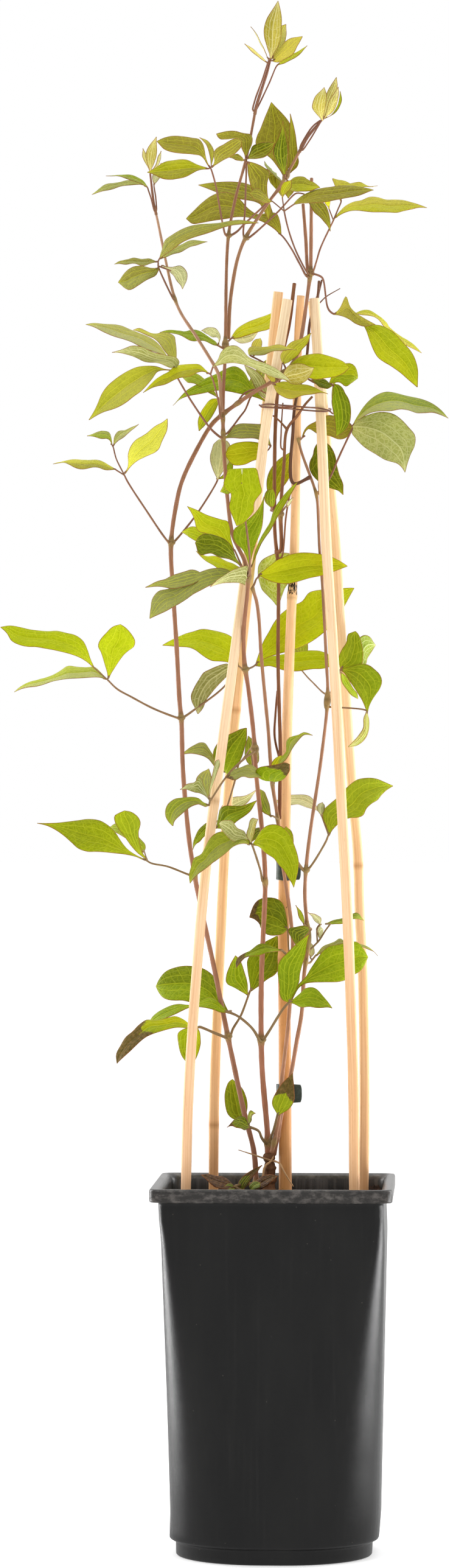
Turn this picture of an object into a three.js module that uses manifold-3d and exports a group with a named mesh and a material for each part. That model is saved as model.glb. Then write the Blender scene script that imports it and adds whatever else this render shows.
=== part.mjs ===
// A clematis that climbs four bamboo stakes and a centre cane, in its square-rimmed grower's pot.
// Millimetres, +Z up. The origin is the middle of the underside of the pot, and -Y is the front.
//
// The pot is one thin moulded shell, filled with soil. Four bent bamboo stakes stand in the soil near the
// corners and lean together at the top, where a wire tie goes round them twice. A natural cane stands in the
// middle, with two bands on it. The woody crown of the plant sits in the soil by the cane, and the stems
// climb from it. The leaves of one stem node are one solid: their stalks and leaflets, and the collar
// round the stem that joins the stalks. The tender tip of a shoot is one solid with the leaves in it.
import * as THREE from "three";
import { mergeVertices } from "three/addons/utils/BufferGeometryUtils.js";
import Module from "manifold-3d";

// ---- driving dimensions ------------------------------------------------------------------------------
const RIM_WIDTH = 150; // outside of the rolled rim, flat to flat
const POT_HEIGHT = 233;
const RIM_DEPTH = 8.4; // height of the rim's outside band
const BODY_TOP_WIDTH = 139.2; // just under the rim
const BODY_BOTTOM_WIDTH = 131.4; // just above the foot
const FOOT_WIDTH = 123;
const FOOT_HEIGHT = 8;
const WALL = 1.9;
const FLOOR = 3.4;
const DRAIN_HOLE = 11; // diameter of each of the four drain holes in the floor
const DRAIN_OFFSET = 36;
const SOIL_LEVEL = 219; // at the wall; the middle is a little higher
const FIT = 0.35; // clearance between touching pieces
const TIDY = 0.16;
const LEAF_THICKNESS = 1.0;
const TIE_WIRE = 0.9; // diameter
const BAND_THICKNESS = 1.2; // of the two bands on the cane

// ---- routes: points along each piece, and its diameter at the first and the last of them ---------------
const STAKES = {
  pole_front_left: { d0: 6.5, d1: 6.5, p: [[8.4,-5.4,785.9],[4.2,-7.6,760.1],[-5.0,-12.0,706.5],[-7.9,-13.8,683.5],[-19.3,-20.6,599.5],[-25.4,-24.4,553.8],[-30.4,-27.4,515.8],[-41.2,-34.2,432.4],[-47.1,-39.6,364.4],[-51.8,-45.6,289.1],[-53.2,-50.1,230.9],[-54.5,-54.4,176.0]] },
  pole_back_left: { d0: 6.3, d1: 6.5, p: [[2.4,3.3,791.7],[-1.0,5.2,761.2],[-6.5,9.0,707.8],[-8.8,10.7,684.9],[-25.0,21.5,531.7],[-30.0,25.3,477.8],[-32.6,28.0,439.2],[-36.3,33.6,361.9],[-39.5,39.2,284.3],[-40.3,43.5,224.0],[-40.9,47.0,176.0]] },
  pole_front_right: { d0: 6.6, d1: 6.7, p: [[25.2,-4.7,786.6],[26.9,-6.6,760.1],[29.7,-10.5,706.5],[33.1,-16.1,630.0],[35.2,-18.3,599.5],[39.5,-23.3,531.0],[42.3,-27.2,477.9],[46.5,-32.8,402.2],[48.9,-37.2,341.8],[50.5,-41.1,289.1],[51.1,-45.6,231.7],[51.8,-49.9,176.0]] },
  pole_back_right: { d0: 6.3, d1: 6.5, p: [[23.9,7.3,786.2],[28.0,10.5,746.2],[34.8,16.3,669.8],[38.2,19.3,631.5],[41.9,23.9,570.1],[45.3,27.2,524.0],[48.3,30.7,477.8],[51.7,33.5,439.2],[52.8,36.6,400.5],[54.7,39.1,361.8],[55.8,44.7,284.2],[55.3,47.7,225.9],[55.0,50.2,176.0]] },
  centre_cane: { d0: 4.9, d1: 8.6, p: [[16.6,1.0,789.1],[14.9,0.9,764.6],[13.7,1.3,692.0],[12.5,1.8,630.8],[10.3,1.7,584.9],[7.8,2.1,516.1],[7.0,2.0,477.8],[6.0,2.5,416.6],[5.8,2.5,378.3],[6.4,2.5,324.8],[6.8,2.5,227.2],[7.0,2.5,160.0]] },
};
const STEMS = {
  stem_left: [
    { d0: 3.2, d1: 2.2, p: [[-11.6,2.7,213.7],[-11.7,2.5,234.9],[-13.1,1.7,252.1],[-18.8,-0.6,275.1],[-27.4,-4.9,315.9],[-33.2,-3.2,344.0],[-37.8,-3.4,367.0],[-46.9,-11.0,410.7],[-49.5,-12.1,424.3],[-53.0,-13.1,447.3],[-56.8,-16.1,492.2],[-57.7,-16.3,522.1],[-58.8,-16.3,533.4],[-60.7,-15.5,567.4],[-63.0,-13.4,601.7],[-64.4,-12.6,633.0],[-60.9,-10.4,659.3],[-57.9,-8.8,671.7],[-51.1,-5.2,687.5],[-39.7,1.4,708.2],[-34.3,1.3,713.5],[-26.0,-0.9,719.5],[-12.1,-12.1,727.9],[-2.2,-17.0,733.1],[3.4,-18.3,736.6],[9.6,-17.7,741.7],[13.3,-16.7,747.2],[16.8,-14.3,759.1],[22.8,-9.8,801.1]] },
    { d0: 2.1, d1: 1.8, p: [[22.8,-9.8,801.1],[23.0,-9.8,803.7],[23.7,-12.8,861.3]] },
    { d0: 2.1, d1: 1.9, p: [[22.8,-9.8,801.1],[21.2,-7.4,804.7],[19.8,-3.1,824.4],[18.0,0.0,846.4]] },
  ],
  stem_main: [
    { d0: 3.4, d1: 1.6, p: [[-4.1,-2.9,251.2],[-4.2,-4.1,262.2],[-7.6,-6.8,305.4],[-8.1,-9.0,341.6],[-7.7,-10.1,363.4],[-6.8,-12.2,384.9],[-5.3,-14.1,422.3],[-6.9,-15.2,449.3],[-11.2,-18.3,493.1],[-12.1,-19.4,510.6],[-15.4,-21.3,540.7],[-17.9,-23.1,558.1],[-18.3,-25.8,578.0],[-15.7,-30.2,603.5],[-15.5,-31.0,610.5],[-17.6,-30.4,621.1],[-25.0,-25.9,637.3],[-28.5,-19.5,658.8],[-31.8,-8.9,700.6],[-32.0,-5.5,727.6],[-31.0,-2.2,749.2],[-30.0,2.9,814.7],[-28.7,3.0,829.9],[-24.5,2.9,851.2],[-17.8,2.1,875.9],[-12.5,0.7,902.8]] },
  ],
  stem_main_branch: [
    { d0: 2.3, d1: 1.71, p: [[-29.1,3.2,762.7],[-28.2,4.0,783.2],[-26.2,4.7,799.0],[-23.2,6.1,813.8],[-18.7,7.4,825.8],[-4.7,7.2,847.5],[3.8,6.0,859.1],[15.4,2.2,879.3]] },
  ],
  stem_left_branch: [
    { d0: 2.0, d1: 1.41, p: [[-32.6,-11.2,715.8],[-34.2,-10.8,736.7],[-35.3,-10.8,740.5],[-48.3,-10.7,762.2],[-58.4,-9.0,777.7],[-62.7,-7.8,788.1],[-74.1,-2.9,839.6]] },
  ],
  stem_right: [
    { d0: 2.6, d1: 1.5, p: [[-0.3,3.7,249.3],[2.0,-1.1,261.9],[4.6,-4.5,275.8],[6.7,-5.4,285.0],[10.5,-5.3,300.3],[14.1,-4.3,320.6],[17.2,-2.4,338.6],[18.7,0.0,363.1],[20.5,1.0,376.6],[20.7,1.2,384.2],[20.4,0.8,394.2],[19.2,-1.2,411.4],[19.7,-3.1,425.8],[22.2,-4.9,449.1],[29.9,-8.0,500.7],[33.7,-10.3,536.9],[32.7,-9.4,561.7],[30.9,-3.9,596.2],[29.8,-2.8,613.4],[28.4,-3.4,630.6],[26.8,-6.5,662.3],[25.0,-6.8,668.9],[17.1,-6.5,690.7],[15.1,-7.1,699.1]] },
    { d0: 1.9, d1: 1.5, p: [[22.9,-6.7,674.8],[12.0,-6.8,670.9],[11.9,-6.0,705.0],[12.6,-5.5,716.2],[14.3,-4.7,726.0],[17.6,-2.5,737.6],[20.4,-0.1,751.2],[22.0,0.5,770.5],[23.3,1.2,776.9],[27.0,1.4,788.2],[28.0,1.4,798.3]] },
    { d0: 1.2, d1: 1.0, p: [[26.9,1.4,787.7],[29.7,3.5,799.2]] },
    { d0: 0.8, d1: 0.5, p: [[25.8,1.3,784.6],[27.5,1.4,784.1],[32.3,0.5,788.3],[41.3,-1.0,793.4]] },
  ],
  stem_middle: [
    { d0: 2.4, d1: 1.9, p: [[-1.5,-6.3,251.5],[1.4,-9.5,264.0],[4.0,-10.7,278.7],[4.9,-10.6,294.9],[9.1,-9.4,332.9],[11.7,-9.3,375.9],[11.6,-9.3,386.1],[10.4,-9.4,399.7],[5.8,-10.6,430.7],[2.1,-10.7,462.8],[-1.0,-10.8,483.2],[-3.5,-10.9,515.9],[-5.2,-11.6,533.5],[-7.9,-14.5,564.5],[-9.1,-17.7,585.4],[-10.5,-20.8,596.4],[-12.9,-24.8,604.7]] },
  ],
  stem_old_wood: [
    { d0: 2.0, d1: 2.2, p: [[3.5,-7.6,460.7],[3.6,-6.6,477.8],[4.0,-6.6,499.9],[2.5,-6.7,559.3],[2.8,-5.6,607.6],[2.4,-5.2,621.0],[0.7,-3.9,636.2],[0.2,-3.1,646.6],[0.7,-1.3,708.7],[2.7,0.6,736.0],[4.7,1.9,750.9],[9.1,2.6,771.2],[12.5,1.8,796.8]] },
    { d0: 1.0, d1: 1.0, p: [[2.1,-4.9,623.9],[4.9,-9.1,624.6],[7.5,-8.4,649.5],[9.5,-8.0,661.6],[10.9,-7.3,666.7]] },
    { d0: 2.3, d1: 1.3, p: [[1.6,-4.6,628.0],[4.1,-7.6,628.5],[4.1,-6.5,653.5],[6.1,-5.5,681.9],[7.5,-5.7,702.8],[9.6,-6.3,707.4],[14.7,-7.6,713.2],[19.7,-8.9,720.3],[24.0,-10.7,724.8]] },
    { d0: 1.3, d1: 1.2, p: [[3.9,-6.6,496.1],[0.3,-4.2,511.9],[0.8,-4.7,526.2],[2.1,-5.7,540.8]] },
    { d0: 1.3, d1: 0.9, p: [[8.3,-5.9,704.5],[3.5,-7.4,709.9],[-0.5,-9.8,713.1]] },
    { d0: 0.9, d1: 0.8, p: [[6.8,-5.6,692.3],[4.7,-5.1,692.4],[4.4,-4.5,703.6],[5.4,-3.0,721.5]] },
  ],
};
const CROWN = [
  { d0: 6.5, d1: 9.0, p: [[-3.8,-1.9,250.0],[-2.9,-1.9,239.3],[-3.8,-1.9,213.3]] },
  { d0: 1.5, d1: 0.5, p: [[-3.4,-1.9,245.4],[-1.0,-3.8,245.6],[-8.2,-7.8,248.5],[-22.2,-10.7,253.2]] },
  { d0: 1.4, d1: 0.7, p: [[-3.4,-1.9,245.4],[0.5,-4.7,245.7],[3.7,-7.6,244.3],[5.7,-9.9,240.9],[8.2,-11.1,236.7],[12.2,-11.3,230.5]] },
  { d0: 1.4, d1: 1.4, p: [[-3.7,-1.9,248.7],[-0.7,-2.8,249.0],[-2.5,-5.9,245.3],[-4.8,-7.6,243.6],[-5.8,-8.2,242.1],[-7.0,-9.1,235.6],[-7.3,-9.1,229.1]] },
];
const TIE = [[37.0,-11.7,714.0],[34.7,-11.9,715.9],[31.7,-13.2,716.8],[29.2,-14.2,717.3],[20.3,-14.5,718.0],[11.5,-14.8,718.8],[3.2,-15.1,719.4],[-2.5,-15.6,719.9],[-6.0,-14.6,719.8],[-7.9,-10.1,719.6],[-8.6,-2.1,719.7],[-8.7,6.9,720.0],[-8.2,13.1,720.2],[-4.8,15.0,720.3],[10.6,16.7,720.2],[26.6,18.4,719.9],[32.0,17.6,719.4],[34.8,13.3,718.8],[35.2,4.8,717.6],[34.3,-5.3,716.3],[32.8,-11.8,715.5],[29.4,-14.4,715.4],[20.3,-14.5,716.1],[11.5,-14.8,716.9],[3.2,-15.1,717.5],[-1.8,-15.7,717.8],[-5.2,-15.3,718.1],[-7.5,-14.1,718.3],[-9.1,-13.6,719.7]];
// Each leaf group: its stalks (route and diameter), and its leaflets. A leaflet is rows of points across the
// blade, from the end at the stalk to the tip: left edge, midrib and right edge, or the two edges only.
const LEAVES = {
  shoot_tip_main: {
    stalks: [
      { d: 0.85, p: [[-12.0,0.5,905.2],[-13.6,0.6,905.5],[-12.3,-0.3,911.8],[-7.5,-3.3,924.2],[-2.9,-3.9,937.3],[-2.2,-3.9,937.7],[-2.0,-4.5,939.6]] },
      { d: 0.85, p: [[-12.0,0.5,905.6],[-11.8,2.7,905.7],[-3.5,2.0,922.6],[1.5,0.3,933.6],[3.1,1.1,935.0]] },
      { d: 0.85, p: [[-2.6,-1.9,937.2],[-1.6,0.2,938.2],[-0.7,0.3,940.0]] },
      { d: 0.85, p: [[-2.7,-1.9,936.8],[-1.1,-1.8,936.4],[0.4,-2.4,937.5]] },
      { d: 0.85, p: [[-2.7,-1.9,936.9],[-4.6,-1.2,938.9]] },
      { d: 0.85, p: [[-3.9,-3.8,934.6],[-5.5,-4.8,935.8]] },
      { d: 1.55, p: [[-12.4,0.6,903.2],[-11.5,0.4,907.9],[-4.3,-1.8,930.1],[-2.6,-1.9,937.2]] },
    ],
    blades: [
      [[[-2.7,-3.9,937.8],[-1.7,-3.8,937.6]],[[-6.0,-8.2,949.5],[4.0,-7.4,948.2]],[[-4.5,-7.8,962.2],[4.9,-7.0,960.8]],[[2.1,-2.7,973.8],[2.6,-2.6,973.7]]],
      [[[-1.9,0.3,938.5],[-1.2,0.1,937.9]],[[1.3,1.9,950.6],[6.4,0.6,947.2]],[[6.9,4.6,960.3],[7.3,4.5,960.1]]],
      [[[-1.3,-1.6,936.8],[-1.0,-2.1,936.0]],[[5.8,-2.8,947.2],[11.1,-8.5,939.1]],[[17.7,-6.9,951.1],[17.9,-7.1,950.7]]],
      [[[1.4,0.7,934.3],[1.6,-0.1,933.8]],[[10.5,7.8,941.6],[12.2,3.1,938.5]],[[20.2,13.3,948.0],[20.3,12.9,947.8]]],
      [[[-4.0,-1.5,937.2],[-3.6,-2.4,937.2]],[[-9.3,3.8,948.5],[-8.6,1.9,948.6]],[[-15.2,5.8,958.9],[-15.1,5.3,959.0]]],
      [[[-4.3,-4.3,934.4],[-3.9,-3.6,934.9]],[[-11.8,-9.4,939.3],[-10.6,-7.1,941.1]],[[-18.4,-10.8,945.9],[-18.3,-10.4,946.2]]],
    ],
  },
  shoot_tip_branch: {
    stalks: [
      { d: 0.85, p: [[16.7,1.8,881.4],[16.0,1.9,881.8],[21.8,1.0,892.6],[25.2,-0.7,896.3],[28.7,-2.5,898.7]] },
      { d: 0.85, p: [[16.6,1.8,881.3],[17.6,0.0,880.4],[21.5,-2.0,885.4],[29.1,-3.5,897.5]] },
      { d: 0.85, p: [[29.9,-2.5,899.1],[29.9,-3.6,900.3]] },
      { d: 0.85, p: [[29.9,-2.5,899.1],[30.6,0.6,899.9],[31.1,1.2,901.7]] },
      { d: 0.85, p: [[29.9,-3.1,899.7],[31.4,-2.4,900.3],[32.3,-3.3,901.8]] },
      { d: 0.85, p: [[30.4,-0.1,899.7],[32.8,0.2,901.4]] },
      { d: 1.66, p: [[15.6,2.1,879.6],[21.0,0.4,888.9],[29.9,-2.5,899.1]] },
    ],
    blades: [
      [[[29.8,-2.5,898.7],[30.8,-2.4,898.8]],[[24.1,-9.8,908.4],[32.7,-9.3,908.2]],[[31.2,-6.4,918.9],[31.7,-6.4,918.8]]],
      [[[30.1,0.4,900.0],[31.0,0.7,899.8]],[[31.7,4.6,914.4],[36.9,5.8,913.2]],[[38.7,3.9,926.7],[39.1,4.0,926.6]]],
      [[[31.0,-2.6,900.5],[31.8,-2.2,900.0]],[[34.4,-8.9,909.9],[39.2,-6.5,907.9]],[[40.0,-3.1,919.7],[40.4,-2.9,919.6]]],
      [[[30.9,-0.2,900.2],[31.8,-0.6,900.1]],[[38.8,3.2,907.5],[40.4,2.6,906.8]],[[40.9,8.1,918.4],[41.3,7.9,918.3]]],
    ],
  },
  shoot_tip_left: {
    stalks: [
      { d: 0.85, p: [[-74.7,-2.7,842.0],[-75.1,-3.0,841.9],[-77.4,-6.1,850.3],[-79.2,-9.2,856.1],[-79.2,-9.2,856.5],[-80.5,-10.5,857.3]] },
      { d: 0.75, p: [[-74.7,-2.7,842.3],[-74.2,-2.0,842.4],[-74.7,0.0,851.0],[-76.0,2.9,859.4],[-75.7,4.3,860.8]] },
      { d: 0.85, p: [[-78.1,-1.1,865.8],[-78.0,-3.1,867.5],[-77.8,-4.2,869.2]] },
      { d: 0.85, p: [[-78.0,-2.4,866.9],[-78.7,-2.7,869.0]] },
      { d: 0.85, p: [[-78.1,-1.9,866.4],[-77.7,-1.1,867.3],[-76.8,0.1,868.7]] },
      { d: 0.85, p: [[-79.5,-9.6,856.7],[-81.4,-8.7,857.6]] },
      { d: 1.36, p: [[-74.2,-2.9,840.0],[-75.8,-2.2,847.1],[-78.1,-1.1,865.8]] },
    ],
    blades: [
      [[[-78.5,-3.2,867.6],[-77.5,-3.1,867.4]],[[-80.3,-10.1,878.2],[-73.6,-9.1,877.1]],[[-74.2,-6.0,888.6],[-73.7,-5.9,888.5]]],
      [[[-78.5,-2.0,867.1],[-77.6,-2.3,867.4]],[[-81.9,-4.0,873.9],[-79.5,-4.5,874.5]],[[-83.0,-0.3,881.9],[-82.5,-0.4,882.0]]],
      [[[-78.0,-1.4,867.6],[-77.4,-0.8,867.1]],[[-74.4,3.9,874.2],[-72.7,5.2,873.4]],[[-71.7,4.0,881.0],[-71.3,4.3,880.8]]],
      [[[-79.2,-9.7,856.3],[-79.1,-8.7,856.7]],[[-86.9,-20.6,859.0],[-85.9,-11.8,862.7]],[[-95.4,-24.1,861.6],[-95.1,-19.8,863.4]],[[-104.4,-26.5,861.9],[-104.4,-26.1,862.1]]],
      [[[-79.5,-9.7,857.1],[-79.6,-8.8,857.5]],[[-91.2,-10.0,857.7],[-92.0,-2.1,861.6]],[[-103.1,-6.1,855.7],[-104.8,3.5,860.2]],[[-115.3,5.0,853.6],[-115.4,5.5,853.8]]],
      [[[-76.5,2.8,859.5],[-75.5,3.1,859.2]],[[-76.7,9.1,867.6],[-71.8,10.4,866.3]],[[-72.3,15.1,874.6],[-71.8,15.2,874.4]]],
    ],
  },
  leaf_left_branch: {
    stalks: [
      { d: 1.0, p: [[-61.9,-8.0,786.2],[-62.7,-10.0,786.1],[-71.2,-19.5,803.6],[-72.0,-20.9,806.1],[-72.0,-21.9,808.7],[-72.7,-21.9,808.7],[-73.8,-23.6,808.5]] },
      { d: 0.8, p: [[-72.0,-20.9,806.1],[-64.1,-19.6,803.2]] },
      { d: 0.85, p: [[-72.0,-21.9,808.7],[-71.2,-21.9,810.6],[-69.8,-22.8,811.7]] },
      { d: 0.85, p: [[-71.2,-21.9,810.6],[-70.5,-20.8,810.7],[-69.1,-19.7,811.6]] },
      { d: 0.85, p: [[-71.7,-20.4,805.2],[-73.4,-20.3,804.4]] },
      { d: 0.85, p: [[-70.1,-20.6,805.4],[-69.8,-19.8,806.6],[-68.2,-18.7,806.1]] },
    ],
    blades: [
      [[[-71.4,-21.5,810.8],[-71.2,-21.9,810.6],[-71.0,-22.2,810.4]],[[-57.0,-29.3,827.7],[-54.2,-33.9,824.2],[-51.4,-40.0,820.6]],[[-32.6,-41.1,831.1],[-31.4,-43.6,829.1],[-30.1,-46.9,827.0]],[[-8.2,-50.0,830.0],[-8.1,-50.2,829.8],[-8.1,-50.4,829.7]]],
      [[[-70.6,-20.4,810.9],[-70.4,-21.3,810.5]],[[-62.6,-8.6,818.7],[-60.7,-18.5,814.2]],[[-53.1,0.8,823.8],[-51.6,-9.7,819.0]],[[-42.5,6.6,824.0],[-42.4,6.2,823.8]]],
      [[[-72.7,-22.4,808.5],[-72.7,-21.5,808.9]],[[-80.3,-41.1,804.6],[-81.4,-26.2,810.2]],[[-88.7,-49.4,804.7],[-89.8,-38.0,808.9]],[[-97.4,-52.3,804.3],[-97.5,-51.8,804.5]]],
      [[[-71.4,-21.2,804.7],[-71.8,-20.6,805.3]],[[-78.2,-22.3,797.2],[-82.0,-13.5,806.9]],[[-88.1,-19.3,792.3],[-91.9,-8.1,805.0]],[[-97.9,-8.2,797.0],[-98.0,-7.9,797.3]]],
      [[[-69.4,-20.0,806.8],[-70.2,-19.6,806.4]],[[-56.1,-14.4,805.6],[-62.9,-11.5,800.7]],[[-57.2,-8.3,792.8],[-57.6,-8.2,792.7]]],
    ],
  },
  leaf_pair_main_fork: {
    stalks: [
      { d: 1.0, p: [[-28.9,3.0,827.3],[-30.7,0.9,827.5],[-32.3,-5.2,833.8],[-34.0,-12.3,844.0],[-36.3,-19.4,857.5],[-39.1,-24.0,866.9],[-39.5,-23.5,867.3],[-40.2,-25.1,868.3]] },
      { d: 0.95, p: [[-28.9,3.0,827.7],[-27.8,5.0,827.6],[-23.6,6.2,830.3],[-20.3,4.8,833.5],[-3.2,-10.1,847.5],[5.5,-16.5,855.7],[5.9,-16.5,856.1],[7.1,-18.1,856.1]] },
      { d: 0.85, p: [[-39.1,-24.0,866.9],[-40.2,-24.5,866.4],[-42.0,-25.4,866.4]] },
      { d: 0.85, p: [[-39.2,-23.9,867.0],[-37.6,-25.0,868.2]] },
      { d: 0.85, p: [[-39.5,-23.5,867.3],[-38.9,-21.5,867.1],[-38.8,-20.2,868.7]] },
    ],
    collars: [
      { d: 4.61, p: [[-29.0,3.0,826.0],[-28.8,3.0,829.0]] },
    ],
    blades: [
      [[[-39.6,-23.8,866.9],[-39.4,-23.2,867.7]],[[-48.3,-42.8,872.9],[-43.6,-34.7,880.7]],[[-60.5,-57.1,873.0],[-56.5,-46.9,884.0]],[[-70.5,-63.0,879.0],[-70.4,-62.7,879.3]]],
      [[[-40.2,-24.8,866.0],[-40.2,-24.2,866.8]],[[-52.5,-34.1,861.2],[-53.0,-26.9,871.1]],[[-65.2,-39.2,858.0],[-66.3,-30.3,870.3]],[[-77.9,-37.3,862.7],[-77.9,-37.0,863.1]]],
      [[[-38.6,-23.2,867.7],[-38.1,-23.7,866.9]],[[-36.4,-31.1,876.1],[-30.3,-35.9,870.3]],[[-28.3,-39.1,881.1],[-22.3,-44.5,873.6]],[[-19.2,-48.5,880.8],[-19.0,-48.8,880.4]]],
      [[[-39.2,-21.8,867.0],[-38.5,-21.1,867.3]],[[-39.9,-16.0,874.8],[-37.4,-13.7,875.8]],[[-42.2,-8.1,882.4],[-40.0,-5.8,884.2]],[[-47.3,2.0,888.8],[-47.1,2.3,889.1]]],
      [[[5.9,-16.2,856.4],[5.8,-16.9,855.7]],[[12.9,-20.6,861.4],[13.7,-31.5,850.9]],[[21.7,-29.8,858.6],[21.9,-38.2,850.6]],[[29.7,-40.3,852.7],[29.7,-40.7,852.4]]],
    ],
  },
  leaf_pair_branch_fork: {
    stalks: [
      { d: 0.95, p: [[-18.2,7.4,826.5],[-19.7,8.9,827.5],[-18.8,7.7,843.6],[-18.3,5.8,857.3],[-17.9,3.4,865.2],[-17.4,-1.0,873.2],[-16.8,-1.5,873.1],[-15.7,-0.5,871.8]] },
      { d: 0.95, p: [[-18.3,7.4,826.4],[-17.6,8.0,825.9],[1.7,-5.7,840.5],[13.2,-12.9,851.5],[15.0,-13.7,852.0],[19.1,-15.0,851.2],[19.5,-14.9,850.8],[20.6,-16.3,849.8]] },
      { d: 0.85, p: [[-17.4,-1.0,873.2],[-18.0,-0.5,875.9],[-17.9,-2.1,877.2]] },
      { d: 0.85, p: [[-17.6,-0.8,874.3],[-19.4,-2.4,874.2]] },
      { d: 0.85, p: [[-17.8,-0.7,875.0],[-16.1,-2.1,875.6]] },
    ],
    collars: [
      { d: 4.8, p: [[-18.9,7.3,825.2],[-17.5,7.4,827.6]] },
    ],
    blades: [
      [[[-18.4,-0.8,875.7],[-17.6,-0.3,876.1]],[[-21.0,-13.7,883.1],[-13.4,-9.2,886.7]],[[-28.0,-23.0,884.8],[-23.2,-19.3,890.3]],[[-35.2,-29.4,887.3],[-35.0,-29.2,887.7]]],
      [[[-18.8,-1.0,873.7],[-18.7,-0.2,874.3]],[[-23.3,-14.8,872.7],[-22.6,-8.9,877.3]],[[-27.8,-21.2,873.8],[-27.8,-20.8,874.1]]],
      [[[-17.4,-0.2,875.5],[-17.0,-0.8,874.8]],[[-10.9,-9.4,883.3],[-5.6,-15.9,874.5]],[[0.6,-21.6,882.7],[0.8,-21.9,882.3]]],
      [[[-16.4,-1.4,873.4],[-17.2,-1.6,872.8]],[[-2.9,6.6,867.8],[-15.7,3.1,860.5]],[[-4.5,11.8,853.0],[-10.5,10.1,849.2]],[[-4.2,17.1,838.3],[-4.7,17.0,838.2]]],
      [[[19.8,-14.6,851.2],[19.3,-15.2,850.5]],[[29.3,-21.4,847.0],[24.0,-27.1,841.1]],[[35.2,-29.8,837.1],[30.5,-34.2,833.5]],[[36.2,-38.1,825.7],[35.9,-38.4,825.5]]],
    ],
  },
  leaf_cluster_branch_top: {
    stalks: [
      { d: 0.9, p: [[6.3,5.2,863.5],[6.2,8.5,864.2],[5.8,8.9,866.1]] },
      { d: 0.85, p: [[6.3,5.2,863.5],[6.8,0.5,863.7],[6.5,-0.7,865.2]] },
      { d: 0.9, p: [[7.9,4.7,866.2],[8.6,6.6,866.2],[9.1,6.8,868.2]] },
      { d: 0.85, p: [[6.2,7.9,864.0],[4.7,8.4,861.1],[3.8,9.9,862.2]] },
      { d: 0.85, p: [[6.5,3.5,863.5],[7.9,3.6,862.1],[8.3,2.5,860.5]] },
    ],
    collars: [
      { d: 4.59, p: [[5.7,5.4,862.4],[8.6,4.4,867.4]] },
    ],
    blades: [
      [[[5.7,8.5,864.1],[6.7,8.6,864.2]],[[-5.7,10.8,879.1],[11.4,12.2,881.4]],[[-9.6,15.9,895.2],[9.3,17.5,899.6]],[[-3.0,24.1,913.6],[-2.5,24.2,913.7]]],
      [[[6.4,0.5,863.6],[7.3,0.6,863.7]],[[0.6,-7.8,873.7],[8.5,-6.8,874.6]],[[1.9,-13.7,885.1],[8.2,-12.9,885.6]],[[5.7,-17.6,896.6],[6.1,-17.5,896.7]]],
      [[[8.1,6.7,866.5],[9.0,6.5,866.0]],[[8.7,8.6,879.1],[14.8,6.9,877.1]],[[9.1,10.9,892.0],[13.1,9.8,891.2]],[[9.2,14.7,905.2],[9.7,14.6,905.1]]],
      [[[5.1,8.4,860.9],[4.2,8.5,861.4]],[[7.3,13.2,858.0],[-5.8,15.7,873.3]],[[3.6,22.4,854.0],[3.2,22.4,854.3]]],
      [[[8.4,3.6,862.2],[7.4,3.5,861.9]],[[12.6,-0.1,856.4],[6.0,-1.0,855.6]],[[9.1,-3.4,849.9],[8.6,-3.4,849.8]]],
    ],
  },
  leaf_top_shoot_left: {
    stalks: [
      { d: 0.95, p: [[22.9,-9.8,801.9],[21.4,-12.4,802.0],[15.4,-18.1,812.5],[11.5,-22.7,822.0],[8.7,-25.8,831.4],[7.0,-27.5,839.3]] },
      { d: 0.8, p: [[7.0,-27.5,839.3],[13.1,-29.2,843.3],[14.2,-30.6,843.6]] },
      { d: 0.65, p: [[7.0,-27.5,839.3],[5.9,-27.5,848.8],[6.4,-29.0,849.3]] },
      { d: 0.65, p: [[7.0,-27.5,839.3],[-1.0,-25.8,846.0],[-1.5,-27.7,845.7]] },
      { d: 1.0, p: [[22.6,-10.0,799.6],[20.6,-12.4,800.1],[16.6,-6.5,807.4],[9.9,8.4,820.2],[4.0,17.4,828.7],[2.0,17.5,830.2]] },
      { d: 0.85, p: [[3.0,17.5,829.4],[2.4,19.0,831.2]] },
      { d: 0.9, p: [[21.4,-12.4,802.0],[20.2,-11.8,800.8]] },
    ],
    blades: [
      [[[12.6,-28.8,843.5],[12.7,-29.2,843.3],[12.8,-29.7,843.0]],[[27.6,-37.8,852.0],[28.9,-44.7,847.2],[30.3,-53.1,842.2]],[[45.6,-51.2,852.5],[46.5,-57.9,847.8],[47.4,-66.2,842.9]],[[63.4,-68.9,847.9],[63.4,-69.1,847.8],[63.4,-69.3,847.7]]],
      [[[5.4,-27.4,848.2],[6.3,-27.7,847.9]],[[5.5,-32.5,854.7],[10.7,-34.0,851.8]],[[11.6,-37.2,857.7],[12.0,-37.4,857.4]]],
      [[[-0.7,-26.2,845.2],[-0.7,-25.5,846.0]],[[-5.4,-38.9,843.4],[-4.7,-33.1,849.3]],[[-10.2,-48.8,844.1],[-9.3,-40.9,852.2]],[[-13.7,-52.6,847.5],[-13.7,-52.2,847.9]]],
      [[[3.3,17.2,828.7],[3.6,17.4,829.0],[3.9,17.6,829.4]],[[-15.0,16.9,839.2],[-13.2,18.8,841.0],[-11.4,19.7,842.8]],[[-36.5,17.1,838.9],[-35.8,23.2,848.2],[-35.0,26.3,857.1]],[[-57.0,27.7,840.5],[-56.9,27.8,840.8],[-56.9,27.9,841.0]]],
      [[[3.2,18.1,829.1],[3.2,18.4,829.5],[3.2,18.7,829.9]],[[-8.3,23.8,847.8],[-7.1,26.1,850.3],[-5.7,27.5,852.7]],[[-29.2,32.0,854.8],[-27.6,36.3,859.9],[-26.0,38.9,864.8]],[[-50.2,48.0,864.0],[-50.2,48.1,864.2],[-50.1,48.2,864.4]]],
    ],
  },
  leaf_top_shoot_right: {
    stalks: [
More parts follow.
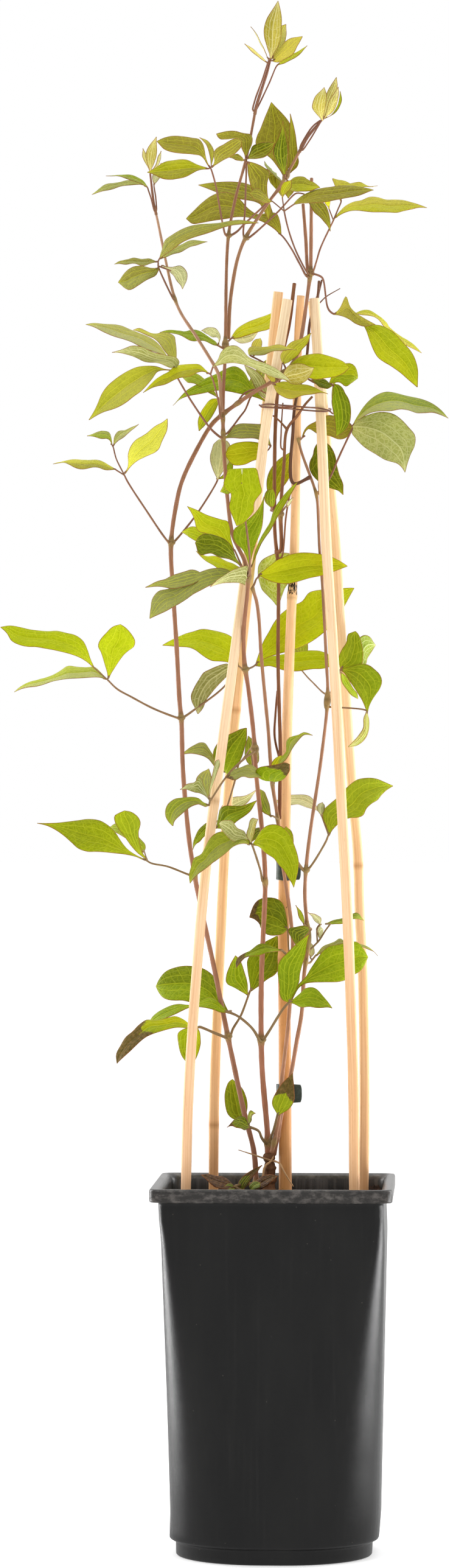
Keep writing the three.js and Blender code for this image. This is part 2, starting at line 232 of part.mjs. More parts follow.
      { d: 0.95, p: [[23.0,-9.8,803.4],[24.4,-10.7,803.3],[26.7,-12.6,809.2],[29.2,-13.8,817.3],[37.5,-18.2,834.4]] },
      { d: 0.75, p: [[37.5,-18.2,834.4],[40.1,-16.0,841.1],[42.3,-12.9,847.1],[41.9,-11.8,848.4]] },
      { d: 0.65, p: [[37.5,-18.2,834.4],[34.6,-22.3,842.0],[34.6,-23.7,842.7]] },
      { d: 1.0, p: [[22.9,-9.8,801.8],[24.8,-12.2,801.6],[29.5,-15.9,799.6],[31.0,-17.4,797.8],[33.8,-23.9,780.3],[35.3,-25.4,777.2],[38.1,-26.1,775.2],[39.2,-27.4,775.8]] },
      { d: 0.75, p: [[38.1,-26.1,775.2],[44.1,-26.9,775.9],[50.2,-28.2,775.3],[52.7,-29.7,773.6],[56.8,-34.3,767.6],[56.8,-35.3,767.9],[58.1,-36.2,766.7]] },
      { d: 0.85, p: [[38.1,-17.7,835.9],[39.9,-17.4,836.8]] },
      { d: 0.85, p: [[50.2,-28.2,775.3],[51.3,-26.6,775.5],[53.0,-25.5,775.2]] },
    ],
    collars: [
      { d: 4.89, p: [[22.8,-9.8,801.1],[23.0,-9.8,803.7],[23.0,-9.9,804.7]] },
    ],
    blades: [
      [[[38.1,-17.7,836.2],[38.3,-18.1,836.0],[38.4,-18.5,835.7]],[[54.9,-5.3,847.9],[56.0,-10.2,844.2],[57.1,-16.3,840.4]],[[75.4,7.1,850.4],[76.0,0.2,845.1],[76.7,-8.3,839.5]],[[95.8,12.6,845.5],[95.8,12.4,845.4],[95.8,12.2,845.2]]],
      [[[41.6,-12.8,847.0],[42.3,-13.1,846.5]],[[36.3,-2.6,862.1],[47.3,-7.3,853.8]],[[50.0,6.3,860.5],[55.7,4.1,857.1]],[[64.1,17.1,859.8],[64.6,17.0,859.9]]],
      [[[34.5,-22.5,841.1],[35.3,-22.1,841.4]],[[31.8,-29.2,846.1],[35.5,-27.1,848.3]],[[29.7,-32.6,851.8],[30.0,-32.4,852.1]]],
      [[[37.7,-25.8,775.6],[37.6,-26.5,774.8]],[[45.5,-27.4,785.9],[46.8,-39.0,771.1]],[[52.4,-35.4,775.0],[55.1,-42.3,766.6]],[[64.0,-42.9,767.4],[64.2,-43.2,767.1]]],
      [[[57.1,-35.2,768.3],[56.8,-35.3,767.9],[56.5,-35.5,767.5]],[[75.2,-42.6,762.3],[69.2,-43.8,756.4],[63.1,-48.0,750.3]],[[88.1,-50.4,747.0],[82.3,-51.4,742.8],[76.4,-55.1,738.4]],[[90.5,-57.8,727.3],[90.2,-57.9,727.2],[90.0,-58.0,727.1]]],
      [[[51.3,-26.1,775.7],[51.3,-26.6,775.5],[51.4,-27.0,775.3]],[[66.9,-12.2,774.5],[66.8,-16.6,772.8],[66.8,-21.4,771.0]],[[79.0,-0.1,763.7],[78.6,-4.4,762.0],[78.2,-9.2,760.4]],[[92.4,10.5,753.7],[92.4,10.2,753.6],[92.4,10.0,753.5]]],
    ],
  },
  leaf_right_large: {
    stalks: [
      { d: 1.05, p: [[26.4,-6.6,663.9],[28.0,-5.6,664.4],[33.6,-4.0,672.2],[35.9,-3.5,676.5],[41.0,-3.0,688.3],[49.4,-3.6,706.1]] },
      { d: 0.75, p: [[49.4,-3.6,706.1],[47.7,4.3,708.5],[45.6,10.2,710.8],[46.0,10.2,710.5],[45.5,11.6,711.8]] },
      { d: 0.85, p: [[48.7,-0.5,707.0],[50.8,-1.4,708.9]] },
      { d: 0.85, p: [[49.2,-2.8,706.4],[50.8,-3.4,705.6]] },
    ],
    blades: [
      [[[49.2,-0.2,708.1],[49.3,-0.6,707.8],[49.5,-1.0,707.6]],[[64.9,-2.9,726.0],[66.7,-9.4,720.8],[68.4,-17.8,715.5]],[[88.9,-9.4,724.4],[89.1,-16.1,718.8],[89.3,-24.7,713.2]],[[109.3,-20.9,710.6],[109.3,-21.1,710.5],[109.3,-21.3,710.3]]],
      [[[49.1,-2.7,706.3],[48.8,-2.6,705.3]],[[69.7,-9.8,715.2],[56.7,-7.5,693.2]],[[88.4,-17.3,700.2],[69.8,-15.3,684.7]],[[82.6,-26.2,676.6],[82.2,-26.2,676.3]]],
      [[[45.6,10.0,710.3],[46.5,10.4,710.6]],[[38.6,17.2,717.3],[46.8,20.7,720.5]],[[35.3,27.8,727.1],[43.3,31.2,730.4]],[[35.9,41.7,737.6],[36.3,41.9,737.8]]],
    ],
  },
  leaf_cluster_tie: {
    stalks: [
      { d: 1.1, p: [[4.9,-18.2,737.9],[5.6,-21.0,737.4],[10.3,-25.3,742.4],[11.9,-26.6,742.7]] },
      { d: 1.1, p: [[4.1,-18.2,737.2],[5.3,-21.6,736.2],[4.0,-27.6,735.0],[4.9,-32.6,734.3],[6.3,-35.3,734.8]] },
      { d: 1.1, p: [[2.7,-18.1,736.1],[3.0,-21.7,734.3],[-0.2,-26.8,731.7],[0.2,-27.8,731.6],[1.7,-28.9,731.0]] },
      { d: 0.95, p: [[8.4,-17.8,740.7],[7.9,-20.9,741.6],[6.1,-23.5,745.2],[6.1,-23.5,744.4],[7.2,-24.6,745.7]] },
      { d: 1.05, p: [[2.1,-18.0,735.8],[1.1,-21.2,736.3],[-4.7,-25.2,744.2],[-14.7,-27.4,749.9],[-13.6,-28.8,750.2]] },
      { d: 0.85, p: [[-12.3,-26.9,748.5],[-12.5,-25.3,748.9],[-12.1,-23.8,750.2]] },
      { d: 0.85, p: [[0.3,-26.0,732.1],[-0.2,-24.9,733.1]] },
    ],
    collars: [
      { d: 5.11, p: [[1.1,-17.8,735.1],[3.4,-18.3,736.6],[9.4,-17.7,741.5]] },
    ],
    blades: [
      [[[10.3,-25.0,743.1],[10.4,-25.7,742.4]],[[21.7,-28.9,750.2],[22.6,-42.1,734.5]],[[36.0,-37.5,747.9],[36.3,-49.6,733.5]],[[48.0,-49.6,740.2],[48.0,-49.9,739.8]]],
      [[[5.2,-33.9,734.9],[5.4,-33.2,734.2]],[[9.8,-50.1,740.9],[13.7,-38.8,730.8]],[[18.2,-61.9,741.3],[22.0,-51.6,732.3]],[[26.7,-70.9,738.6],[26.8,-70.5,738.3]]],
      [[[0.3,-27.4,731.9],[0.1,-28.2,731.3]],[[11.9,-28.4,732.7],[9.1,-41.7,722.0]],[[23.7,-36.8,729.4],[21.9,-44.3,723.4]],[[34.8,-44.1,724.4],[34.6,-44.5,724.1]]],
      [[[5.8,-23.2,744.6],[6.4,-23.8,744.2]],[[10.4,-28.1,756.7],[17.5,-35.3,750.9]],[[23.8,-36.6,762.7],[24.1,-36.9,762.5]]],
      [[[-15.2,-27.0,750.1],[-14.8,-27.9,749.7]],[[-8.0,-30.7,754.6],[-4.5,-40.6,749.2]],[[4.0,-38.9,755.0],[5.5,-45.5,751.0]],[[15.5,-46.9,751.4],[15.6,-47.3,751.1]]],
      [[[-12.9,-25.2,749.1],[-12.0,-25.5,748.7]],[[-13.8,-16.7,757.0],[-7.6,-18.9,754.0]],[[-8.7,-8.1,761.8],[-8.3,-8.2,761.6]]],
      [[[0.0,-25.7,731.5],[0.9,-25.9,731.2]],[[-4.7,-22.3,738.2],[1.4,-23.6,735.9]],[[0.8,-18.7,741.2],[1.2,-18.8,740.8]]],
    ],
  },
  leaf_main_at_tie: {
    stalks: [
      { d: 1.0, p: [[-31.9,-7.5,711.6],[-33.4,-10.7,712.0],[-34.4,-15.8,721.1],[-39.5,-23.5,738.5],[-41.5,-24.7,738.7]] },
      { d: 0.9, p: [[-39.3,-23.2,737.8],[-37.1,-25.4,743.3],[-36.0,-26.5,743.5]] },
    ],
    blades: [
      [[[-37.6,-25.8,743.1],[-37.5,-25.4,742.9],[-37.5,-25.0,742.7]],[[-22.8,-44.0,754.0],[-21.9,-36.3,748.9],[-21.1,-26.6,744.0]],[[-5.2,-52.4,743.5],[-4.9,-47.8,740.4],[-4.7,-42.0,737.4]],[[11.9,-61.5,731.5],[11.8,-61.3,731.4],[11.8,-61.1,731.2]]],
      [[[-40.0,-23.9,738.2],[-39.8,-23.1,738.8]],[[-53.0,-40.8,735.4],[-54.3,-27.8,744.5]],[[-66.5,-47.7,730.4],[-68.5,-38.1,737.0]],[[-79.8,-49.5,724.9],[-79.9,-49.1,725.1]]],
    ],
  },
  leaf_pair_main_upper: {
    stalks: [
      { d: 0.95, p: [[-30.8,-1.3,760.4],[-29.9,1.5,760.2],[-26.7,7.1,763.7],[-27.5,7.0,763.0],[-26.1,8.2,763.9]] },
      { d: 0.95, p: [[-30.9,-1.7,756.0],[-32.2,-2.7,756.1],[-35.6,-8.3,757.6],[-34.9,-8.3,757.2],[-36.4,-7.4,758.0]] },
      { d: 0.85, p: [[-26.1,8.2,763.9],[-26.0,9.1,762.8],[-24.4,10.2,762.9]] },
      { d: 0.85, p: [[-34.9,-8.3,757.2],[-34.8,-10.9,758.6]] },
    ],
    collars: [
      { d: 4.8, p: [[-30.9,-1.8,754.7],[-30.8,-1.2,761.7]] },
    ],
    blades: [
      [[[-27.7,7.4,763.3],[-27.3,6.7,762.7]],[[-19.9,19.7,772.9],[-15.0,11.2,766.2]],[[-8.8,31.2,778.9],[-2.9,20.7,770.6]],[[2.8,38.6,783.7],[3.0,38.2,783.5]]],
      [[[-26.1,8.8,763.1],[-26.0,9.4,762.4]],[[-18.8,11.8,766.1],[-17.4,16.6,761.0]],[[-11.1,17.6,768.2],[-10.9,17.9,767.9]]],
      [[[-34.9,-8.7,757.0],[-34.8,-7.8,757.4]],[[-47.1,-8.7,760.2],[-45.8,5.1,766.8]],[[-59.9,2.7,764.5],[-59.5,10.6,768.4]],[[-73.3,16.9,767.7],[-73.3,17.3,767.9]]],
      [[[-34.6,-8.8,757.3],[-34.2,-9.7,757.6]],[[-38.4,-14.7,762.3],[-35.2,-24.0,765.9]],[[-44.5,-31.5,764.7],[-44.4,-31.9,764.9]]],
    ],
  },
  leaf_main_left: {
    stalks: [
      { d: 1.05, p: [[-31.7,-9.3,699.0],[-33.2,-11.2,699.4],[-39.1,-15.9,704.3],[-42.6,-18.7,708.8],[-52.7,-26.1,723.9],[-61.5,-32.5,739.8],[-61.5,-32.5,740.2],[-63.3,-33.1,739.8]] },
      { d: 0.85, p: [[-61.5,-32.5,740.2],[-60.4,-32.4,741.3],[-61.8,-33.6,742.0]] },
      { d: 0.85, p: [[-60.7,-32.4,741.0],[-61.5,-31.5,741.8],[-63.0,-31.1,743.1]] },
      { d: 0.85, p: [[-61.5,-31.5,741.8],[-60.1,-30.4,742.2],[-60.6,-29.4,743.9]] },
    ],
    blades: [
      [[[-61.2,-32.7,739.8],[-61.5,-32.5,740.2],[-61.8,-32.2,740.5]],[[-77.6,-44.3,729.7],[-81.0,-39.5,736.0],[-84.2,-37.2,742.1]],[[-94.2,-49.9,716.6],[-98.6,-44.9,722.8],[-102.9,-42.4,728.8]],[[-113.4,-48.8,708.0],[-113.6,-48.7,708.1],[-113.7,-48.6,708.3]]],
      [[[-60.7,-32.0,741.2],[-60.1,-32.8,741.4]],[[-73.5,-36.2,744.3],[-67.6,-44.8,748.6]],[[-86.1,-46.0,747.3],[-82.7,-54.8,753.3]],[[-98.4,-61.9,748.8],[-98.3,-62.3,749.1]]],
      [[[-61.3,-31.9,741.7],[-61.5,-31.5,741.8],[-61.8,-31.0,741.8]],[[-77.6,-34.7,752.9],[-76.5,-28.0,756.3],[-75.3,-22.4,759.7]],[[-97.5,-30.1,760.7],[-96.7,-22.4,764.8],[-95.8,-16.1,768.9]],[[-117.8,-15.1,770.1],[-117.8,-14.9,770.3],[-117.8,-14.7,770.4]]],
      [[[-60.4,-30.7,742.0],[-59.8,-30.1,742.5]],[[-67.5,-25.4,752.5],[-61.1,-18.5,758.7]],[[-76.7,-13.4,762.2],[-73.5,-10.2,764.8]],[[-89.0,0.2,767.8],[-88.8,0.5,768.2]]],
    ],
  },
  leaf_left_at_tie: {
    stalks: [
      { d: 0.9, p: [[-22.7,-3.5,721.5],[-23.2,-4.3,721.2],[-20.6,-4.6,725.6],[-18.6,-4.6,727.5],[-14.9,-4.4,729.4],[-11.2,-4.3,730.1],[-8.3,-4.0,729.3],[-5.2,-3.3,727.3],[-3.6,-2.7,725.2],[-2.6,-1.9,722.0],[-4.0,-2.4,724.9]] },
      { d: 0.85, p: [[-2.6,-1.9,722.0],[-2.3,-0.9,720.6],[-3.8,-0.5,721.8]] },
    ],
    blades: [
      [[[-2.2,-1.2,720.2],[-2.3,-0.9,720.6],[-2.4,-0.6,721.0]],[[-22.5,-3.5,727.8],[-21.0,3.7,735.0],[-19.5,8.5,742.0]],[[-44.5,4.4,728.5],[-44.3,9.4,733.6],[-44.1,12.6,738.7]],[[-64.9,17.3,721.5],[-64.9,17.4,721.6],[-64.8,17.6,721.8]]],
      [[[-3.4,-1.7,722.9],[-2.7,-2.1,723.5]],[[-12.7,-3.3,732.5],[-6.5,-6.8,737.0]],[[-18.5,-10.5,744.6],[-18.2,-10.7,744.9]]],
    ],
  },
  leaf_left_of_tie: {
    stalks: [
      { d: 0.9, p: [[-32.2,0.7,715.0],[-34.1,-0.7,717.2],[-34.6,3.7,724.4],[-34.6,3.7,724.8],[-35.7,2.7,723.5]] },
      { d: 0.85, p: [[-34.6,3.7,724.8],[-36.3,5.8,726.1]] },
    ],
    blades: [
      [[[-34.3,3.5,724.5],[-34.9,4.0,725.1]],[[-39.0,-5.6,712.9],[-45.4,-1.2,717.7]],[[-46.9,-7.9,703.7],[-47.3,-7.7,703.9]]],
      [[[-35.2,4.3,724.6],[-35.0,5.1,725.2]],[[-42.9,7.6,729.8],[-41.4,14.1,734.3]],[[-51.0,13.9,734.9],[-49.7,23.2,741.7]],[[-59.3,27.5,739.9],[-59.2,27.9,740.2]]],
    ],
  },
  leaf_pair_left_upper: {
    stalks: [
      { d: 1.0, p: [[-64.3,-12.6,633.4],[-65.7,-14.1,633.7],[-81.2,-24.4,656.1],[-90.5,-30.2,670.7],[-92.7,-31.3,675.1]] },
      { d: 0.8, p: [[-92.5,-31.2,674.8],[-98.3,-32.6,678.5],[-98.0,-32.0,678.5],[-99.5,-33.3,678.8]] },
      { d: 0.75, p: [[-92.7,-31.3,675.1],[-98.2,-23.5,685.8],[-100.8,-18.1,694.2],[-101.9,-17.4,695.2]] },
      { d: 1.0, p: [[-64.2,-12.5,634.2],[-63.2,-10.5,633.9],[-57.5,-5.7,640.4],[-47.1,1.7,654.8],[-36.4,9.7,673.5],[-35.8,10.3,676.1]] },
      { d: 0.85, p: [[-93.0,-30.9,675.7],[-91.4,-31.6,677.4]] },
      { d: 0.85, p: [[-100.7,-18.3,693.8],[-99.7,-16.8,695.2]] },
      { d: 0.85, p: [[-36.1,10.0,674.9],[-36.9,11.6,674.7],[-35.9,12.9,675.9]] },
    ],
    collars: [
      { d: 5.33, p: [[-64.4,-12.6,632.1],[-64.1,-12.4,635.5]] },
    ],
    blades: [
      [[[-98.0,-32.5,678.3],[-98.0,-31.6,678.7]],[[-110.0,-49.3,678.3],[-110.0,-35.8,683.9]],[[-122.5,-57.1,678.6],[-122.9,-45.2,683.5]],[[-135.2,-57.9,680.4],[-135.2,-57.4,680.6]]],
      [[[-92.8,-30.7,676.1],[-91.9,-30.9,675.6]],[[-89.1,-35.2,690.6],[-80.1,-38.3,685.3]],[[-78.0,-38.9,700.8],[-68.5,-42.3,694.4]],[[-65.3,-42.6,709.3],[-64.9,-42.7,709.1]]],
      [[[-100.9,-18.6,693.5],[-100.6,-17.7,694.0]],[[-107.6,-18.4,698.6],[-105.8,-10.4,703.8]],[[-117.5,-9.1,700.7],[-117.4,-8.7,701.0]]],
      [[[-100.7,-17.8,694.0],[-100.1,-18.5,693.6]],[[-99.2,-9.8,702.0],[-95.4,-14.2,698.7]],[[-92.6,-3.1,705.4],[-90.4,-5.7,703.5]],[[-85.8,4.7,709.1],[-85.6,4.4,708.8]]],
      [[[-36.5,9.7,674.2],[-35.6,9.7,674.3]],[[-41.2,14.3,687.7],[-27.8,14.3,688.5]],[[-35.8,16.7,699.9],[-35.3,16.7,700.0]]],
      [[[-37.3,11.8,675.1],[-36.6,11.5,674.4]],[[-31.0,21.5,684.5],[-26.8,20.6,683.0]],[[-34.2,32.8,696.7],[-33.7,32.7,696.8]]],
    ],
  },
  leaf_pair_left_middle: {
    stalks: [
      { d: 1.0, p: [[-57.8,-16.3,523.6],[-59.0,-18.3,523.5],[-74.0,-29.2,529.2],[-88.1,-37.7,536.7],[-96.5,-41.7,541.5],[-102.1,-44.2,547.0]] },
      { d: 0.75, p: [[-102.1,-44.2,547.0],[-110.7,-46.6,554.9],[-111.6,-47.5,555.8]] },
      { d: 1.0, p: [[-57.9,-16.3,524.2],[-56.5,-14.2,524.3],[-49.6,-7.1,529.3],[-35.0,3.7,540.6],[-30.0,6.7,546.0],[-26.8,8.1,552.2]] },
      { d: 0.85, p: [[-102.7,-44.4,547.6],[-104.8,-43.8,547.8]] },
      { d: 0.85, p: [[-102.3,-44.3,547.2],[-101.4,-45.2,549.5]] },
      { d: 0.85, p: [[-26.8,8.1,552.2],[-26.8,8.1,555.2],[-28.5,7.4,554.4]] },
    ],
    collars: [
      { d: 5.5, p: [[-57.7,-16.3,522.3],[-58.0,-16.3,525.5]] },
    ],
    blades: [
      [[[-110.5,-46.9,554.3],[-110.3,-46.6,554.5],[-110.1,-46.2,554.8]],[[-128.7,-64.8,563.6],[-125.3,-57.0,569.0],[-121.7,-51.7,574.3]],[[-149.6,-73.1,567.2],[-146.9,-66.1,572.4],[-144.1,-61.2,577.5]],[[-166.5,-73.2,579.0],[-166.4,-73.0,579.2],[-166.3,-72.9,579.3]]],
      [[[-102.9,-44.7,547.2],[-102.9,-44.3,547.4],[-102.8,-43.8,547.6]],[[-122.0,-47.8,547.7],[-122.0,-39.2,551.5],[-122.0,-31.9,555.2]],[[-142.1,-37.6,544.5],[-142.2,-32.3,546.8],[-142.2,-27.8,549.1]],[[-162.2,-23.0,539.8],[-162.2,-22.8,539.9],[-162.3,-22.6,540.0]]],
      [[[-102.2,-44.2,547.8],[-101.3,-44.2,547.7]],[[-105.0,-51.8,561.1],[-93.5,-51.8,559.9]],[[-104.5,-57.5,573.5],[-84.2,-57.7,570.4]],[[-93.3,-61.9,580.9],[-92.8,-61.9,580.8]]],
      [[[-26.7,8.3,554.8],[-26.9,7.8,555.7]],[[-34.3,7.0,545.7],[-41.0,0.9,554.2]],[[-41.9,1.6,536.5],[-50.8,-4.5,541.7]],[[-47.7,-7.7,526.2],[-48.1,-8.0,526.4]]],
    ],
  },
  leaf_left_lower: {
    stalks: [
      { d: 1.0, p: [[-49.7,-12.2,425.5],[-51.4,-14.0,425.2],[-65.9,-24.7,430.9],[-76.0,-31.1,433.1],[-78.9,-33.2,435.0],[-80.8,-34.2,435.8]] },
      { d: 0.75, p: [[-78.2,-32.7,434.6],[-81.4,-17.3,440.9],[-81.4,-17.3,439.7],[-82.2,-15.8,440.8]] },
      { d: 0.85, p: [[-78.9,-33.2,435.0],[-78.1,-34.2,435.4],[-79.1,-35.2,436.8]] },
    ],
    blades: [
      [[[-79.4,-33.5,434.6],[-79.3,-33.2,435.0],[-79.2,-32.9,435.4]],[[-102.2,-52.2,440.3],[-100.1,-46.3,446.1],[-97.8,-42.8,452.0]],[[-123.9,-63.9,446.3],[-121.9,-57.1,453.3],[-119.8,-53.1,460.2]],[[-144.4,-66.2,458.2],[-144.4,-66.1,458.4],[-144.3,-65.9,458.5]]],
      [[[-78.5,-34.3,435.1],[-77.7,-34.1,435.7]],[[-88.3,-42.3,444.7],[-82.5,-41.3,446.9]],[[-96.1,-48.9,456.2],[-81.7,-46.4,459.2]],[[-91.3,-51.8,465.8],[-90.8,-51.7,465.8]]],
      [[[-81.7,-17.7,439.6],[-81.1,-16.9,439.9]],[[-89.3,-10.1,444.7],[-85.5,-3.8,449.1]],[[-97.1,2.3,450.3],[-95.7,8.5,456.1]],[[-106.7,19.5,453.7],[-106.6,19.8,454.1]]],
    ],
  },
  leaf_pair_main_middle: {
    stalks: [
      { d: 0.95, p: [[-17.3,-22.7,554.2],[-18.9,-19.6,554.3],[-24.2,1.2,557.8]] },
      { d: 0.95, p: [[-17.3,-22.7,553.9],[-16.7,-19.5,554.3],[-14.7,-12.6,555.0],[-11.7,4.7,557.8],[-10.4,5.6,559.5]] },
      { d: 0.85, p: [[-24.1,0.8,557.7],[-22.7,1.3,557.0],[-24.0,1.7,558.4]] },
      { d: 0.85, p: [[-11.7,4.7,557.8],[-12.5,5.7,557.1],[-10.8,6.7,557.3]] },
    ],
    collars: [
      { d: 5.37, p: [[-17.1,-22.5,552.6],[-17.5,-22.8,555.5]] },
    ],
    blades: [
      [[[-22.9,1.0,556.7],[-22.4,1.5,557.3]],[[-39.0,-1.3,560.1],[-29.9,11.6,576.9]],[[-54.2,7.4,568.0],[-51.3,14.5,578.4]],[[-71.6,19.0,569.9],[-71.5,19.3,570.4]]],
      [[[-12.0,4.9,558.6],[-11.7,4.7,558.2],[-11.3,4.6,557.9]],[[-0.6,17.8,584.9],[6.4,16.7,576.3],[13.5,11.7,567.7]],[[20.7,32.2,603.4],[28.1,30.9,593.3],[35.6,25.2,583.0]],[[49.0,46.5,607.3],[49.2,46.4,607.1],[49.3,46.3,606.9]]],
      [[[-12.6,6.0,557.5],[-12.5,5.7,557.1],[-12.4,5.4,556.7]],[[4.2,19.4,564.3],[4.8,15.9,559.4],[5.5,10.7,554.4]],[[23.1,27.2,566.8],[23.5,22.9,560.7],[23.9,16.6,554.6]],[[41.1,26.2,560.8],[41.1,26.0,560.6],[41.1,25.9,560.4]]],
    ],
  },
  leaf_pair_right_middle: {
    stalks: [
      { d: 0.85, p: [[33.6,-10.2,538.9],[32.3,-8.9,538.8],[23.5,12.6,546.6],[19.3,21.1,550.9],[16.0,28.0,555.2],[15.9,30.4,557.1]] },
      { d: 0.95, p: [[33.6,-10.2,538.8],[34.8,-9.3,538.8],[38.7,-7.1,545.7],[40.2,-5.0,549.6],[41.3,-2.0,553.4],[42.9,-2.0,556.2]] },
      { d: 0.85, p: [[42.4,-2.0,555.3],[42.8,0.1,555.0],[44.0,1.6,555.6]] },
      { d: 0.85, p: [[41.6,-2.0,554.0],[41.4,-4.0,554.2],[43.2,-4.5,553.7]] },
      { d: 0.9, p: [[33.1,-9.9,530.8],[58.3,-11.3,528.1],[58.1,-11.9,526.2]] },
      { d: 0.85, p: [[41.3,-2.0,553.4],[41.7,0.0,553.1],[42.4,1.1,551.6]] },
    ],
    collars: [
      { d: 4.7, p: [[32.9,-9.8,529.5],[33.7,-10.3,536.9],[33.6,-10.2,540.2]] },
    ],
    blades: [
      [[[15.5,28.9,555.6],[16.0,29.0,555.7],[16.5,29.0,555.7]],[[10.5,39.7,567.0],[15.2,41.4,568.0],[20.0,41.4,568.9]],[[6.1,53.4,578.9],[10.9,55.3,580.7],[15.7,55.3,582.5]],[[4.0,70.4,591.6],[4.2,70.5,591.7],[4.4,70.5,591.8]]],
      [[[41.3,-1.9,554.8],[42.1,-2.0,554.3]],[[43.0,-1.1,568.1],[55.7,-2.7,561.2]],[[50.6,0.5,578.4],[51.1,0.4,578.3]]],
      [[[42.8,-0.2,555.5],[42.8,0.3,554.6]],[[51.0,8.7,563.9],[52.1,13.5,555.2]],[[54.4,16.7,575.6],[58.4,24.6,561.7]],[[63.0,28.9,570.5],[63.0,29.1,570.0]]],
      [[[41.7,-3.9,554.6],[41.1,-4.1,553.8]],[[59.5,-6.2,557.0],[48.4,-9.0,545.2]],[[66.3,-8.8,541.9],[54.8,-11.2,535.7]],[[58.8,-11.2,525.2],[58.5,-11.3,524.9]]],
      [[[58.7,-10.9,528.0],[57.9,-11.6,528.2]],[[58.6,-14.5,513.1],[55.2,-17.8,515.6]],[[46.9,-23.6,505.4],[46.6,-23.9,505.7]]],
      [[[42.0,0.3,553.3],[41.3,-0.2,552.9]],[[47.9,7.4,545.1],[44.3,4.6,543.0]],[[52.3,14.6,536.2],[51.9,14.4,536.0]]],
    ],
  },
  leaf_cross_left: {
    stalks: [
      { d: 1.05, p: [[-16.3,-30.8,614.6],[-15.9,-34.5,614.9],[-19.1,-38.6,617.8],[-19.1,-39.6,617.4],[-20.1,-41.0,618.5]] },
      { d: 0.95, p: [[-19.1,-38.6,617.8],[-24.0,-31.8,628.3],[-24.0,-30.8,627.6],[-25.1,-30.3,629.2]] },
      { d: 1.1, p: [[-15.5,-31.0,610.1],[-16.4,-35.5,609.6],[-18.7,-40.6,609.8],[-20.8,-44.7,610.8]] },
      { d: 0.85, p: [[-23.9,-31.9,628.1],[-25.1,-32.9,628.3],[-26.6,-31.9,629.2]] },
      { d: 0.85, p: [[-18.6,-37.9,617.3],[-21.1,-36.4,616.8]] },
      { d: 0.85, p: [[-20.4,-43.9,610.6],[-19.3,-44.6,610.0],[-21.1,-45.4,610.0]] },
      { d: 0.9, p: [[-16.5,-30.7,615.4],[-40.9,-50.6,611.7],[-42.7,-51.3,611.3]] },
      { d: 0.85, p: [[-19.3,-44.6,610.0],[-17.7,-45.6,609.6],[-18.0,-47.5,610.0]] },
      { d: 0.85, p: [[-20.0,-43.2,610.4],[-22.4,-41.4,610.9]] },
    ],
    collars: [
      { d: 5.21, p: [[-15.5,-30.8,608.8],[-15.5,-31.0,610.5],[-16.7,-30.6,616.7]] },
    ],
    blades: [
      [[[-24.4,-31.0,627.3],[-23.6,-30.7,627.9]],[[-36.2,-28.9,635.2],[-26.8,-25.2,642.9]],[[-48.2,-23.3,642.6],[-39.7,-19.9,649.8]],[[-54.2,-14.2,656.0],[-53.9,-14.0,656.3]]],
      [[[-25.2,-33.2,627.9],[-24.9,-32.6,628.6]],[[-36.0,-28.2,632.1],[-34.6,-24.8,636.8]],[[-47.5,-21.3,633.8],[-46.3,-15.4,642.2]],[[-57.8,-8.4,640.2],[-57.8,-8.1,640.6]]],
      [[[-19.3,-40.0,617.0],[-18.9,-39.3,617.7]],[[-29.0,-53.9,622.2],[-25.3,-46.3,629.5]],[[-39.9,-65.2,623.9],[-36.1,-52.6,637.0]],[[-46.6,-66.0,630.8],[-46.6,-65.7,631.2]]],
      [[[-19.4,-38.1,616.4],[-19.7,-37.2,616.9]],[[-28.5,-37.1,612.9],[-29.2,-23.3,621.9]],[[-39.4,-25.2,619.6],[-39.1,-16.8,625.1]],[[-48.9,-10.1,628.4],[-48.9,-9.7,628.7]]],
      [[[-19.3,-44.9,609.6],[-19.3,-44.6,610.0],[-19.3,-44.4,610.4]],[[-39.0,-56.9,604.7],[-40.6,-52.8,609.7],[-42.1,-50.6,614.6]],[[-56.2,-63.4,593.5],[-60.0,-58.8,598.2],[-63.8,-56.3,602.9]],[[-74.8,-63.2,584.4],[-74.9,-63.1,584.6],[-75.1,-62.9,584.7]]],
      [[[-40.8,-50.8,611.2],[-41.0,-50.4,612.2]],[[-51.7,-57.4,604.8],[-53.3,-53.5,614.0]],[[-64.5,-61.5,603.5],[-65.5,-59.1,609.0]],[[-77.4,-65.3,603.5],[-77.5,-65.1,603.9]]],
      [[[-17.8,-45.3,609.2],[-17.7,-45.9,610.0]],[[-20.3,-51.0,606.8],[-17.5,-59.5,616.6]],[[-28.8,-64.4,606.3],[-28.3,-69.0,611.6]],[[-36.9,-79.3,603.3],[-36.9,-79.6,603.7]]],
      [[[-20.7,-43.0,610.5],[-21.0,-42.4,611.2]],[[-29.5,-38.1,607.2],[-32.0,-30.9,615.4]],[[-40.2,-23.7,609.9],[-40.3,-23.4,610.2]]],
    ],
  },
  leaf_cross_hanging: {
    stalks: [
      { d: 1.0, p: [[-15.8,-30.9,611.9],[-14.6,-34.4,612.3],[-13.8,-40.5,616.0],[-13.7,-43.5,618.7],[-13.8,-47.6,624.1],[-14.4,-52.4,632.1],[-15.5,-56.7,641.4],[-16.8,-60.4,651.8],[-17.9,-62.9,661.5],[-18.5,-64.6,671.2]] },
      { d: 1.0, p: [[-15.7,-30.9,611.4],[-14.0,-33.4,611.9],[-13.8,-38.4,617.8]] },
      { d: 0.85, p: [[-18.4,-64.3,669.4],[-18.0,-65.6,667.6]] },
      { d: 0.85, p: [[-18.5,-64.6,671.2],[-22.4,-60.8,675.1],[-23.2,-59.9,673.5]] },
      { d: 0.85, p: [[-13.8,-37.2,616.4],[-14.2,-38.3,618.1]] },
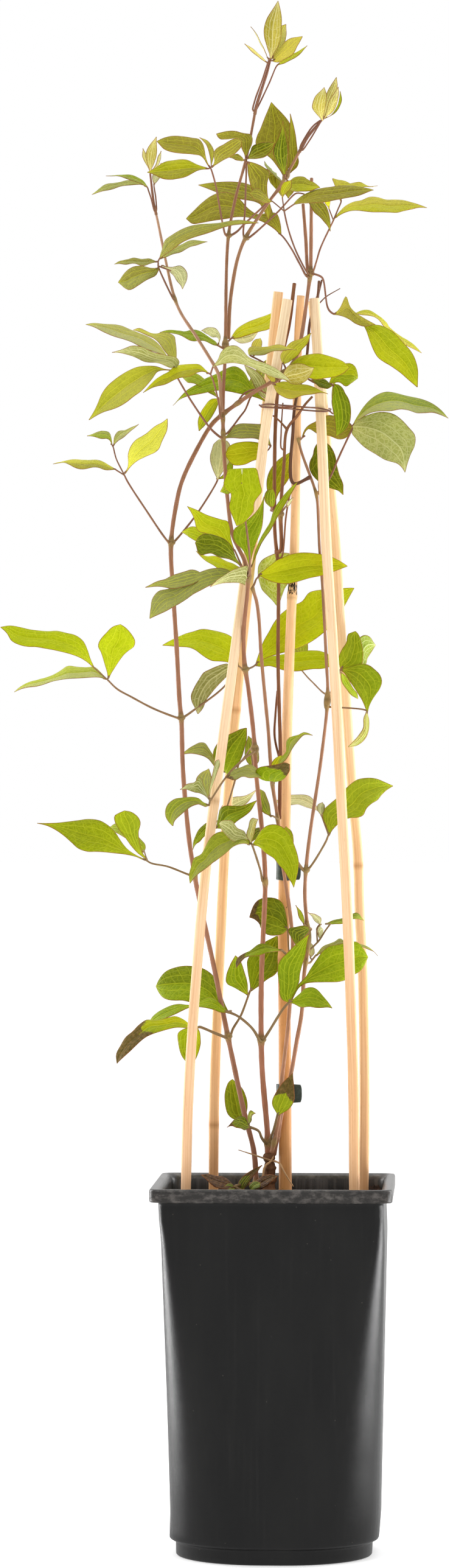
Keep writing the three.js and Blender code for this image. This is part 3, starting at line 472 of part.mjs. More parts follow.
      { d: 0.85, p: [[-13.8,-37.6,616.9],[-12.4,-37.0,618.9]] },
    ],
    collars: [
      { d: 5.21, p: [[-15.5,-31.0,610.1],[-16.0,-30.9,613.1]] },
    ],
    blades: [
      [[[-18.0,-64.6,669.3],[-19.0,-64.6,669.3]],[[-5.4,-67.6,662.6],[-28.0,-68.3,664.0]],[[-20.7,-68.7,641.3],[-21.2,-68.7,641.4]]],
      [[[-22.1,-61.0,674.8],[-22.7,-60.6,675.5]],[[-23.5,-58.3,665.1],[-28.3,-55.5,670.3]],[[-31.7,-51.3,663.1],[-31.9,-51.1,663.5]]],
      [[[-14.4,-37.4,616.5],[-13.4,-37.4,616.2]],[[-22.6,-44.5,631.9],[-10.2,-44.7,630.8]],[[-15.6,-49.3,645.6],[-5.4,-49.5,645.1]],[[-4.9,-52.0,660.1],[-4.4,-52.0,660.2]]],
      [[[-13.4,-37.0,617.2],[-13.1,-37.4,617.1],[-12.9,-37.8,616.9]],[[-7.0,-32.1,636.7],[-5.7,-33.9,636.0],[-4.5,-36.2,635.2]],[[1.7,-25.0,655.4],[3.5,-27.7,654.1],[5.4,-31.1,652.8]],[[15.0,-18.9,671.1],[15.1,-19.1,671.0],[15.2,-19.3,670.9]]],
    ],
  },
  leaf_cross_right: {
    stalks: [
      { d: 0.95, p: [[-12.9,-24.8,604.7],[-11.7,-26.3,606.9],[-10.7,-17.2,610.6],[-9.1,-13.2,612.7],[-9.5,-13.2,613.5],[-7.5,-12.9,613.8]] },
      { d: 0.85, p: [[-9.2,-13.2,612.9],[-10.0,-9.2,612.5],[-9.3,-7.3,612.3]] },
    ],
    blades: [
      [[[-9.5,-13.0,613.9],[-9.5,-13.2,613.5],[-9.5,-13.4,613.0]],[[7.0,-8.2,625.4],[7.9,-10.4,616.6],[8.9,-15.8,607.6]],[[27.2,-6.7,626.5],[27.5,-8.5,619.4],[27.7,-12.8,612.3]],[[46.0,-6.7,619.2],[46.0,-6.8,618.9],[46.0,-6.9,618.7]]],
      [[[-10.1,-9.3,613.0],[-10.0,-9.1,612.0]],[[-5.6,5.4,625.2],[-1.9,9.0,597.6]],[[7.5,20.7,628.4],[6.0,23.3,606.8]],[[17.8,35.0,620.9],[17.7,35.1,620.4]]],
    ],
  },
  leaf_stub: {
    stalks: [
      { d: 1.2, p: [[4.1,-6.6,651.1],[2.1,-5.7,651.1],[-1.6,-8.8,655.6],[-1.2,-9.8,654.7],[-1.4,-11.2,656.2]] },
      { d: 0.95, p: [[-1.2,-8.5,655.1],[-2.2,-1.6,654.1],[-0.5,1.7,654.2],[-0.5,3.0,656.4]] },
      { d: 0.95, p: [[4.1,-6.6,652.2],[7.6,-10.4,656.2],[7.2,-10.5,655.5],[8.4,-11.0,657.0]] },
    ],
    collars: [
      { d: 4.85, p: [[4.1,-6.7,649.8],[4.1,-6.5,653.5]] },
    ],
    blades: [
      [[[-1.7,-9.8,654.8],[-0.7,-9.9,654.7]],[[-5.8,-15.4,661.6],[1.4,-16.0,660.6]],[[-0.3,-19.8,666.9],[0.1,-19.8,666.7]]],
      [[[-1.0,2.3,654.7],[0.0,2.2,654.5]],[[-5.2,8.0,669.0],[3.9,7.3,667.2]],[[-1.7,15.7,683.4],[10.5,14.7,679.0]],[[9.7,24.7,692.7],[10.2,24.7,692.6]]],
      [[[6.9,-10.8,655.7],[7.5,-10.1,655.2]],[[8.7,-12.4,659.3],[10.5,-10.6,658.0]],[[12.1,-13.4,661.9],[12.4,-13.1,661.7]]],
    ],
  },
  leaf_between_stakes: {
    stalks: [
      { d: 0.95, p: [[-31.8,-8.7,702.1],[-30.3,-7.1,701.9],[-26.9,1.2,706.3],[-24.9,4.1,709.2],[-21.7,6.3,713.8],[-18.7,7.4,717.9],[-15.2,7.6,726.2],[-14.5,7.6,726.9],[-14.0,9.0,728.4]] },
      { d: 0.85, p: [[-25.7,2.9,708.0],[-21.9,5.1,706.0],[-19.2,5.2,704.7],[-15.1,3.6,702.9],[-9.8,-1.0,700.0],[-1.9,-1.4,694.5],[-3.1,-1.4,695.7]] },
      { d: 0.85, p: [[-2.2,-1.4,694.7],[-4.2,-1.9,691.8],[-6.1,-2.4,691.6]] },
    ],
    blades: [
      [[[-2.1,-1.6,693.8],[-1.7,-1.1,694.5]],[[-11.2,-5.7,698.6],[-6.9,2.0,708.0]],[[-21.7,-6.0,699.3],[-21.7,0.9,709.0]],[[-32.4,-3.3,698.9],[-32.4,-3.0,699.3]]],
      [[[-4.1,-2.1,691.4],[-4.2,-1.8,692.3]],[[-17.4,-7.9,683.0],[-18.7,-3.2,697.2]],[[-30.6,-9.2,688.2],[-30.7,-9.0,688.7]]],
      [[[-14.9,7.7,727.2],[-14.1,7.5,726.7]],[[-16.4,15.9,736.5],[-7.6,13.8,732.4]],[[-12.1,24.6,745.3],[-4.4,22.7,741.7]],[[-5.7,34.1,752.1],[-5.2,34.0,751.9]]],
    ],
  },
  leaf_right_top: {
    stalks: [
      { d: 0.95, p: [[15.3,-7.0,698.1],[16.4,-6.1,698.4],[17.7,2.0,700.2],[19.1,2.2,701.2]] },
    ],
    blades: [
      [[[17.1,2.2,700.3],[17.9,1.8,699.9]],[[25.3,4.7,710.1],[27.1,1.3,702.4]],[[37.8,7.6,714.2],[39.7,0.9,698.8]],[[48.8,5.4,706.9],[48.8,5.3,706.5]]],
    ],
  },
  leaf_cluster_tie_right: {
    stalks: [
      { d: 0.95, p: [[11.7,-17.1,744.9],[16.9,-16.1,741.2],[20.4,-18.9,736.4],[26.2,-23.0,732.6],[32.1,-27.8,730.4],[36.7,-32.2,730.8],[37.4,-32.2,730.8],[38.2,-33.1,729.2]] },
      { d: 0.85, p: [[34.7,-30.3,730.6],[36.3,-29.6,732.0]] },
      { d: 0.85, p: [[24.3,-21.6,733.9],[23.9,-22.8,734.5],[25.2,-24.2,734.0]] },
    ],
    blades: [
      [[[34.6,-30.0,731.3],[34.9,-30.5,730.5]],[[43.5,-22.0,744.3],[44.5,-29.9,730.6]],[[52.8,-19.4,735.7],[52.6,-19.6,735.3]]],
      [[[37.8,-32.1,731.1],[37.1,-32.2,730.5]],[[47.1,-37.6,722.1],[36.8,-38.8,719.6]],[[48.6,-42.2,707.8],[38.6,-43.3,708.6]],[[39.9,-46.1,697.6],[39.4,-46.1,697.8]]],
      [[[24.0,-22.4,734.9],[23.9,-23.1,734.2]],[[31.2,-26.6,734.7],[30.1,-34.3,728.8]],[[37.2,-36.0,729.9],[37.2,-36.4,729.6]]],
    ],
  },
  leaf_pair_main_lower: {
    stalks: [
      { d: 1.05, p: [[-11.7,-18.9,502.7],[-11.8,-22.3,502.5],[-16.7,-30.1,498.9],[-23.9,-37.2,492.4],[-30.1,-42.3,484.7],[-38.4,-47.5,471.8],[-38.4,-48.5,472.2],[-38.2,-49.6,473.8]] },
      { d: 1.0, p: [[-38.4,-47.5,471.8],[-39.2,-47.5,468.8],[-40.5,-48.9,469.9]] },
      { d: 0.95, p: [[-11.9,-19.1,505.9],[-12.9,-17.3,506.0],[-17.8,-4.4,500.4],[-21.0,2.5,496.6],[-23.3,5.8,494.2],[-27.6,9.0,490.8]] },
      { d: 0.95, p: [[-22.9,5.2,494.6],[-24.8,7.5,485.9],[-31.2,10.2,465.1],[-33.5,10.9,459.7],[-36.9,11.6,454.8],[-37.2,10.6,454.8],[-36.0,9.6,456.0]] },
      { d: 0.85, p: [[-36.9,11.6,454.8],[-38.6,22.6,457.0],[-36.0,33.7,460.4],[-36.4,34.7,460.4],[-35.3,35.8,461.7]] },
      { d: 0.85, p: [[-11.8,-19.1,505.1],[-12.4,-16.8,505.2],[-13.7,-12.4,500.7],[-13.1,-9.3,492.3],[-13.1,-8.3,492.3],[-13.3,-7.5,494.1]] },
      { d: 0.85, p: [[-38.3,-48.6,472.4],[-39.7,-49.7,473.9]] },
      { d: 0.85, p: [[-37.7,-47.0,472.9],[-39.3,-45.5,473.3],[-39.8,-44.1,474.7]] },
      { d: 0.85, p: [[-27.6,9.0,490.8],[-26.9,11.1,491.2],[-28.7,11.5,492.0]] },
      { d: 0.85, p: [[-26.2,8.0,491.9],[-26.0,7.1,490.8],[-27.1,5.9,491.9]] },
      { d: 0.85, p: [[-37.2,10.6,454.8],[-38.4,10.6,454.0],[-39.6,9.1,453.5]] },
    ],
    collars: [
      { d: 5.51, p: [[-11.6,-18.8,501.4],[-11.9,-19.2,507.2]] },
    ],
    blades: [
      [[[-38.6,-48.9,472.3],[-38.1,-48.1,472.2]],[[-38.3,-56.1,481.3],[-36.7,-53.7,480.9]],[[-35.7,-64.3,490.1],[-33.5,-60.6,489.1]],[[-31.8,-71.4,497.5],[-31.6,-71.0,497.3]]],
      [[[-38.8,-48.1,472.2],[-38.7,-48.8,472.9]],[[-47.0,-52.5,477.2],[-43.8,-61.9,486.8]],[[-55.9,-68.1,478.8],[-55.8,-68.4,479.2]]],
      [[[-39.0,-47.7,469.2],[-39.4,-47.3,470.0]],[[-47.2,-59.8,469.5],[-51.9,-56.6,474.2]],[[-54.6,-69.9,464.1],[-64.1,-64.8,469.0]],[[-59.8,-74.5,456.6],[-60.3,-74.3,456.6]]],
      [[[-39.8,-45.5,473.3],[-38.8,-45.5,473.3]],[[-45.1,-38.9,479.6],[-38.4,-38.9,479.6]],[[-46.8,-30.9,487.1],[-38.0,-31.0,485.9]],[[-40.6,-21.5,492.0],[-40.1,-21.5,491.9]]],
      [[[-26.8,10.8,490.9],[-27.0,11.4,491.6]],[[-37.8,11.0,493.1],[-38.4,16.3,499.2]],[[-47.7,14.4,500.5],[-48.0,21.4,508.7]],[[-60.6,23.5,500.7],[-60.6,23.8,501.1]]],
      [[[-26.2,7.2,491.3],[-25.8,7.0,490.4]],[[-38.3,2.4,498.6],[-24.4,0.7,492.7]],[[-32.0,-1.3,511.9],[-18.7,-3.1,504.6]],[[-17.7,-4.5,517.7],[-17.2,-4.6,517.4]]],
      [[[-37.5,10.9,455.1],[-37.0,10.3,454.4]],[[-34.7,9.3,466.7],[-26.4,0.3,456.3]],[[-22.9,3.2,468.7],[-17.5,-2.0,463.2]],[[-11.2,-2.1,472.2],[-10.9,-2.4,471.9]]],
      [[[-38.4,10.2,453.7],[-38.4,11.0,454.3]],[[-45.3,-2.6,448.0],[-47.7,4.5,453.5]],[[-51.3,-6.2,440.6],[-51.5,-5.8,440.9]]],
      [[[-36.6,34.3,460.6],[-36.1,35.0,460.1]],[[-32.9,36.7,470.7],[-27.4,44.9,464.7]],[[-22.9,43.1,474.4],[-19.1,48.6,470.6]],[[-13.1,49.5,479.0],[-12.8,49.9,478.8]]],
      [[[-13.6,-8.4,492.3],[-12.6,-8.3,492.3]],[[-18.6,-4.2,501.7],[-9.9,-3.0,502.9]],[[-16.9,3.5,512.6],[-16.4,3.6,512.7]]],
    ],
  },
  leaf_cluster_middle_stem: {
    stalks: [
      { d: 1.15, p: [[-0.9,-10.8,482.7],[0.1,-14.3,482.8],[-0.3,-23.8,485.1],[0.0,-23.8,484.3],[0.1,-25.6,485.1]] },
      { d: 0.95, p: [[-0.3,-23.8,485.1],[-4.9,-25.0,486.6],[-6.0,-26.6,487.4]] },
      { d: 0.95, p: [[-0.3,-23.8,485.1],[2.6,-21.7,491.9],[3.7,-21.2,493.9]] },
      { d: 0.85, p: [[1.5,-22.5,489.4],[0.7,-20.8,489.2],[0.9,-19.7,490.9]] },
    ],
    blades: [
      [[[-0.5,-23.7,484.3],[0.5,-23.8,484.3]],[[-7.2,-35.2,493.1],[8.1,-37.0,486.6]],[[10.8,-45.3,494.7],[11.1,-45.4,494.3]]],
      [[[-4.9,-25.5,486.7],[-4.9,-24.5,487.2]],[[-12.6,-42.9,486.4],[-12.2,-27.6,493.7]],[[-20.6,-51.0,485.6],[-21.6,-36.9,492.4]],[[-28.8,-51.3,486.1],[-28.8,-50.8,486.3]]],
      [[[2.4,-21.3,492.5],[2.8,-22.1,492.1]],[[8.0,-16.5,502.8],[9.7,-21.1,500.3]],[[12.6,-11.3,512.8],[15.2,-17.9,509.4]],[[24.3,-8.5,513.0],[24.3,-8.9,512.8]]],
      [[[0.2,-20.6,489.3],[1.2,-20.9,489.1]],[[-0.9,-16.2,496.1],[3.9,-17.7,494.4]],[[4.7,-11.5,500.4],[5.2,-11.6,500.2]]],
    ],
  },
  leaf_pair_main_large: {
    stalks: [
      { d: 1.15, p: [[-5.3,-14.0,421.1],[-6.6,-14.6,421.1],[-8.2,-17.1,428.4],[-14.0,-25.4,446.0],[-14.3,-25.4,444.8],[-15.8,-26.7,445.0]] },
      { d: 0.85, p: [[-14.0,-25.4,446.0],[-15.1,-26.4,447.9],[-15.9,-28.2,448.2]] },
      { d: 0.85, p: [[-14.2,-25.6,446.3],[-13.9,-28.0,447.1]] },
      { d: 0.85, p: [[-13.9,-25.2,445.6],[-13.4,-22.7,446.9]] },
      { d: 0.85, p: [[-13.6,-24.9,444.9],[-12.8,-26.3,444.4],[-11.1,-27.4,444.8]] },
    ],
    blades: [
      [[[-14.5,-25.8,444.5],[-14.3,-25.4,444.8],[-14.2,-25.1,445.1]],[[-27.2,-45.8,440.3],[-28.9,-38.3,446.4],[-30.5,-33.2,452.6]],[[-39.2,-55.4,431.5],[-41.7,-50.2,435.2],[-44.2,-46.7,439.0]],[[-50.1,-60.2,421.0],[-50.3,-60.0,421.1],[-50.4,-59.8,421.2]]],
      [[[-15.2,-26.1,447.6],[-14.9,-26.8,448.2]],[[-22.7,-35.1,446.8],[-19.4,-44.3,454.4]],[[-28.7,-49.3,451.0],[-24.8,-59.9,459.8]],[[-31.7,-71.0,457.9],[-31.7,-71.4,458.2]]],
      [[[-14.3,-26.7,446.1],[-13.5,-26.1,445.9]],[[-16.1,-35.5,452.2],[-11.6,-32.5,450.6]],[[-14.1,-44.2,458.8],[-10.2,-41.1,455.6]],[[-8.5,-52.3,460.7],[-8.3,-52.0,460.4]]],
      [[[-14.3,-24.1,446.2],[-13.8,-24.7,445.7]],[[-12.5,-11.6,453.9],[-8.4,-17.4,449.2]],[[-5.0,-1.8,454.3],[-4.8,-2.2,454.0]]],
      [[[-12.8,-26.2,444.9],[-12.7,-26.5,444.0]],[[3.2,-31.3,456.9],[-1.9,-38.6,437.9]],[[15.3,-39.2,439.7],[6.9,-44.5,429.0]],[[13.8,-47.1,418.4],[13.5,-47.3,418.2]]],
    ],
  },
  leaf_pair_right_lower: {
    stalks: [
      { d: 1.15, p: [[20.0,-3.3,429.0],[21.1,-3.4,428.9],[32.8,-13.6,446.7],[34.4,-15.3,450.8],[34.4,-15.3,450.1],[35.1,-14.4,451.7]] },
      { d: 0.95, p: [[34.4,-15.3,450.8],[32.2,-11.9,456.7],[28.8,-4.5,465.6]] },
      { d: 1.4, p: [[19.9,-3.3,428.1],[18.6,-4.0,428.2],[10.0,-14.3,441.3],[10.4,-14.3,440.5],[9.7,-13.9,442.4]] },
      { d: 0.85, p: [[28.8,-4.5,465.6],[28.7,-1.5,464.8],[27.6,-0.1,465.6]] },
      { d: 0.85, p: [[30.2,-7.5,462.0],[29.6,-8.5,462.6],[29.5,-9.2,464.4]] },
    ],
    collars: [
      { d: 4.96, p: [[19.8,-3.2,426.8],[20.2,-3.4,430.3]] },
    ],
    blades: [
      [[[34.0,-15.1,450.3],[34.4,-15.3,450.1],[34.8,-15.5,449.8]],[[35.0,-5.8,470.2],[41.4,-7.1,465.4],[47.7,-11.2,460.7]],[[52.1,4.4,485.5],[56.6,2.8,477.6],[61.1,-2.0,469.8]],[[74.3,13.5,481.5],[74.3,13.5,481.2],[74.4,13.4,481.0]]],
      [[[28.6,-1.1,464.6],[28.8,-1.9,465.1]],[[18.7,15.6,467.7],[21.8,4.3,474.4]],[[8.7,24.9,469.3],[9.9,14.7,475.8]],[[-1.4,28.4,470.7],[-1.4,28.0,471.0]]],
      [[[29.2,-8.6,462.6],[30.1,-8.4,462.5]],[[26.9,-10.5,467.3],[31.9,-9.8,466.7]],[[30.3,-12.5,471.0],[30.7,-12.4,470.9]]],
      [[[9.9,-14.4,440.4],[10.8,-14.2,440.7]],[[3.2,-13.6,447.0],[12.3,-11.9,448.8]],[[7.3,-9.5,455.7],[7.8,-9.4,455.8]]],
    ],
  },
  leaf_cluster_right_low: {
    stalks: [
      { d: 1.05, p: [[20.6,1.1,386.3],[19.0,-1.9,386.1],[21.2,-5.9,389.3],[23.5,-10.2,391.5],[22.2,-13.8,392.5],[22.9,-13.8,392.2],[21.8,-15.4,391.8]] },
      { d: 0.9, p: [[20.5,1.0,378.4],[22.1,2.7,378.3],[25.8,3.5,381.7],[27.8,3.0,383.8],[32.0,-1.6,390.3],[35.3,-6.2,394.7]] },
      { d: 0.8, p: [[35.3,-6.2,394.7],[31.9,-6.4,394.7],[33.2,-4.9,394.9]] },
      { d: 0.85, p: [[26.9,3.2,382.9],[26.7,1.7,387.4],[26.8,-1.1,390.8],[27.4,-3.0,392.6],[29.6,-5.5,394.6],[29.2,-5.5,393.9],[28.6,-7.1,395.0]] },
      { d: 0.9, p: [[20.4,0.8,394.0],[18.8,-3.0,393.8],[18.3,-4.1,395.3]] },
      { d: 0.85, p: [[26.7,1.1,388.1],[27.8,3.3,388.8]] },
    ],
    collars: [
      { d: 5.06, p: [[20.5,1.0,377.1],[20.7,1.2,384.2],[20.4,0.8,394.2],[20.3,0.7,395.3]] },
    ],
    blades: [
      [[[23.2,-14.0,391.8],[22.6,-13.6,392.5]],[[19.5,-27.0,386.5],[10.2,-22.7,392.8]],[[15.0,-33.2,381.6],[14.5,-33.1,381.8]]],
      [[[18.4,-3.2,393.6],[19.2,-2.7,393.9]],[[15.3,-8.7,399.8],[18.0,-7.0,400.9]],[[13.5,-11.3,406.5],[13.9,-11.1,406.7]]],
      [[[31.9,-5.9,394.8],[31.9,-6.9,394.5]],[[40.2,8.0,397.6],[40.1,-1.1,394.4]],[[48.8,20.6,400.2],[47.8,9.8,396.7]],[[55.7,28.9,396.2],[55.6,28.4,396.0]]],
      [[[28.8,-5.2,393.7],[29.5,-5.8,394.1]],[[24.8,-10.8,397.5],[28.0,-14.0,400.1]],[[21.5,-20.7,402.1],[21.7,-21.0,402.4]]],
      [[[27.3,1.2,388.7],[27.6,1.6,387.9]],[[27.0,5.0,393.5],[29.6,8.8,386.1]],[[30.2,11.4,390.9],[30.4,11.7,390.5]]],
    ],
  },
  leaf_right_narrow: {
    stalks: [
      { d: 1.0, p: [[19.7,0.5,370.4],[21.9,3.2,369.9],[23.9,7.3,372.1],[26.1,10.4,375.0],[25.3,10.3,373.9],[27.0,10.3,375.0]] },
      { d: 0.85, p: [[23.8,7.0,371.9],[22.3,7.2,372.8],[22.5,8.5,374.3]] },
    ],
    blades: [
      [[[25.2,10.8,374.0],[25.4,9.9,373.8]],[[37.3,15.1,383.3],[38.3,5.2,380.2]],[[51.6,14.7,382.1],[52.3,8.9,380.2]],[[64.7,15.3,374.2],[64.8,14.8,374.2]]],
      [[[21.9,7.2,372.9],[22.8,7.2,372.8]],[[20.6,11.6,378.1],[24.9,11.9,378.0]],[[21.5,15.2,383.3],[22.0,15.2,383.3]]],
    ],
  },
  leaf_pair_main_base: {
    stalks: [
      { d: 1.4, p: [[-7.8,-7.9,322.8],[-6.5,-10.6,322.7],[6.0,-21.5,341.8],[9.5,-24.4,345.7],[10.3,-24.3,346.1],[10.3,-25.0,348.0]] },
      { d: 1.4, p: [[-7.8,-7.8,321.7],[-8.6,-10.7,321.5],[-12.7,-12.3,328.3],[-15.4,-12.2,331.4],[-23.4,-11.0,337.5],[-29.4,-11.0,339.8],[-30.8,-10.3,339.9]] },
      { d: 1.35, p: [[-8.8,-10.8,321.9],[-12.1,-12.1,327.5],[-14.7,-12.3,330.7],[-22.7,-11.4,337.1],[-29.4,-11.5,339.8]] },
      { d: 1.15, p: [[-29.1,-11.5,339.7],[-27.1,-2.9,339.9],[-28.4,2.0,338.9],[-28.8,2.0,338.5],[-30.1,2.9,339.8]] },
      { d: 0.85, p: [[10.3,-24.6,346.8],[12.3,-23.9,348.4]] },
      { d: 0.85, p: [[10.3,-24.5,346.4],[12.3,-26.5,346.7]] },
    ],
    collars: [
      { d: 6.01, p: [[-7.8,-7.7,320.4],[-7.9,-7.9,324.1]] },
    ],
    blades: [
      [[[9.8,-24.3,346.0],[10.8,-24.4,346.2]],[[3.4,-29.2,360.8],[16.6,-29.5,359.8]],[[8.7,-32.0,377.1],[20.0,-32.3,374.3]],[[22.5,-32.8,389.0],[22.9,-32.8,388.8]]],
      [[[10.9,-24.2,347.3],[11.1,-24.3,346.9],[11.2,-24.5,346.4]],[[23.1,-19.2,367.0],[24.4,-19.8,362.9],[25.7,-22.0,358.8]],[[39.9,-10.4,382.1],[42.8,-12.1,371.2],[45.7,-17.8,360.4]],[[58.9,-5.1,374.3],[58.9,-5.2,374.0],[59.0,-5.3,373.8]]],
      [[[10.7,-24.9,346.5],[10.7,-25.7,345.8]],[[19.2,-25.2,354.4],[19.4,-38.1,343.5]],[[30.0,-31.3,352.4],[28.4,-41.8,343.9]],[[37.3,-40.0,343.5],[37.2,-40.4,343.2]]],
      [[[-29.1,-11.5,339.2],[-29.0,-11.0,339.4],[-29.0,-10.6,339.6]],[[-46.1,-8.7,342.2],[-45.6,-4.5,344.3],[-45.2,-1.1,346.4]],[[-62.9,-1.3,337.4],[-64.1,4.2,340.0],[-65.2,8.6,342.7]],[[-80.1,14.6,330.1],[-80.1,14.8,330.2],[-80.2,15.0,330.3]]],
      [[[-29.0,1.8,338.0],[-28.8,2.0,338.5],[-28.6,2.1,338.9]],[[-45.5,6.4,343.3],[-41.5,10.9,351.4],[-37.4,12.1,359.6]],[[-62.9,15.4,345.4],[-60.8,20.8,356.4],[-58.5,22.2,367.6]],[[-76.5,30.9,353.9],[-76.4,31.0,354.2],[-76.4,31.0,354.4]]],
    ],
  },
  leaf_pair_left_base: {
    stalks: [
      { d: 1.4, p: [[-29.0,-4.4,323.7],[-30.2,-6.6,323.6],[-35.6,-12.2,325.9],[-46.3,-16.8,330.5],[-47.1,-18.0,330.3]] },
      { d: 1.2, p: [[-29.1,-4.4,324.0],[-27.8,-4.0,324.2],[-26.0,-0.9,328.7],[-21.1,2.7,337.1],[-15.3,8.6,352.8],[-15.2,7.6,352.1],[-14.5,7.9,353.9]] },
      { d: 0.85, p: [[-46.6,-17.2,330.4],[-48.6,-15.9,330.4],[-49.5,-14.7,329.1]] },
      { d: 0.85, p: [[-16.7,7.2,349.1],[-17.6,6.1,350.2]] },
    ],
    collars: [
      { d: 5.82, p: [[-28.8,-4.5,322.4],[-29.3,-4.3,325.2]] },
    ],
    blades: [
      [[[-45.4,-17.1,329.8],[-45.5,-16.8,330.1],[-45.7,-16.4,330.4]],[[-64.3,-37.6,330.1],[-65.6,-33.0,333.0],[-66.8,-29.7,336.1]],[[-81.3,-52.1,322.6],[-83.9,-46.7,325.6],[-86.5,-42.8,328.6]],[[-95.4,-58.1,309.6],[-95.6,-58.0,309.6],[-95.7,-57.8,309.7]]],
      [[[-48.2,-15.9,330.3],[-49.1,-15.9,330.6]],[[-45.8,-10.5,321.9],[-60.0,-9.9,326.7]],[[-48.1,-3.1,312.4],[-59.3,-2.6,314.7]],[[-53.3,5.9,304.1],[-53.8,5.9,304.2]]],
      [[[-17.2,7.4,348.9],[-16.3,7.6,349.2]],[[-26.5,-2.4,355.0],[-17.2,-0.6,358.4]],[[-29.5,-10.0,364.6],[-19.3,-8.0,367.4]],[[-24.1,-14.9,374.9],[-23.7,-14.8,375.1]]],
      [[[-15.7,7.6,352.3],[-14.8,7.5,351.8]],[[-17.5,10.1,366.7],[-3.2,8.7,360.3]],[[-11.1,13.7,379.0],[3.5,12.3,372.3]],[[1.1,18.3,386.8],[1.5,18.3,386.6]]],
    ],
  },
  leaf_pair_middle_low: {
    stalks: [
      { d: 0.85, p: [[11.4,-9.3,371.1],[10.6,-9.3,371.1],[9.8,-6.5,373.7],[9.4,-5.6,375.5],[8.5,-4.9,391.2],[8.5,-4.9,391.9],[6.9,-5.3,393.0]] },
      { d: 1.25, p: [[11.5,-9.3,373.3],[10.7,-12.3,373.4],[4.8,-18.6,379.0],[5.2,-19.6,378.6],[3.9,-21.0,378.8]] },
    ],
    collars: [
      { d: 5.03, p: [[11.3,-9.3,369.8],[11.6,-9.3,374.6]] },
    ],
    blades: [
      [[[8.5,-5.0,391.4],[8.6,-4.8,392.4]],[[-4.9,-9.4,388.3],[-0.1,-5.3,411.0]],[[-15.3,-7.5,398.6],[-15.5,-7.4,399.1]]],
      [[[5.3,-20.0,378.4],[5.2,-19.1,378.8]],[[-4.5,-38.2,377.0],[-6.2,-24.1,382.7]],[[-14.5,-44.9,374.9],[-16.7,-37.0,377.6]],[[-22.0,-49.0,368.5],[-22.2,-48.5,368.6]]],
    ],
  },
  leaf_pair_at_crown: {
    stalks: [
      { d: 1.45, p: [[-4.2,-3.6,257.5],[-5.1,-6.5,257.2],[-7.7,-10.1,260.9],[-9.5,-12.2,265.2],[-16.7,-14.5,268.4]] },
      { d: 1.25, p: [[-15.2,-14.0,267.8],[-20.0,-6.8,269.1],[-21.3,-3.9,269.3],[-21.4,0.7,269.6],[-19.9,4.4,269.5],[-20.4,4.6,271.3]] },
      { d: 1.5, p: [[0.0,-7.9,257.8],[-2.1,-6.4,258.7],[0.4,-13.9,267.3],[2.9,-18.7,277.0]] },
      { d: 0.85, p: [[-15.2,-14.0,267.7],[-16.0,-16.1,268.2]] },
      { d: 0.85, p: [[-15.7,-13.3,267.9],[-15.6,-14.4,270.1]] },
      { d: 0.85, p: [[2.6,-18.1,275.9],[3.6,-19.2,277.3]] },
      { d: 0.9, p: [[-4.7,-5.4,257.3],[-2.1,-6.4,258.7]] },
    ],
    blades: [
      [[[-15.2,-14.9,267.3],[-15.1,-14.0,267.9]],[[-21.2,-31.5,268.2],[-21.3,-20.4,275.1]],[[-28.4,-35.2,268.7],[-28.4,-34.8,269.0]]],
      [[[-16.3,-13.2,268.5],[-15.6,-13.8,268.1]],[[-16.1,-14.9,275.5],[-13.6,-18.0,272.9]],[[-11.2,-18.1,276.8],[-11.2,-18.4,276.4]]],
      [[[-20.2,4.3,269.3],[-19.3,4.5,269.6]],[[-31.3,5.3,280.6],[-17.7,7.2,284.3]],[[-27.1,11.0,296.3],[-26.6,11.1,296.3]]],
      [[[2.4,-18.6,275.7],[3.4,-18.7,275.4]],[[1.7,-21.9,290.0],[13.3,-22.8,286.4]],[[11.9,-23.2,302.1],[12.4,-23.3,301.9]]],
    ],
  },
  leaves_on_soil: {
    stalks: [
      { d: 1.8, p: [[-11.7,2.5,231.5],[-23.8,-26.8,231.2],[-20.1,-21.0,228.7],[-18.9,-20.6,228.3],[-14.1,-22.4,227.8],[-10.5,-19.3,227.2],[-7.1,-14.4,225.3],[-5.4,-10.0,220.4]] },
      { d: 0.85, p: [[-23.8,-26.8,231.2],[-25.0,-28.4,231.7]] },
      { d: 0.85, p: [[-22.6,-24.9,230.4],[-23.9,-26.6,230.3]] },
      { d: 0.85, p: [[-18.9,-20.6,228.3],[-19.6,-18.6,228.3],[-18.8,-19.2,230.0]] },
      { d: 0.85, p: [[-14.1,-22.4,227.8],[-14.0,-24.4,228.4],[-13.3,-25.9,229.4]] },
      { d: 0.85, p: [[-11.4,-20.1,227.4],[-10.1,-21.6,229.5]] },
    ],
    blades: [
      [[[-23.8,-27.3,230.9],[-23.7,-26.4,231.4]],[[-30.9,-40.7,230.9],[-29.2,-29.4,236.7]],[[-38.0,-46.9,234.5],[-36.4,-37.2,239.5]],[[-43.7,-47.9,240.1],[-43.7,-47.5,240.3]]],
      [[[-23.2,-25.2,229.6],[-23.1,-24.4,230.2]],[[-27.0,-35.7,229.3],[-26.4,-29.8,233.8]],[[-30.1,-39.3,231.9],[-30.1,-38.9,232.2]]],
      [[[-20.0,-18.4,228.3],[-19.1,-18.9,228.2]],[[-17.8,-20.1,238.4],[-13.1,-22.9,236.5]],[[-7.1,-22.0,244.6],[-6.7,-22.2,244.4]]],
      [[[-14.3,-24.0,228.5],[-13.7,-24.7,228.2]],[[-13.4,-27.3,234.0],[-9.3,-32.6,230.6]],[[-7.7,-33.9,234.5],[-7.4,-34.3,234.3]]],
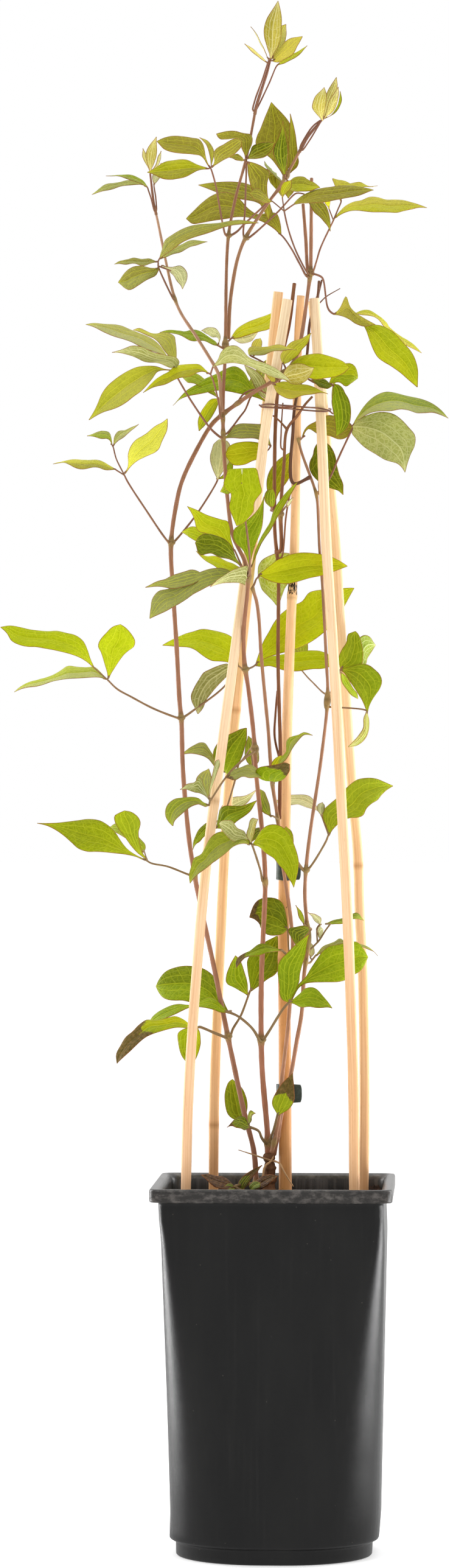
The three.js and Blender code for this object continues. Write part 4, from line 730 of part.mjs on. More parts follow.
      [[[-11.4,-19.9,228.6],[-10.8,-20.6,228.2]],[[-7.5,-24.5,237.3],[-3.1,-31.7,232.5]],[[2.9,-33.5,238.7],[3.1,-33.9,238.4]]],
    ],
  },
  leaf_right_upper: {
    stalks: [
      { d: 0.85, p: [[26.1,-6.6,665.0],[28.0,-5.6,665.6],[27.9,-2.4,669.3],[28.0,-0.8,672.9],[30.2,1.5,692.0],[30.1,2.5,698.9],[30.1,2.4,696.9]] },
    ],
    blades: [
      [[[30.6,2.6,698.9],[29.6,2.5,698.9]],[[38.1,2.5,689.1],[22.3,0.7,685.2]],[[40.9,3.1,676.6],[28.8,1.8,671.6]],[[43.3,5.1,664.3],[42.8,5.1,664.2]]],
    ],
  },
  leaf_middle_stem: {
    stalks: [
      { d: 0.95, p: [[2.3,-10.7,460.7],[2.4,-14.2,460.7],[-1.2,-19.8,462.6],[-1.2,-19.8,461.9],[-2.1,-18.7,463.3]] },
    ],
    blades: [
      [[[-1.6,-20.1,461.6],[-0.9,-19.6,462.1]],[[-9.3,-14.9,468.8],[-3.2,-11.6,471.3]],[[-8.9,-4.3,478.9],[-8.5,-4.0,479.0]]],
    ],
  },
};

// ---- helpers ---------------------------------------------------------------------------------------------
const wasm = await Module();
wasm.setup();
const V = (p) => new THREE.Vector3(p[0], p[1], p[2]);

// A closed three.js geometry as a solid for cutting and joining, and back.
function solid(geometry) {
  const g = (geometry.index ? geometry.toNonIndexed() : geometry.clone());
  g.deleteAttribute("normal");
  g.deleteAttribute("uv");
  const m = mergeVertices(g, 1e-4);
  let s = new wasm.Manifold(
    new wasm.Mesh({ numProp: 3, vertProperties: new Float32Array(m.attributes.position.array), triVerts: new Uint32Array(m.index.array) }),
  );
  if (s.volume() < 0) {
    const t = new Uint32Array(m.index.array);
    for (let i = 0; i < t.length; i += 3) [t[i + 1], t[i + 2]] = [t[i + 2], t[i + 1]];
    s = new wasm.Manifold(new wasm.Mesh({ numProp: 3, vertProperties: new Float32Array(m.attributes.position.array), triVerts: t }));
  }
  return s;
}
function geometryOf(s) {
  const m = s.getMesh();
  const position = new Float32Array(m.numVert * 3);
  for (let i = 0; i < m.numVert; i++)
    for (let k = 0; k < 3; k++) position[3 * i + k] = m.vertProperties[m.numProp * i + k];
  const g = new THREE.BufferGeometry();
  g.setAttribute("position", new THREE.BufferAttribute(position, 3));
  g.setIndex(Array.from(m.triVerts));
  const flat = g.toNonIndexed();
  flat.computeVertexNormals();
  return flat;
}
const union = (list) => list.reduce((a, b) => a.add(b));

// A round bar along a smooth route, its diameter changing evenly from d0 to d1.
function bar(points, d0, d1, sides, pitch, grow = 0) {
  const curve = new THREE.CatmullRomCurve3(points.map(V), false, "centripetal");
  return rod(curve.getSpacedPoints(Math.max(2, Math.round(curve.getLength() / pitch))), d0, d1, sides, grow);
}

// A rod through a list of points: a segmented cylinder whose rings of vertices are moved onto the points,
// each ring square to the mean of the two stretches that meet there.
function rod(points, d0, d1, sides, grow = 0) {
  const P = points.map((p) => (p.isVector3 ? p : V(p)));
  const n = P.length - 1;
  const g = new THREE.CylinderGeometry(1, 1, 1, sides, n);
  const T = P.map((_, i) => {
    const a = P[Math.min(i + 1, n)].clone().sub(P[Math.min(i, n - 1)]).normalize();
    const b = P[Math.max(i, 1)].clone().sub(P[Math.max(i - 1, 0)]).normalize();
    return a.add(b).normalize();
  });
  const along = [0];
  for (let i = 1; i <= n; i++) along.push(along[i - 1] + P[i].distanceTo(P[i - 1]));
  let side = new THREE.Vector3(Math.abs(T[0].x) < 0.7 ? 1 : 0, Math.abs(T[0].x) < 0.7 ? 0 : 1, 0);
  const frames = T.map((t) => {
    side = side.clone().addScaledVector(t, -side.dot(t)).normalize();
    return [side, new THREE.Vector3().crossVectors(t, side)];
  });
  const pos = g.attributes.position;
  for (let k = 0; k < pos.count; k++) {
    const i = Math.round((0.5 - pos.getY(k)) * n);
    const r = (d0 + ((d1 - d0) * along[i]) / along[n]) / 2 + grow;
    const reach = i === 0 ? -grow : i === n ? grow : 0;
    const q = P[i].clone().addScaledVector(T[i], reach).addScaledVector(frames[i][0], pos.getX(k) * r).addScaledVector(frames[i][1], pos.getZ(k) * r);
    pos.setXYZ(k, q.x, q.y, q.z);
  }
  return solid(g);
}

// A thin blade: a segmented box whose rows of vertices are moved onto the rows of the table, half a
// thickness to each side of the surface through them, and grown all round by grow.
function blade(rows, grow) {
  const thickness = LEAF_THICKNESS + 2 * grow;
  const n = rows.length - 1, m = rows[0].length - 1;
  const g = new THREE.BoxGeometry(1, 1, 1, m, n, 1);
  const P = rows.map((r) => r.map(V));
  const N = P.map((r, i) => r.map((_, j) => {
    const du = P[i][Math.min(j + 1, m)].clone().sub(P[i][Math.max(j - 1, 0)]);
    const dv = P[Math.min(i + 1, n)][j].clone().sub(P[Math.max(i - 1, 0)][j]);
    return du.cross(dv).normalize();
  }));
  const pos = g.attributes.position;
  for (let k = 0; k < pos.count; k++) {
    const j = Math.round((pos.getX(k) + 0.5) * m), i = Math.round((pos.getY(k) + 0.5) * n);
    const q = P[i][j].clone().addScaledVector(N[i][j], pos.getZ(k) > 0 ? thickness / 2 : -thickness / 2);
    if (grow > 0) {
      const across = P[i][m].clone().sub(P[i][0]).normalize(), up = P[n][j].clone().sub(P[0][j]).normalize();
      q.addScaledVector(across, j === 0 ? -grow : j === m ? grow : 0).addScaledVector(up, i === 0 ? -grow : i === n ? grow : 0);
    }
    pos.setXYZ(k, q.x, q.y, q.z);
  }
  return solid(g);
}

// A body turned from a profile of (half width, height) points, then squared: at each height its section is
// a square of that half width with rounded corners. CORNER gives the corner radius at some heights.
const CORNER = [[0, 54], [12, 54], [60, 47], [105, 37], [155, 22], [188, 12], [212, 6], [233, 6.5]];
const ROWS = [12, 60, 105, 155, 188, 212]; // heights of the sections of the tapered body
const cornerAt = (z) => {
  for (let i = 1; i < CORNER.length; i++)
    if (z <= CORNER[i][0]) {
      const [a, ra] = CORNER[i - 1], [b, rb] = CORNER[i];
      return ra + ((rb - ra) * (z - a)) / (b - a);
    }
  return CORNER[CORNER.length - 1][1];
};
const PER_SIDE = 8; // a quarter of the section: half a flat, six steps round the corner, half a flat
function squared(profile, heightNoise = () => 0) {
  const segments = 4 * PER_SIDE;
  const g = new THREE.LatheGeometry(profile.map((p) => new THREE.Vector2(p[0], p[1])), segments);
  const pos = g.attributes.position;
  for (let i = 0; i < pos.count; i++) {
    const x = pos.getX(i), y = pos.getZ(i), z = pos.getY(i);
    const h = Math.hypot(x, y);
    if (h < 1e-6) { pos.setXYZ(i, 0, 0, z + heightNoise(0, 0)); continue; }
    let k = Math.round((Math.atan2(y, x) / (2 * Math.PI)) * segments);
    k = ((k % segments) + segments) % segments;
    const quarter = Math.floor(k / PER_SIDE), j = k % PER_SIDE;
    const c = Math.min(cornerAt(z), h * 0.9);
    let px, py;
    if (j === 0) { px = h; py = 0; }
    else {
      const a = ((j - 1) / (PER_SIDE - 2)) * (Math.PI / 2);
      px = h - c + c * Math.cos(a);
      py = h - c + c * Math.sin(a);
    }
    const t = (quarter * Math.PI) / 2;
    const X = px * Math.cos(t) - py * Math.sin(t), Y = px * Math.sin(t) + py * Math.cos(t);
    pos.setXYZ(i, X, Y, z + heightNoise(X, Y));
  }
  return solid(g);
}

// Slivers left along the joins and cuts are merged away, within a tolerance well inside the clearance.
const largest = (s) => s.decompose().sort((a, b) => b.volume() - a.volume())[0];
const tidy = (s, tolerance = TIDY) => largest(largest(s).asOriginal().simplify(tolerance));

// ---- the pot and its soil --------------------------------------------------------------------------------
const halfAt = (z) => BODY_BOTTOM_WIDTH / 2 + ((BODY_TOP_WIDTH - BODY_BOTTOM_WIDTH) / 2) * ((z - 12) / (POT_HEIGHT - RIM_DEPTH - 12));
const RIM_Z = POT_HEIGHT - RIM_DEPTH;
const potShell = squared([
  [0, 0], [FOOT_WIDTH / 2, 0], [FOOT_WIDTH / 2, FOOT_HEIGHT], ...ROWS.map((z) => [halfAt(z), z]), [halfAt(RIM_Z), RIM_Z],
  [RIM_WIDTH / 2, RIM_Z], [RIM_WIDTH / 2, POT_HEIGHT - 1.4], [RIM_WIDTH / 2 - 1.4, POT_HEIGHT],
  [RIM_WIDTH / 2 - 4.2, POT_HEIGHT], [halfAt(RIM_Z) - WALL, POT_HEIGHT - 2.4],
  ...ROWS.map((z) => [halfAt(z) - WALL, z]).reverse(), [FOOT_WIDTH / 2 - WALL, FLOOR], [0, FLOOR],
]);
const drains = [[1, 1], [1, -1], [-1, 1], [-1, -1]].map(([x, y]) => {
  const g = new THREE.CylinderGeometry(DRAIN_HOLE / 2, DRAIN_HOLE / 2, FLOOR + 4, 12);
  g.rotateX(Math.PI / 2);
  g.translate(x * DRAIN_OFFSET, y * DRAIN_OFFSET, FLOOR / 2);
  return solid(g);
});
const pot = tidy(potShell.subtract(union(drains)));

const inside = (z) => halfAt(z) - WALL - FIT;
const lump = (x, y) => 1.1 * Math.sin(x * 0.19 + 1.3) * Math.cos(y * 0.23 - 0.4) + 0.7 * Math.sin(x * 0.47 - y * 0.31);
const soilBody = squared(
  [
    [0, FLOOR + FIT], [FOOT_WIDTH / 2 - WALL - 1.6, FLOOR + FIT], [FOOT_WIDTH / 2 - WALL - FIT, 12], ...ROWS.slice(1).map((z) => [inside(z), z]), [inside(SOIL_LEVEL) - 0.3, SOIL_LEVEL],
    [40, SOIL_LEVEL + 1.2], [0, SOIL_LEVEL + 2.4],
  ],
  (x, y) => 0,
);
const soilLumps = [[62, 56, 5.5, 6], [44, 58, 6, 5], [-56, -40, 6, 3.6], [-10, -34, 8, 4], [28, -20, 7, 3.8]].map(([x, y, r, h]) => {
  const g = new THREE.SphereGeometry(1, 7, 4);
  g.rotateX(Math.PI / 2);
  g.scale(r, r * 0.8, h);
  g.translate(x, y, SOIL_LEVEL + 0.6);
  return solid(g);
});
const soilTop = soilBody.add(union(soilLumps));

// ---- the list of pieces ----------------------------------------------------------------------------------
// make(grow) gives the solid, grown by some clearance all over when it is used to cut a neighbour.
const pieces = [];
const add = (name, colour, roughness, make) => pieces.push({ name, colour, roughness, make });

for (const [name, s] of Object.entries(STAKES)) {
  const cane = name === "centre_cane";
  add(name, cane ? 0xcf9a5c : 0xe6b98a, 0.6, (grow) => bar(s.p, s.d0, s.d1, 10, 95, grow));
}

// Bands on the cane: a ring, and a flat tab on its right.
const cane = new THREE.CatmullRomCurve3(STAKES.centre_cane.p.map(V), false, "centripetal");
const caneLength = cane.getLength();
function band(z, width, reach, grow) {
  let u = 0;
  for (let k = 0; k <= 400; k++) if (cane.getPointAt(k / 400).z > z) u = k / 400;
  const centre = cane.getPointAt(u), tangent = cane.getTangentAt(u).negate();
  const r = (STAKES.centre_cane.d0 + (STAKES.centre_cane.d1 - STAKES.centre_cane.d0) * u) / 2 + 2 * FIT - grow;
  const ring = new THREE.LatheGeometry(
    [[r, -width / 2 - grow], [r + BAND_THICKNESS + 2 * grow, -width / 2 - grow], [r + BAND_THICKNESS + 2 * grow, width / 2 + grow], [r, width / 2 + grow], [r, -width / 2 - grow]].map((p) => new THREE.Vector2(p[0], p[1])),
    16,
  );
  const tab = new THREE.BoxGeometry(reach - r - 0.5, width + 2 * grow, BAND_THICKNESS + 2 * grow);
  tab.translate((reach + r + 0.5) / 2, 0, 0);
  const turn = new THREE.Quaternion().setFromUnitVectors(new THREE.Vector3(0, 1, 0), tangent);
  for (const g of [ring, tab]) { g.applyQuaternion(turn); g.translate(centre.x, centre.y, centre.z); }
  return solid(ring).add(solid(tab));
}
add("cane_band_upper", 0x2e3a33, 0.5, (grow) => band(427.6, 11.4, 10.4, grow));
add("cane_band_lower", 0x2e3a33, 0.5, (grow) => band(288.6, 11.8, 10.6, grow));
add("tie_wire", 0x7a4a38, 0.55, (grow) => bar(TIE, TIE_WIRE, TIE_WIRE, 5, 6, grow));

add("root_crown", 0x5a4230, 0.9, (grow) => union(CROWN.map((s) => rod(s.p, s.d0, s.d1, s.d0 > 3 ? 8 : 5, grow))));
const STEM_COLOUR = { stem_old_wood: 0x4a3026 };
for (const [name, list] of Object.entries(STEMS))
  add(name, STEM_COLOUR[name] ?? 0x87573f, 0.65, (grow) => union(list.map((s) => rod(s.p, s.d0, s.d1, 6, grow))));

const GREENS = [0x86a82e, 0x7c9c2c, 0x9ab23a, 0x6f9230];
Object.entries(LEAVES).forEach(([name, leaf], i) =>
  add(name, GREENS[i % GREENS.length], 0.6, (grow) =>
    union([
      ...leaf.stalks.map((s) => rod(s.p, s.d, s.d, 4, grow)),
      ...(leaf.collars ?? []).map((s) => rod(s.p, s.d, s.d, 8, grow)),
      ...leaf.blades.map((rows) => blade(rows, grow)),
    ]),
  ),
);

// Each piece is cut back, by the clearance, from the pieces before it that it would touch. What such a cut
// parts from the rest of the piece is dropped.
const boxesMeet = (a, b) => [0, 1, 2].every((k) => a.min[k] <= b.max[k] && b.min[k] <= a.max[k]);
const done = [];
for (const piece of pieces) {
  let s = piece.make(0);
  for (const other of done) {
    if (!boxesMeet(s.boundingBox(), other.box)) continue;
    other.cutter ??= other.make(FIT);
    if (!boxesMeet(s.boundingBox(), other.cutter.boundingBox())) continue;
    s = s.subtract(other.cutter);
  }
  for (let t = TIDY; ; t /= 2) {
    piece.solid = tidy(s, t);
    const box = piece.solid.boundingBox();
    if (t < 0.01 || !done.some((o) => boxesMeet(box, o.solid.boundingBox()) && piece.solid.intersect(o.solid).volume() > 0.001)) break;
  }
  done.push({ name: piece.name, make: piece.make, solid: piece.solid, box: s.boundingBox() });
}

// The soil is cut back from everything that stands or lies in it.
let soil = soilTop;
for (const other of done) {
  if (other.box.min[2] > SOIL_LEVEL + 8) continue;
  soil = soil.subtract((other.cutter ??= other.make(FIT)));
}
soil = tidy(soil);

// ---- the assembly ----------------------------------------------------------------------------------------
const plant = new THREE.Group();
plant.name = "clematis_on_stakes";
function place(name, s, colour, roughness) {
  const mesh = new THREE.Mesh(geometryOf(s), new THREE.MeshStandardMaterial({ color: colour, roughness, metalness: 0 }));
  mesh.name = name;
  plant.add(mesh);
}
place("pot", pot, 0x2a2a2b, 0.55);
place("soil", soil, 0x2b1f18, 0.95);
for (const p of pieces) place(p.name, p.solid, p.colour, p.roughness);

export default plant;
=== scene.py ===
"""A young clematis on four bamboo stakes and a cane, in its grower's pot: the looks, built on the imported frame."""
import math

import bmesh
import bpy
import numpy as np
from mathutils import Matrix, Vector


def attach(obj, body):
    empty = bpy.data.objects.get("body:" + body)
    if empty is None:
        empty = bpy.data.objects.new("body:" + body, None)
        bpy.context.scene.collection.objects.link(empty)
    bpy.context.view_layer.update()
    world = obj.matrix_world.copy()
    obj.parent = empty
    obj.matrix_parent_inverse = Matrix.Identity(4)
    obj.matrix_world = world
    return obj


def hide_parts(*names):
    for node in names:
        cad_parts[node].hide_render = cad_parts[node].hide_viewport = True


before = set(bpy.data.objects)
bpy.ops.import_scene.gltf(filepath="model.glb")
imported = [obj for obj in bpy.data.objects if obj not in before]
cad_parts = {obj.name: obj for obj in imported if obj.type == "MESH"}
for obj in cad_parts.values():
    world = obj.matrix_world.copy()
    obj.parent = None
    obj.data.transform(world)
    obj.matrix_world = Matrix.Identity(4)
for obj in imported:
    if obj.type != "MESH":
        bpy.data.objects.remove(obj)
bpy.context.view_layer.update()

MM = 0.001

# Leaf nodes. Each has its blades and its stalks.
# A blade: [face shown to the front (T top, B under side), colour of the left half, of the right half (leaf colour with
# painted light and shade in it: glow through the blade, sheen, and the light and shade on either side of a fold), brown
# share, quilting, left edge, midrib, right edge].
# A stalk: [first diameter, last diameter, route]. Everything is in tenths of a millimetre.
LEAVES = {
 "shoot_tip_main": [[
  ["B","Y","S",0,0,[-27,-39,9378,-32,-52,9406,-42,-64,9435,-51,-74,9465,-60,-82,9495,-64,-87,9526,-63,-88,9559,-56,-85,9591,-45,-78,9622,-29,-68,9651,-12,-56,9680,5,-42,9709,21,-27,9738],[-22,-39,9377,-18,-53,9404,-14,-67,9430,-11,-78,9458,-10,-87,9487,-9,-92,9518,-7,-93,9550,-4,-90,9582,2,-83,9614,9,-72,9645,15,-59,9676,20,-43,9707,24,-27,9738],[-17,-38,9376,-4,-49,9402,13,-59,9427,29,-68,9453,40,-74,9482,46,-78,9512,48,-79,9544,48,-76,9576,49,-70,9608,47,-62,9641,42,-52,9673,34,-39,9706,26,-26,9737]],
  ["T","S","V",0,0,[-19,3,9385,-9,4,9403,-3,7,9423,3,10,9443,7,12,9464,10,15,9485,13,19,9506,16,23,9528,17,28,9549,20,33,9570,32,38,9588,51,42,9596,69,46,9603],[-16,2,9382,-3,4,9398,9,6,9413,20,9,9430,28,11,9449,34,14,9469,38,18,9490,42,22,9511,45,27,9532,48,32,9554,53,37,9573,62,41,9588,71,45,9602],[-12,1,9379,2,1,9393,21,0,9403,37,0,9415,50,1,9432,58,3,9452,64,6,9472,69,9,9493,73,14,9514,76,19,9536,75,27,9558,73,36,9580,73,45,9601]],
  ["T","S","S",0,0,[-13,-16,9368,-4,-15,9385,5,-15,9405,16,-18,9423,29,-21,9440,43,-25,9457,58,-28,9472,75,-33,9485,93,-39,9497,112,-45,9505,134,-53,9508,156,-62,9509,177,-69,9511],[-11,-18,9364,3,-23,9369,19,-28,9379,35,-34,9392,51,-39,9405,68,-44,9418,84,-49,9432,101,-53,9447,116,-56,9462,131,-60,9476,147,-64,9488,162,-67,9498,178,-70,9509],[-10,-21,9360,10,-36,9352,32,-51,9351,53,-62,9358,74,-71,9368,93,-79,9378,111,-85,9391,127,-88,9407,139,-88,9426,149,-86,9446,159,-82,9466,169,-76,9488,179,-71,9507]],
  ["T","Y","Y",0,0,[14,7,9343,27,21,9356,40,38,9372,55,50,9385,72,60,9395,88,69,9405,105,78,9416,121,88,9426,138,97,9436,154,106,9446,170,115,9457,187,123,9468,202,133,9480],[15,3,9340,31,12,9350,47,20,9359,63,29,9369,80,37,9379,97,47,9390,113,57,9401,129,68,9412,145,80,9424,161,92,9436,175,105,9450,189,118,9465,203,131,9479],[16,-1,9338,34,0,9343,54,-2,9346,72,2,9353,89,10,9363,106,20,9374,122,31,9385,138,44,9398,153,58,9411,167,74,9426,179,92,9443,191,112,9461,203,129,9478]],
  ["B","G","S",0,0,[-40,-15,9372,-45,-10,9392,-53,1,9411,-63,12,9430,-73,23,9448,-84,32,9467,-93,38,9485,-102,43,9503,-110,49,9522,-119,52,9540,-128,53,9558,-138,53,9574,-152,58,9589],[-38,-19,9372,-45,-10,9392,-52,-2,9411,-61,6,9430,-70,14,9449,-80,21,9467,-89,28,9485,-98,34,9504,-107,39,9522,-116,44,9541,-126,48,9558,-138,52,9574,-152,56,9590],[-36,-24,9372,-44,-11,9392,-51,-4,9411,-59,1,9430,-67,6,9449,-76,12,9467,-86,19,9486,-95,25,9504,-104,31,9523,-113,37,9541,-125,44,9559,-138,51,9575,-151,53,9590]],
  ["T","V","V",0,0,[-43,-43,9344,-54,-51,9353,-68,-62,9360,-81,-72,9367,-93,-80,9375,-105,-88,9384,-118,-94,9393,-130,-100,9403,-141,-103,9413,-152,-106,9424,-163,-107,9436,-174,-106,9448,-184,-108,9459],[-41,-39,9346,-53,-47,9355,-65,-55,9364,-77,-62,9374,-88,-69,9383,-100,-75,9393,-112,-81,9403,-124,-86,9412,-136,-91,9422,-148,-95,9432,-160,-99,9442,-172,-102,9451,-184,-106,9461],[-39,-36,9349,-51,-45,9358,-62,-49,9369,-72,-55,9380,-83,-60,9391,-95,-66,9401,-106,-71,9411,-118,-76,9421,-130,-81,9431,-143,-87,9439,-156,-93,9447,-170,-99,9454,-183,-104,9462]],
 ], [
  [9,8,0,[-120,5,9052,-136,6,9055,-123,-3,9118,-75,-33,9242,-29,-39,9373,-22,-39,9377,-20,-45,9396]],
  [9,8,0,[-120,5,9056,-118,27,9057,-35,20,9226,15,3,9336,31,11,9350]],
  [8,7,0,[-26,-19,9372,-16,2,9382,-7,3,9400]],
  [8,7,0,[-27,-19,9368,-11,-18,9364,4,-24,9375]],
  [8,7,0,[-27,-19,9369,-46,-12,9389]],
  [8,7,0,[-39,-38,9346,-55,-48,9358]],
  [17,12,0,[-124,6,9032,-115,4,9079,-43,-18,9301,-26,-19,9372]],
 ], [
 ]],
 "shoot_tip_branch": [[
  ["B","S","S",0,0,[298,-25,8987,288,-42,9001,273,-58,9015,259,-72,9029,246,-84,9044,238,-93,9063,241,-98,9084,247,-99,9104,255,-97,9124,267,-92,9142,283,-84,9158,299,-75,9173,312,-64,9189],[303,-25,8987,298,-43,9002,292,-60,9016,287,-76,9030,283,-89,9046,281,-98,9063,284,-103,9082,288,-104,9101,293,-102,9120,299,-96,9138,305,-87,9155,310,-76,9172,315,-64,9189],[308,-24,8988,307,-41,9003,311,-56,9018,316,-69,9033,320,-80,9049,323,-88,9065,327,-93,9082,329,-95,9099,331,-93,9117,331,-88,9135,328,-82,9153,322,-73,9171,317,-64,9188]],
  ["B","S","S",0,0,[301,4,9000,303,14,9024,301,23,9048,300,30,9073,303,37,9098,309,43,9121,317,46,9144,326,48,9167,336,48,9188,348,47,9209,361,45,9229,374,42,9248,387,39,9267],[306,6,8999,310,15,9022,315,23,9045,320,31,9069,327,38,9092,335,44,9115,343,47,9137,352,49,9160,362,49,9181,371,48,9203,379,45,9225,384,43,9246,389,39,9266],[310,7,8998,317,18,9021,329,29,9043,340,39,9065,350,48,9087,360,54,9110,369,58,9132,378,60,9154,387,60,9176,394,57,9198,396,53,9221,393,46,9244,391,40,9266]],
  ["B","S","S",0,0,[310,-26,9005,319,-40,9018,325,-56,9034,330,-69,9049,335,-79,9065,339,-86,9082,344,-89,9099,351,-87,9116,361,-81,9132,372,-72,9147,382,-60,9163,392,-46,9180,400,-31,9197],[314,-24,9003,325,-39,9015,336,-52,9027,346,-64,9040,355,-73,9055,362,-79,9071,368,-82,9088,375,-80,9106,382,-75,9123,389,-67,9141,394,-56,9159,398,-44,9178,402,-30,9196],[318,-22,9000,330,-34,9012,347,-44,9021,362,-52,9031,375,-59,9045,384,-63,9061,392,-65,9079,398,-64,9097,402,-61,9116,405,-56,9136,406,-48,9156,404,-40,9176,404,-29,9196]],
  ["T","G","G",0,0,[309,-2,9002,329,1,9010,345,6,9018,359,12,9029,370,18,9043,380,25,9059,388,32,9075,396,39,9092,401,48,9110,404,56,9128,407,64,9146,409,72,9165,409,81,9184],[313,-4,9001,330,1,9010,346,6,9018,362,11,9028,375,17,9041,386,23,9056,396,30,9072,404,38,9089,410,46,9107,413,54,9126,414,63,9146,413,71,9164,411,80,9183],[318,-6,9001,331,0,9010,348,5,9018,365,9,9027,380,14,9038,393,19,9052,404,26,9068,412,33,9086,419,41,9105,423,49,9124,422,59,9144,417,69,9164,413,79,9183]],
 ], [
  [9,8,0,[167,18,8814,160,19,8818,218,10,8926,252,-7,8963,287,-25,8987]],
  [9,8,0,[166,18,8813,176,0,8804,215,-20,8854,291,-35,8975]],
  [8,7,0,[299,-25,8991,299,-36,9003]],
  [8,7,0,[299,-25,8991,306,6,8999,311,12,9017]],
  [8,7,0,[299,-31,8997,314,-24,9003,323,-33,9018]],
  [8,7,0,[304,-1,8997,328,2,9014]],
  [18,12,0,[156,21,8796,210,4,8889,299,-25,8991]],
 ], [
 ]],
 "shoot_tip_left": [[
  ["B","S","S",0,0,[-785,-32,8676,-786,-48,8692,-793,-64,8708,-799,-78,8726,-804,-89,8744,-805,-97,8763,-803,-101,8782,-797,-101,8801,-788,-98,8819,-777,-92,8836,-765,-82,8853,-752,-72,8869,-742,-60,8886],[-780,-31,8675,-778,-48,8690,-776,-64,8706,-775,-79,8722,-774,-90,8739,-772,-98,8757,-769,-102,8776,-765,-102,8794,-761,-99,8813,-756,-92,8831,-750,-83,8849,-745,-72,8867,-740,-60,8885],[-775,-31,8674,-769,-46,8689,-760,-59,8704,-752,-71,8720,-745,-80,8736,-739,-87,8753,-736,-91,8771,-734,-92,8789,-734,-90,8808,-735,-85,8827,-736,-78,8846,-738,-69,8866,-737,-59,8885]],
  ["B","S","S",0,0,[-785,-20,8671,-787,-27,8683,-793,-33,8694,-799,-37,8705,-806,-40,8716,-812,-41,8727,-819,-40,8739,-825,-37,8751,-830,-32,8764,-831,-26,8778,-830,-20,8792,-828,-12,8806,-830,-3,8819],[-780,-21,8672,-785,-28,8683,-790,-34,8695,-795,-39,8706,-800,-43,8718,-803,-45,8730,-807,-45,8742,-811,-43,8754,-814,-38,8767,-818,-32,8781,-821,-23,8794,-824,-14,8807,-827,-3,8820],[-776,-23,8674,-784,-28,8684,-787,-34,8695,-791,-39,8707,-794,-43,8719,-795,-45,8732,-795,-45,8745,-796,-43,8758,-799,-39,8771,-805,-32,8784,-812,-24,8796,-820,-14,8808,-825,-4,8820]],
  ["B","S","P",0,0,[-780,-14,8676,-771,-1,8684,-764,9,8695,-757,19,8707,-751,27,8718,-747,34,8730,-744,39,8742,-742,41,8755,-739,42,8767,-735,43,8778,-728,43,8789,-721,43,8799,-717,40,8810],[-777,-11,8673,-769,1,8683,-760,12,8693,-752,22,8702,-745,31,8714,-739,39,8726,-735,44,8738,-732,47,8750,-729,48,8763,-726,48,8775,-722,47,8787,-719,44,8798,-715,41,8809],[-774,-8,8671,-767,3,8682,-756,16,8690,-746,28,8699,-738,38,8710,-732,46,8721,-727,52,8734,-723,56,8747,-719,58,8759,-717,56,8772,-716,52,8784,-716,47,8797,-713,43,8808]],
  ["T","K","G",0,0,[-792,-97,8563,-810,-132,8570,-829,-167,8576,-849,-190,8583,-869,-206,8590,-890,-219,8597,-911,-229,8605,-932,-235,8611,-954,-241,8616,-977,-247,8618,-999,-252,8618,-1022,-258,8619,-1044,-265,8619],[-792,-92,8565,-807,-109,8579,-824,-126,8592,-843,-143,8602,-864,-159,8609,-886,-175,8615,-907,-191,8620,-930,-205,8624,-952,-218,8625,-975,-230,8625,-998,-242,8623,-1021,-253,8621,-1044,-263,8620],[-791,-87,8567,-804,-89,8587,-818,-90,8607,-837,-101,8619,-859,-118,8627,-881,-137,8633,-904,-157,8636,-927,-178,8636,-951,-198,8634,-974,-216,8631,-997,-232,8627,-1021,-248,8623,-1044,-261,8621]],
  ["T","K","K",0,0,[-795,-97,8571,-824,-92,8581,-853,-95,8584,-883,-99,8582,-912,-100,8577,-942,-95,8572,-972,-84,8568,-1001,-72,8563,-1031,-61,8557,-1061,-44,8551,-1091,-16,8546,-1122,18,8541,-1153,50,8536],[-795,-92,8573,-825,-85,8584,-854,-77,8593,-885,-68,8596,-916,-58,8597,-947,-48,8594,-978,-36,8590,-1009,-24,8585,-1040,-9,8580,-1070,6,8573,-1098,21,8562,-1126,36,8549,-1153,52,8537],[-796,-88,8575,-825,-78,8587,-855,-60,8601,-887,-40,8611,-920,-21,8616,-952,-6,8615,-984,6,8611,-1016,19,8606,-1048,35,8602,-1078,48,8594,-1105,53,8578,-1129,52,8557,-1154,55,8538]],
  ["B","P","P",0,0,[-765,28,8595,-764,40,8607,-769,50,8621,-772,60,8635,-774,70,8649,-772,81,8663,-767,91,8676,-760,102,8689,-753,112,8701,-745,122,8712,-737,132,8723,-729,142,8734,-723,151,8746],[-760,29,8594,-758,40,8605,-756,51,8618,-754,62,8630,-751,72,8643,-747,83,8656,-742,93,8669,-738,104,8682,-735,114,8695,-731,123,8708,-728,133,8720,-724,142,8733,-721,151,8745],[-755,31,8592,-752,43,8604,-743,57,8615,-736,70,8626,-729,83,8638,-723,94,8650,-718,104,8663,-717,114,8676,-717,122,8690,-717,130,8704,-719,137,8718,-720,144,8731,-718,152,8744]],
 ], [
  [9,8,0,[-747,-27,8420,-751,-30,8419,-774,-61,8503,-792,-92,8561,-792,-92,8565,-805,-105,8573]],
  [8,7,0,[-747,-27,8423,-742,-20,8424,-747,0,8510,-760,29,8594,-757,43,8608]],
  [8,7,0,[-781,-11,8658,-780,-31,8675,-778,-42,8692]],
  [8,7,0,[-780,-24,8669,-787,-27,8690]],
  [8,7,0,[-781,-19,8664,-777,-11,8673,-768,1,8687]],
  [8,7,0,[-795,-96,8567,-814,-87,8576]],
  [15,10,0,[-742,-29,8400,-758,-22,8471,-781,-11,8658]],
 ], [
 ]],
 "leaf_left_branch": [[
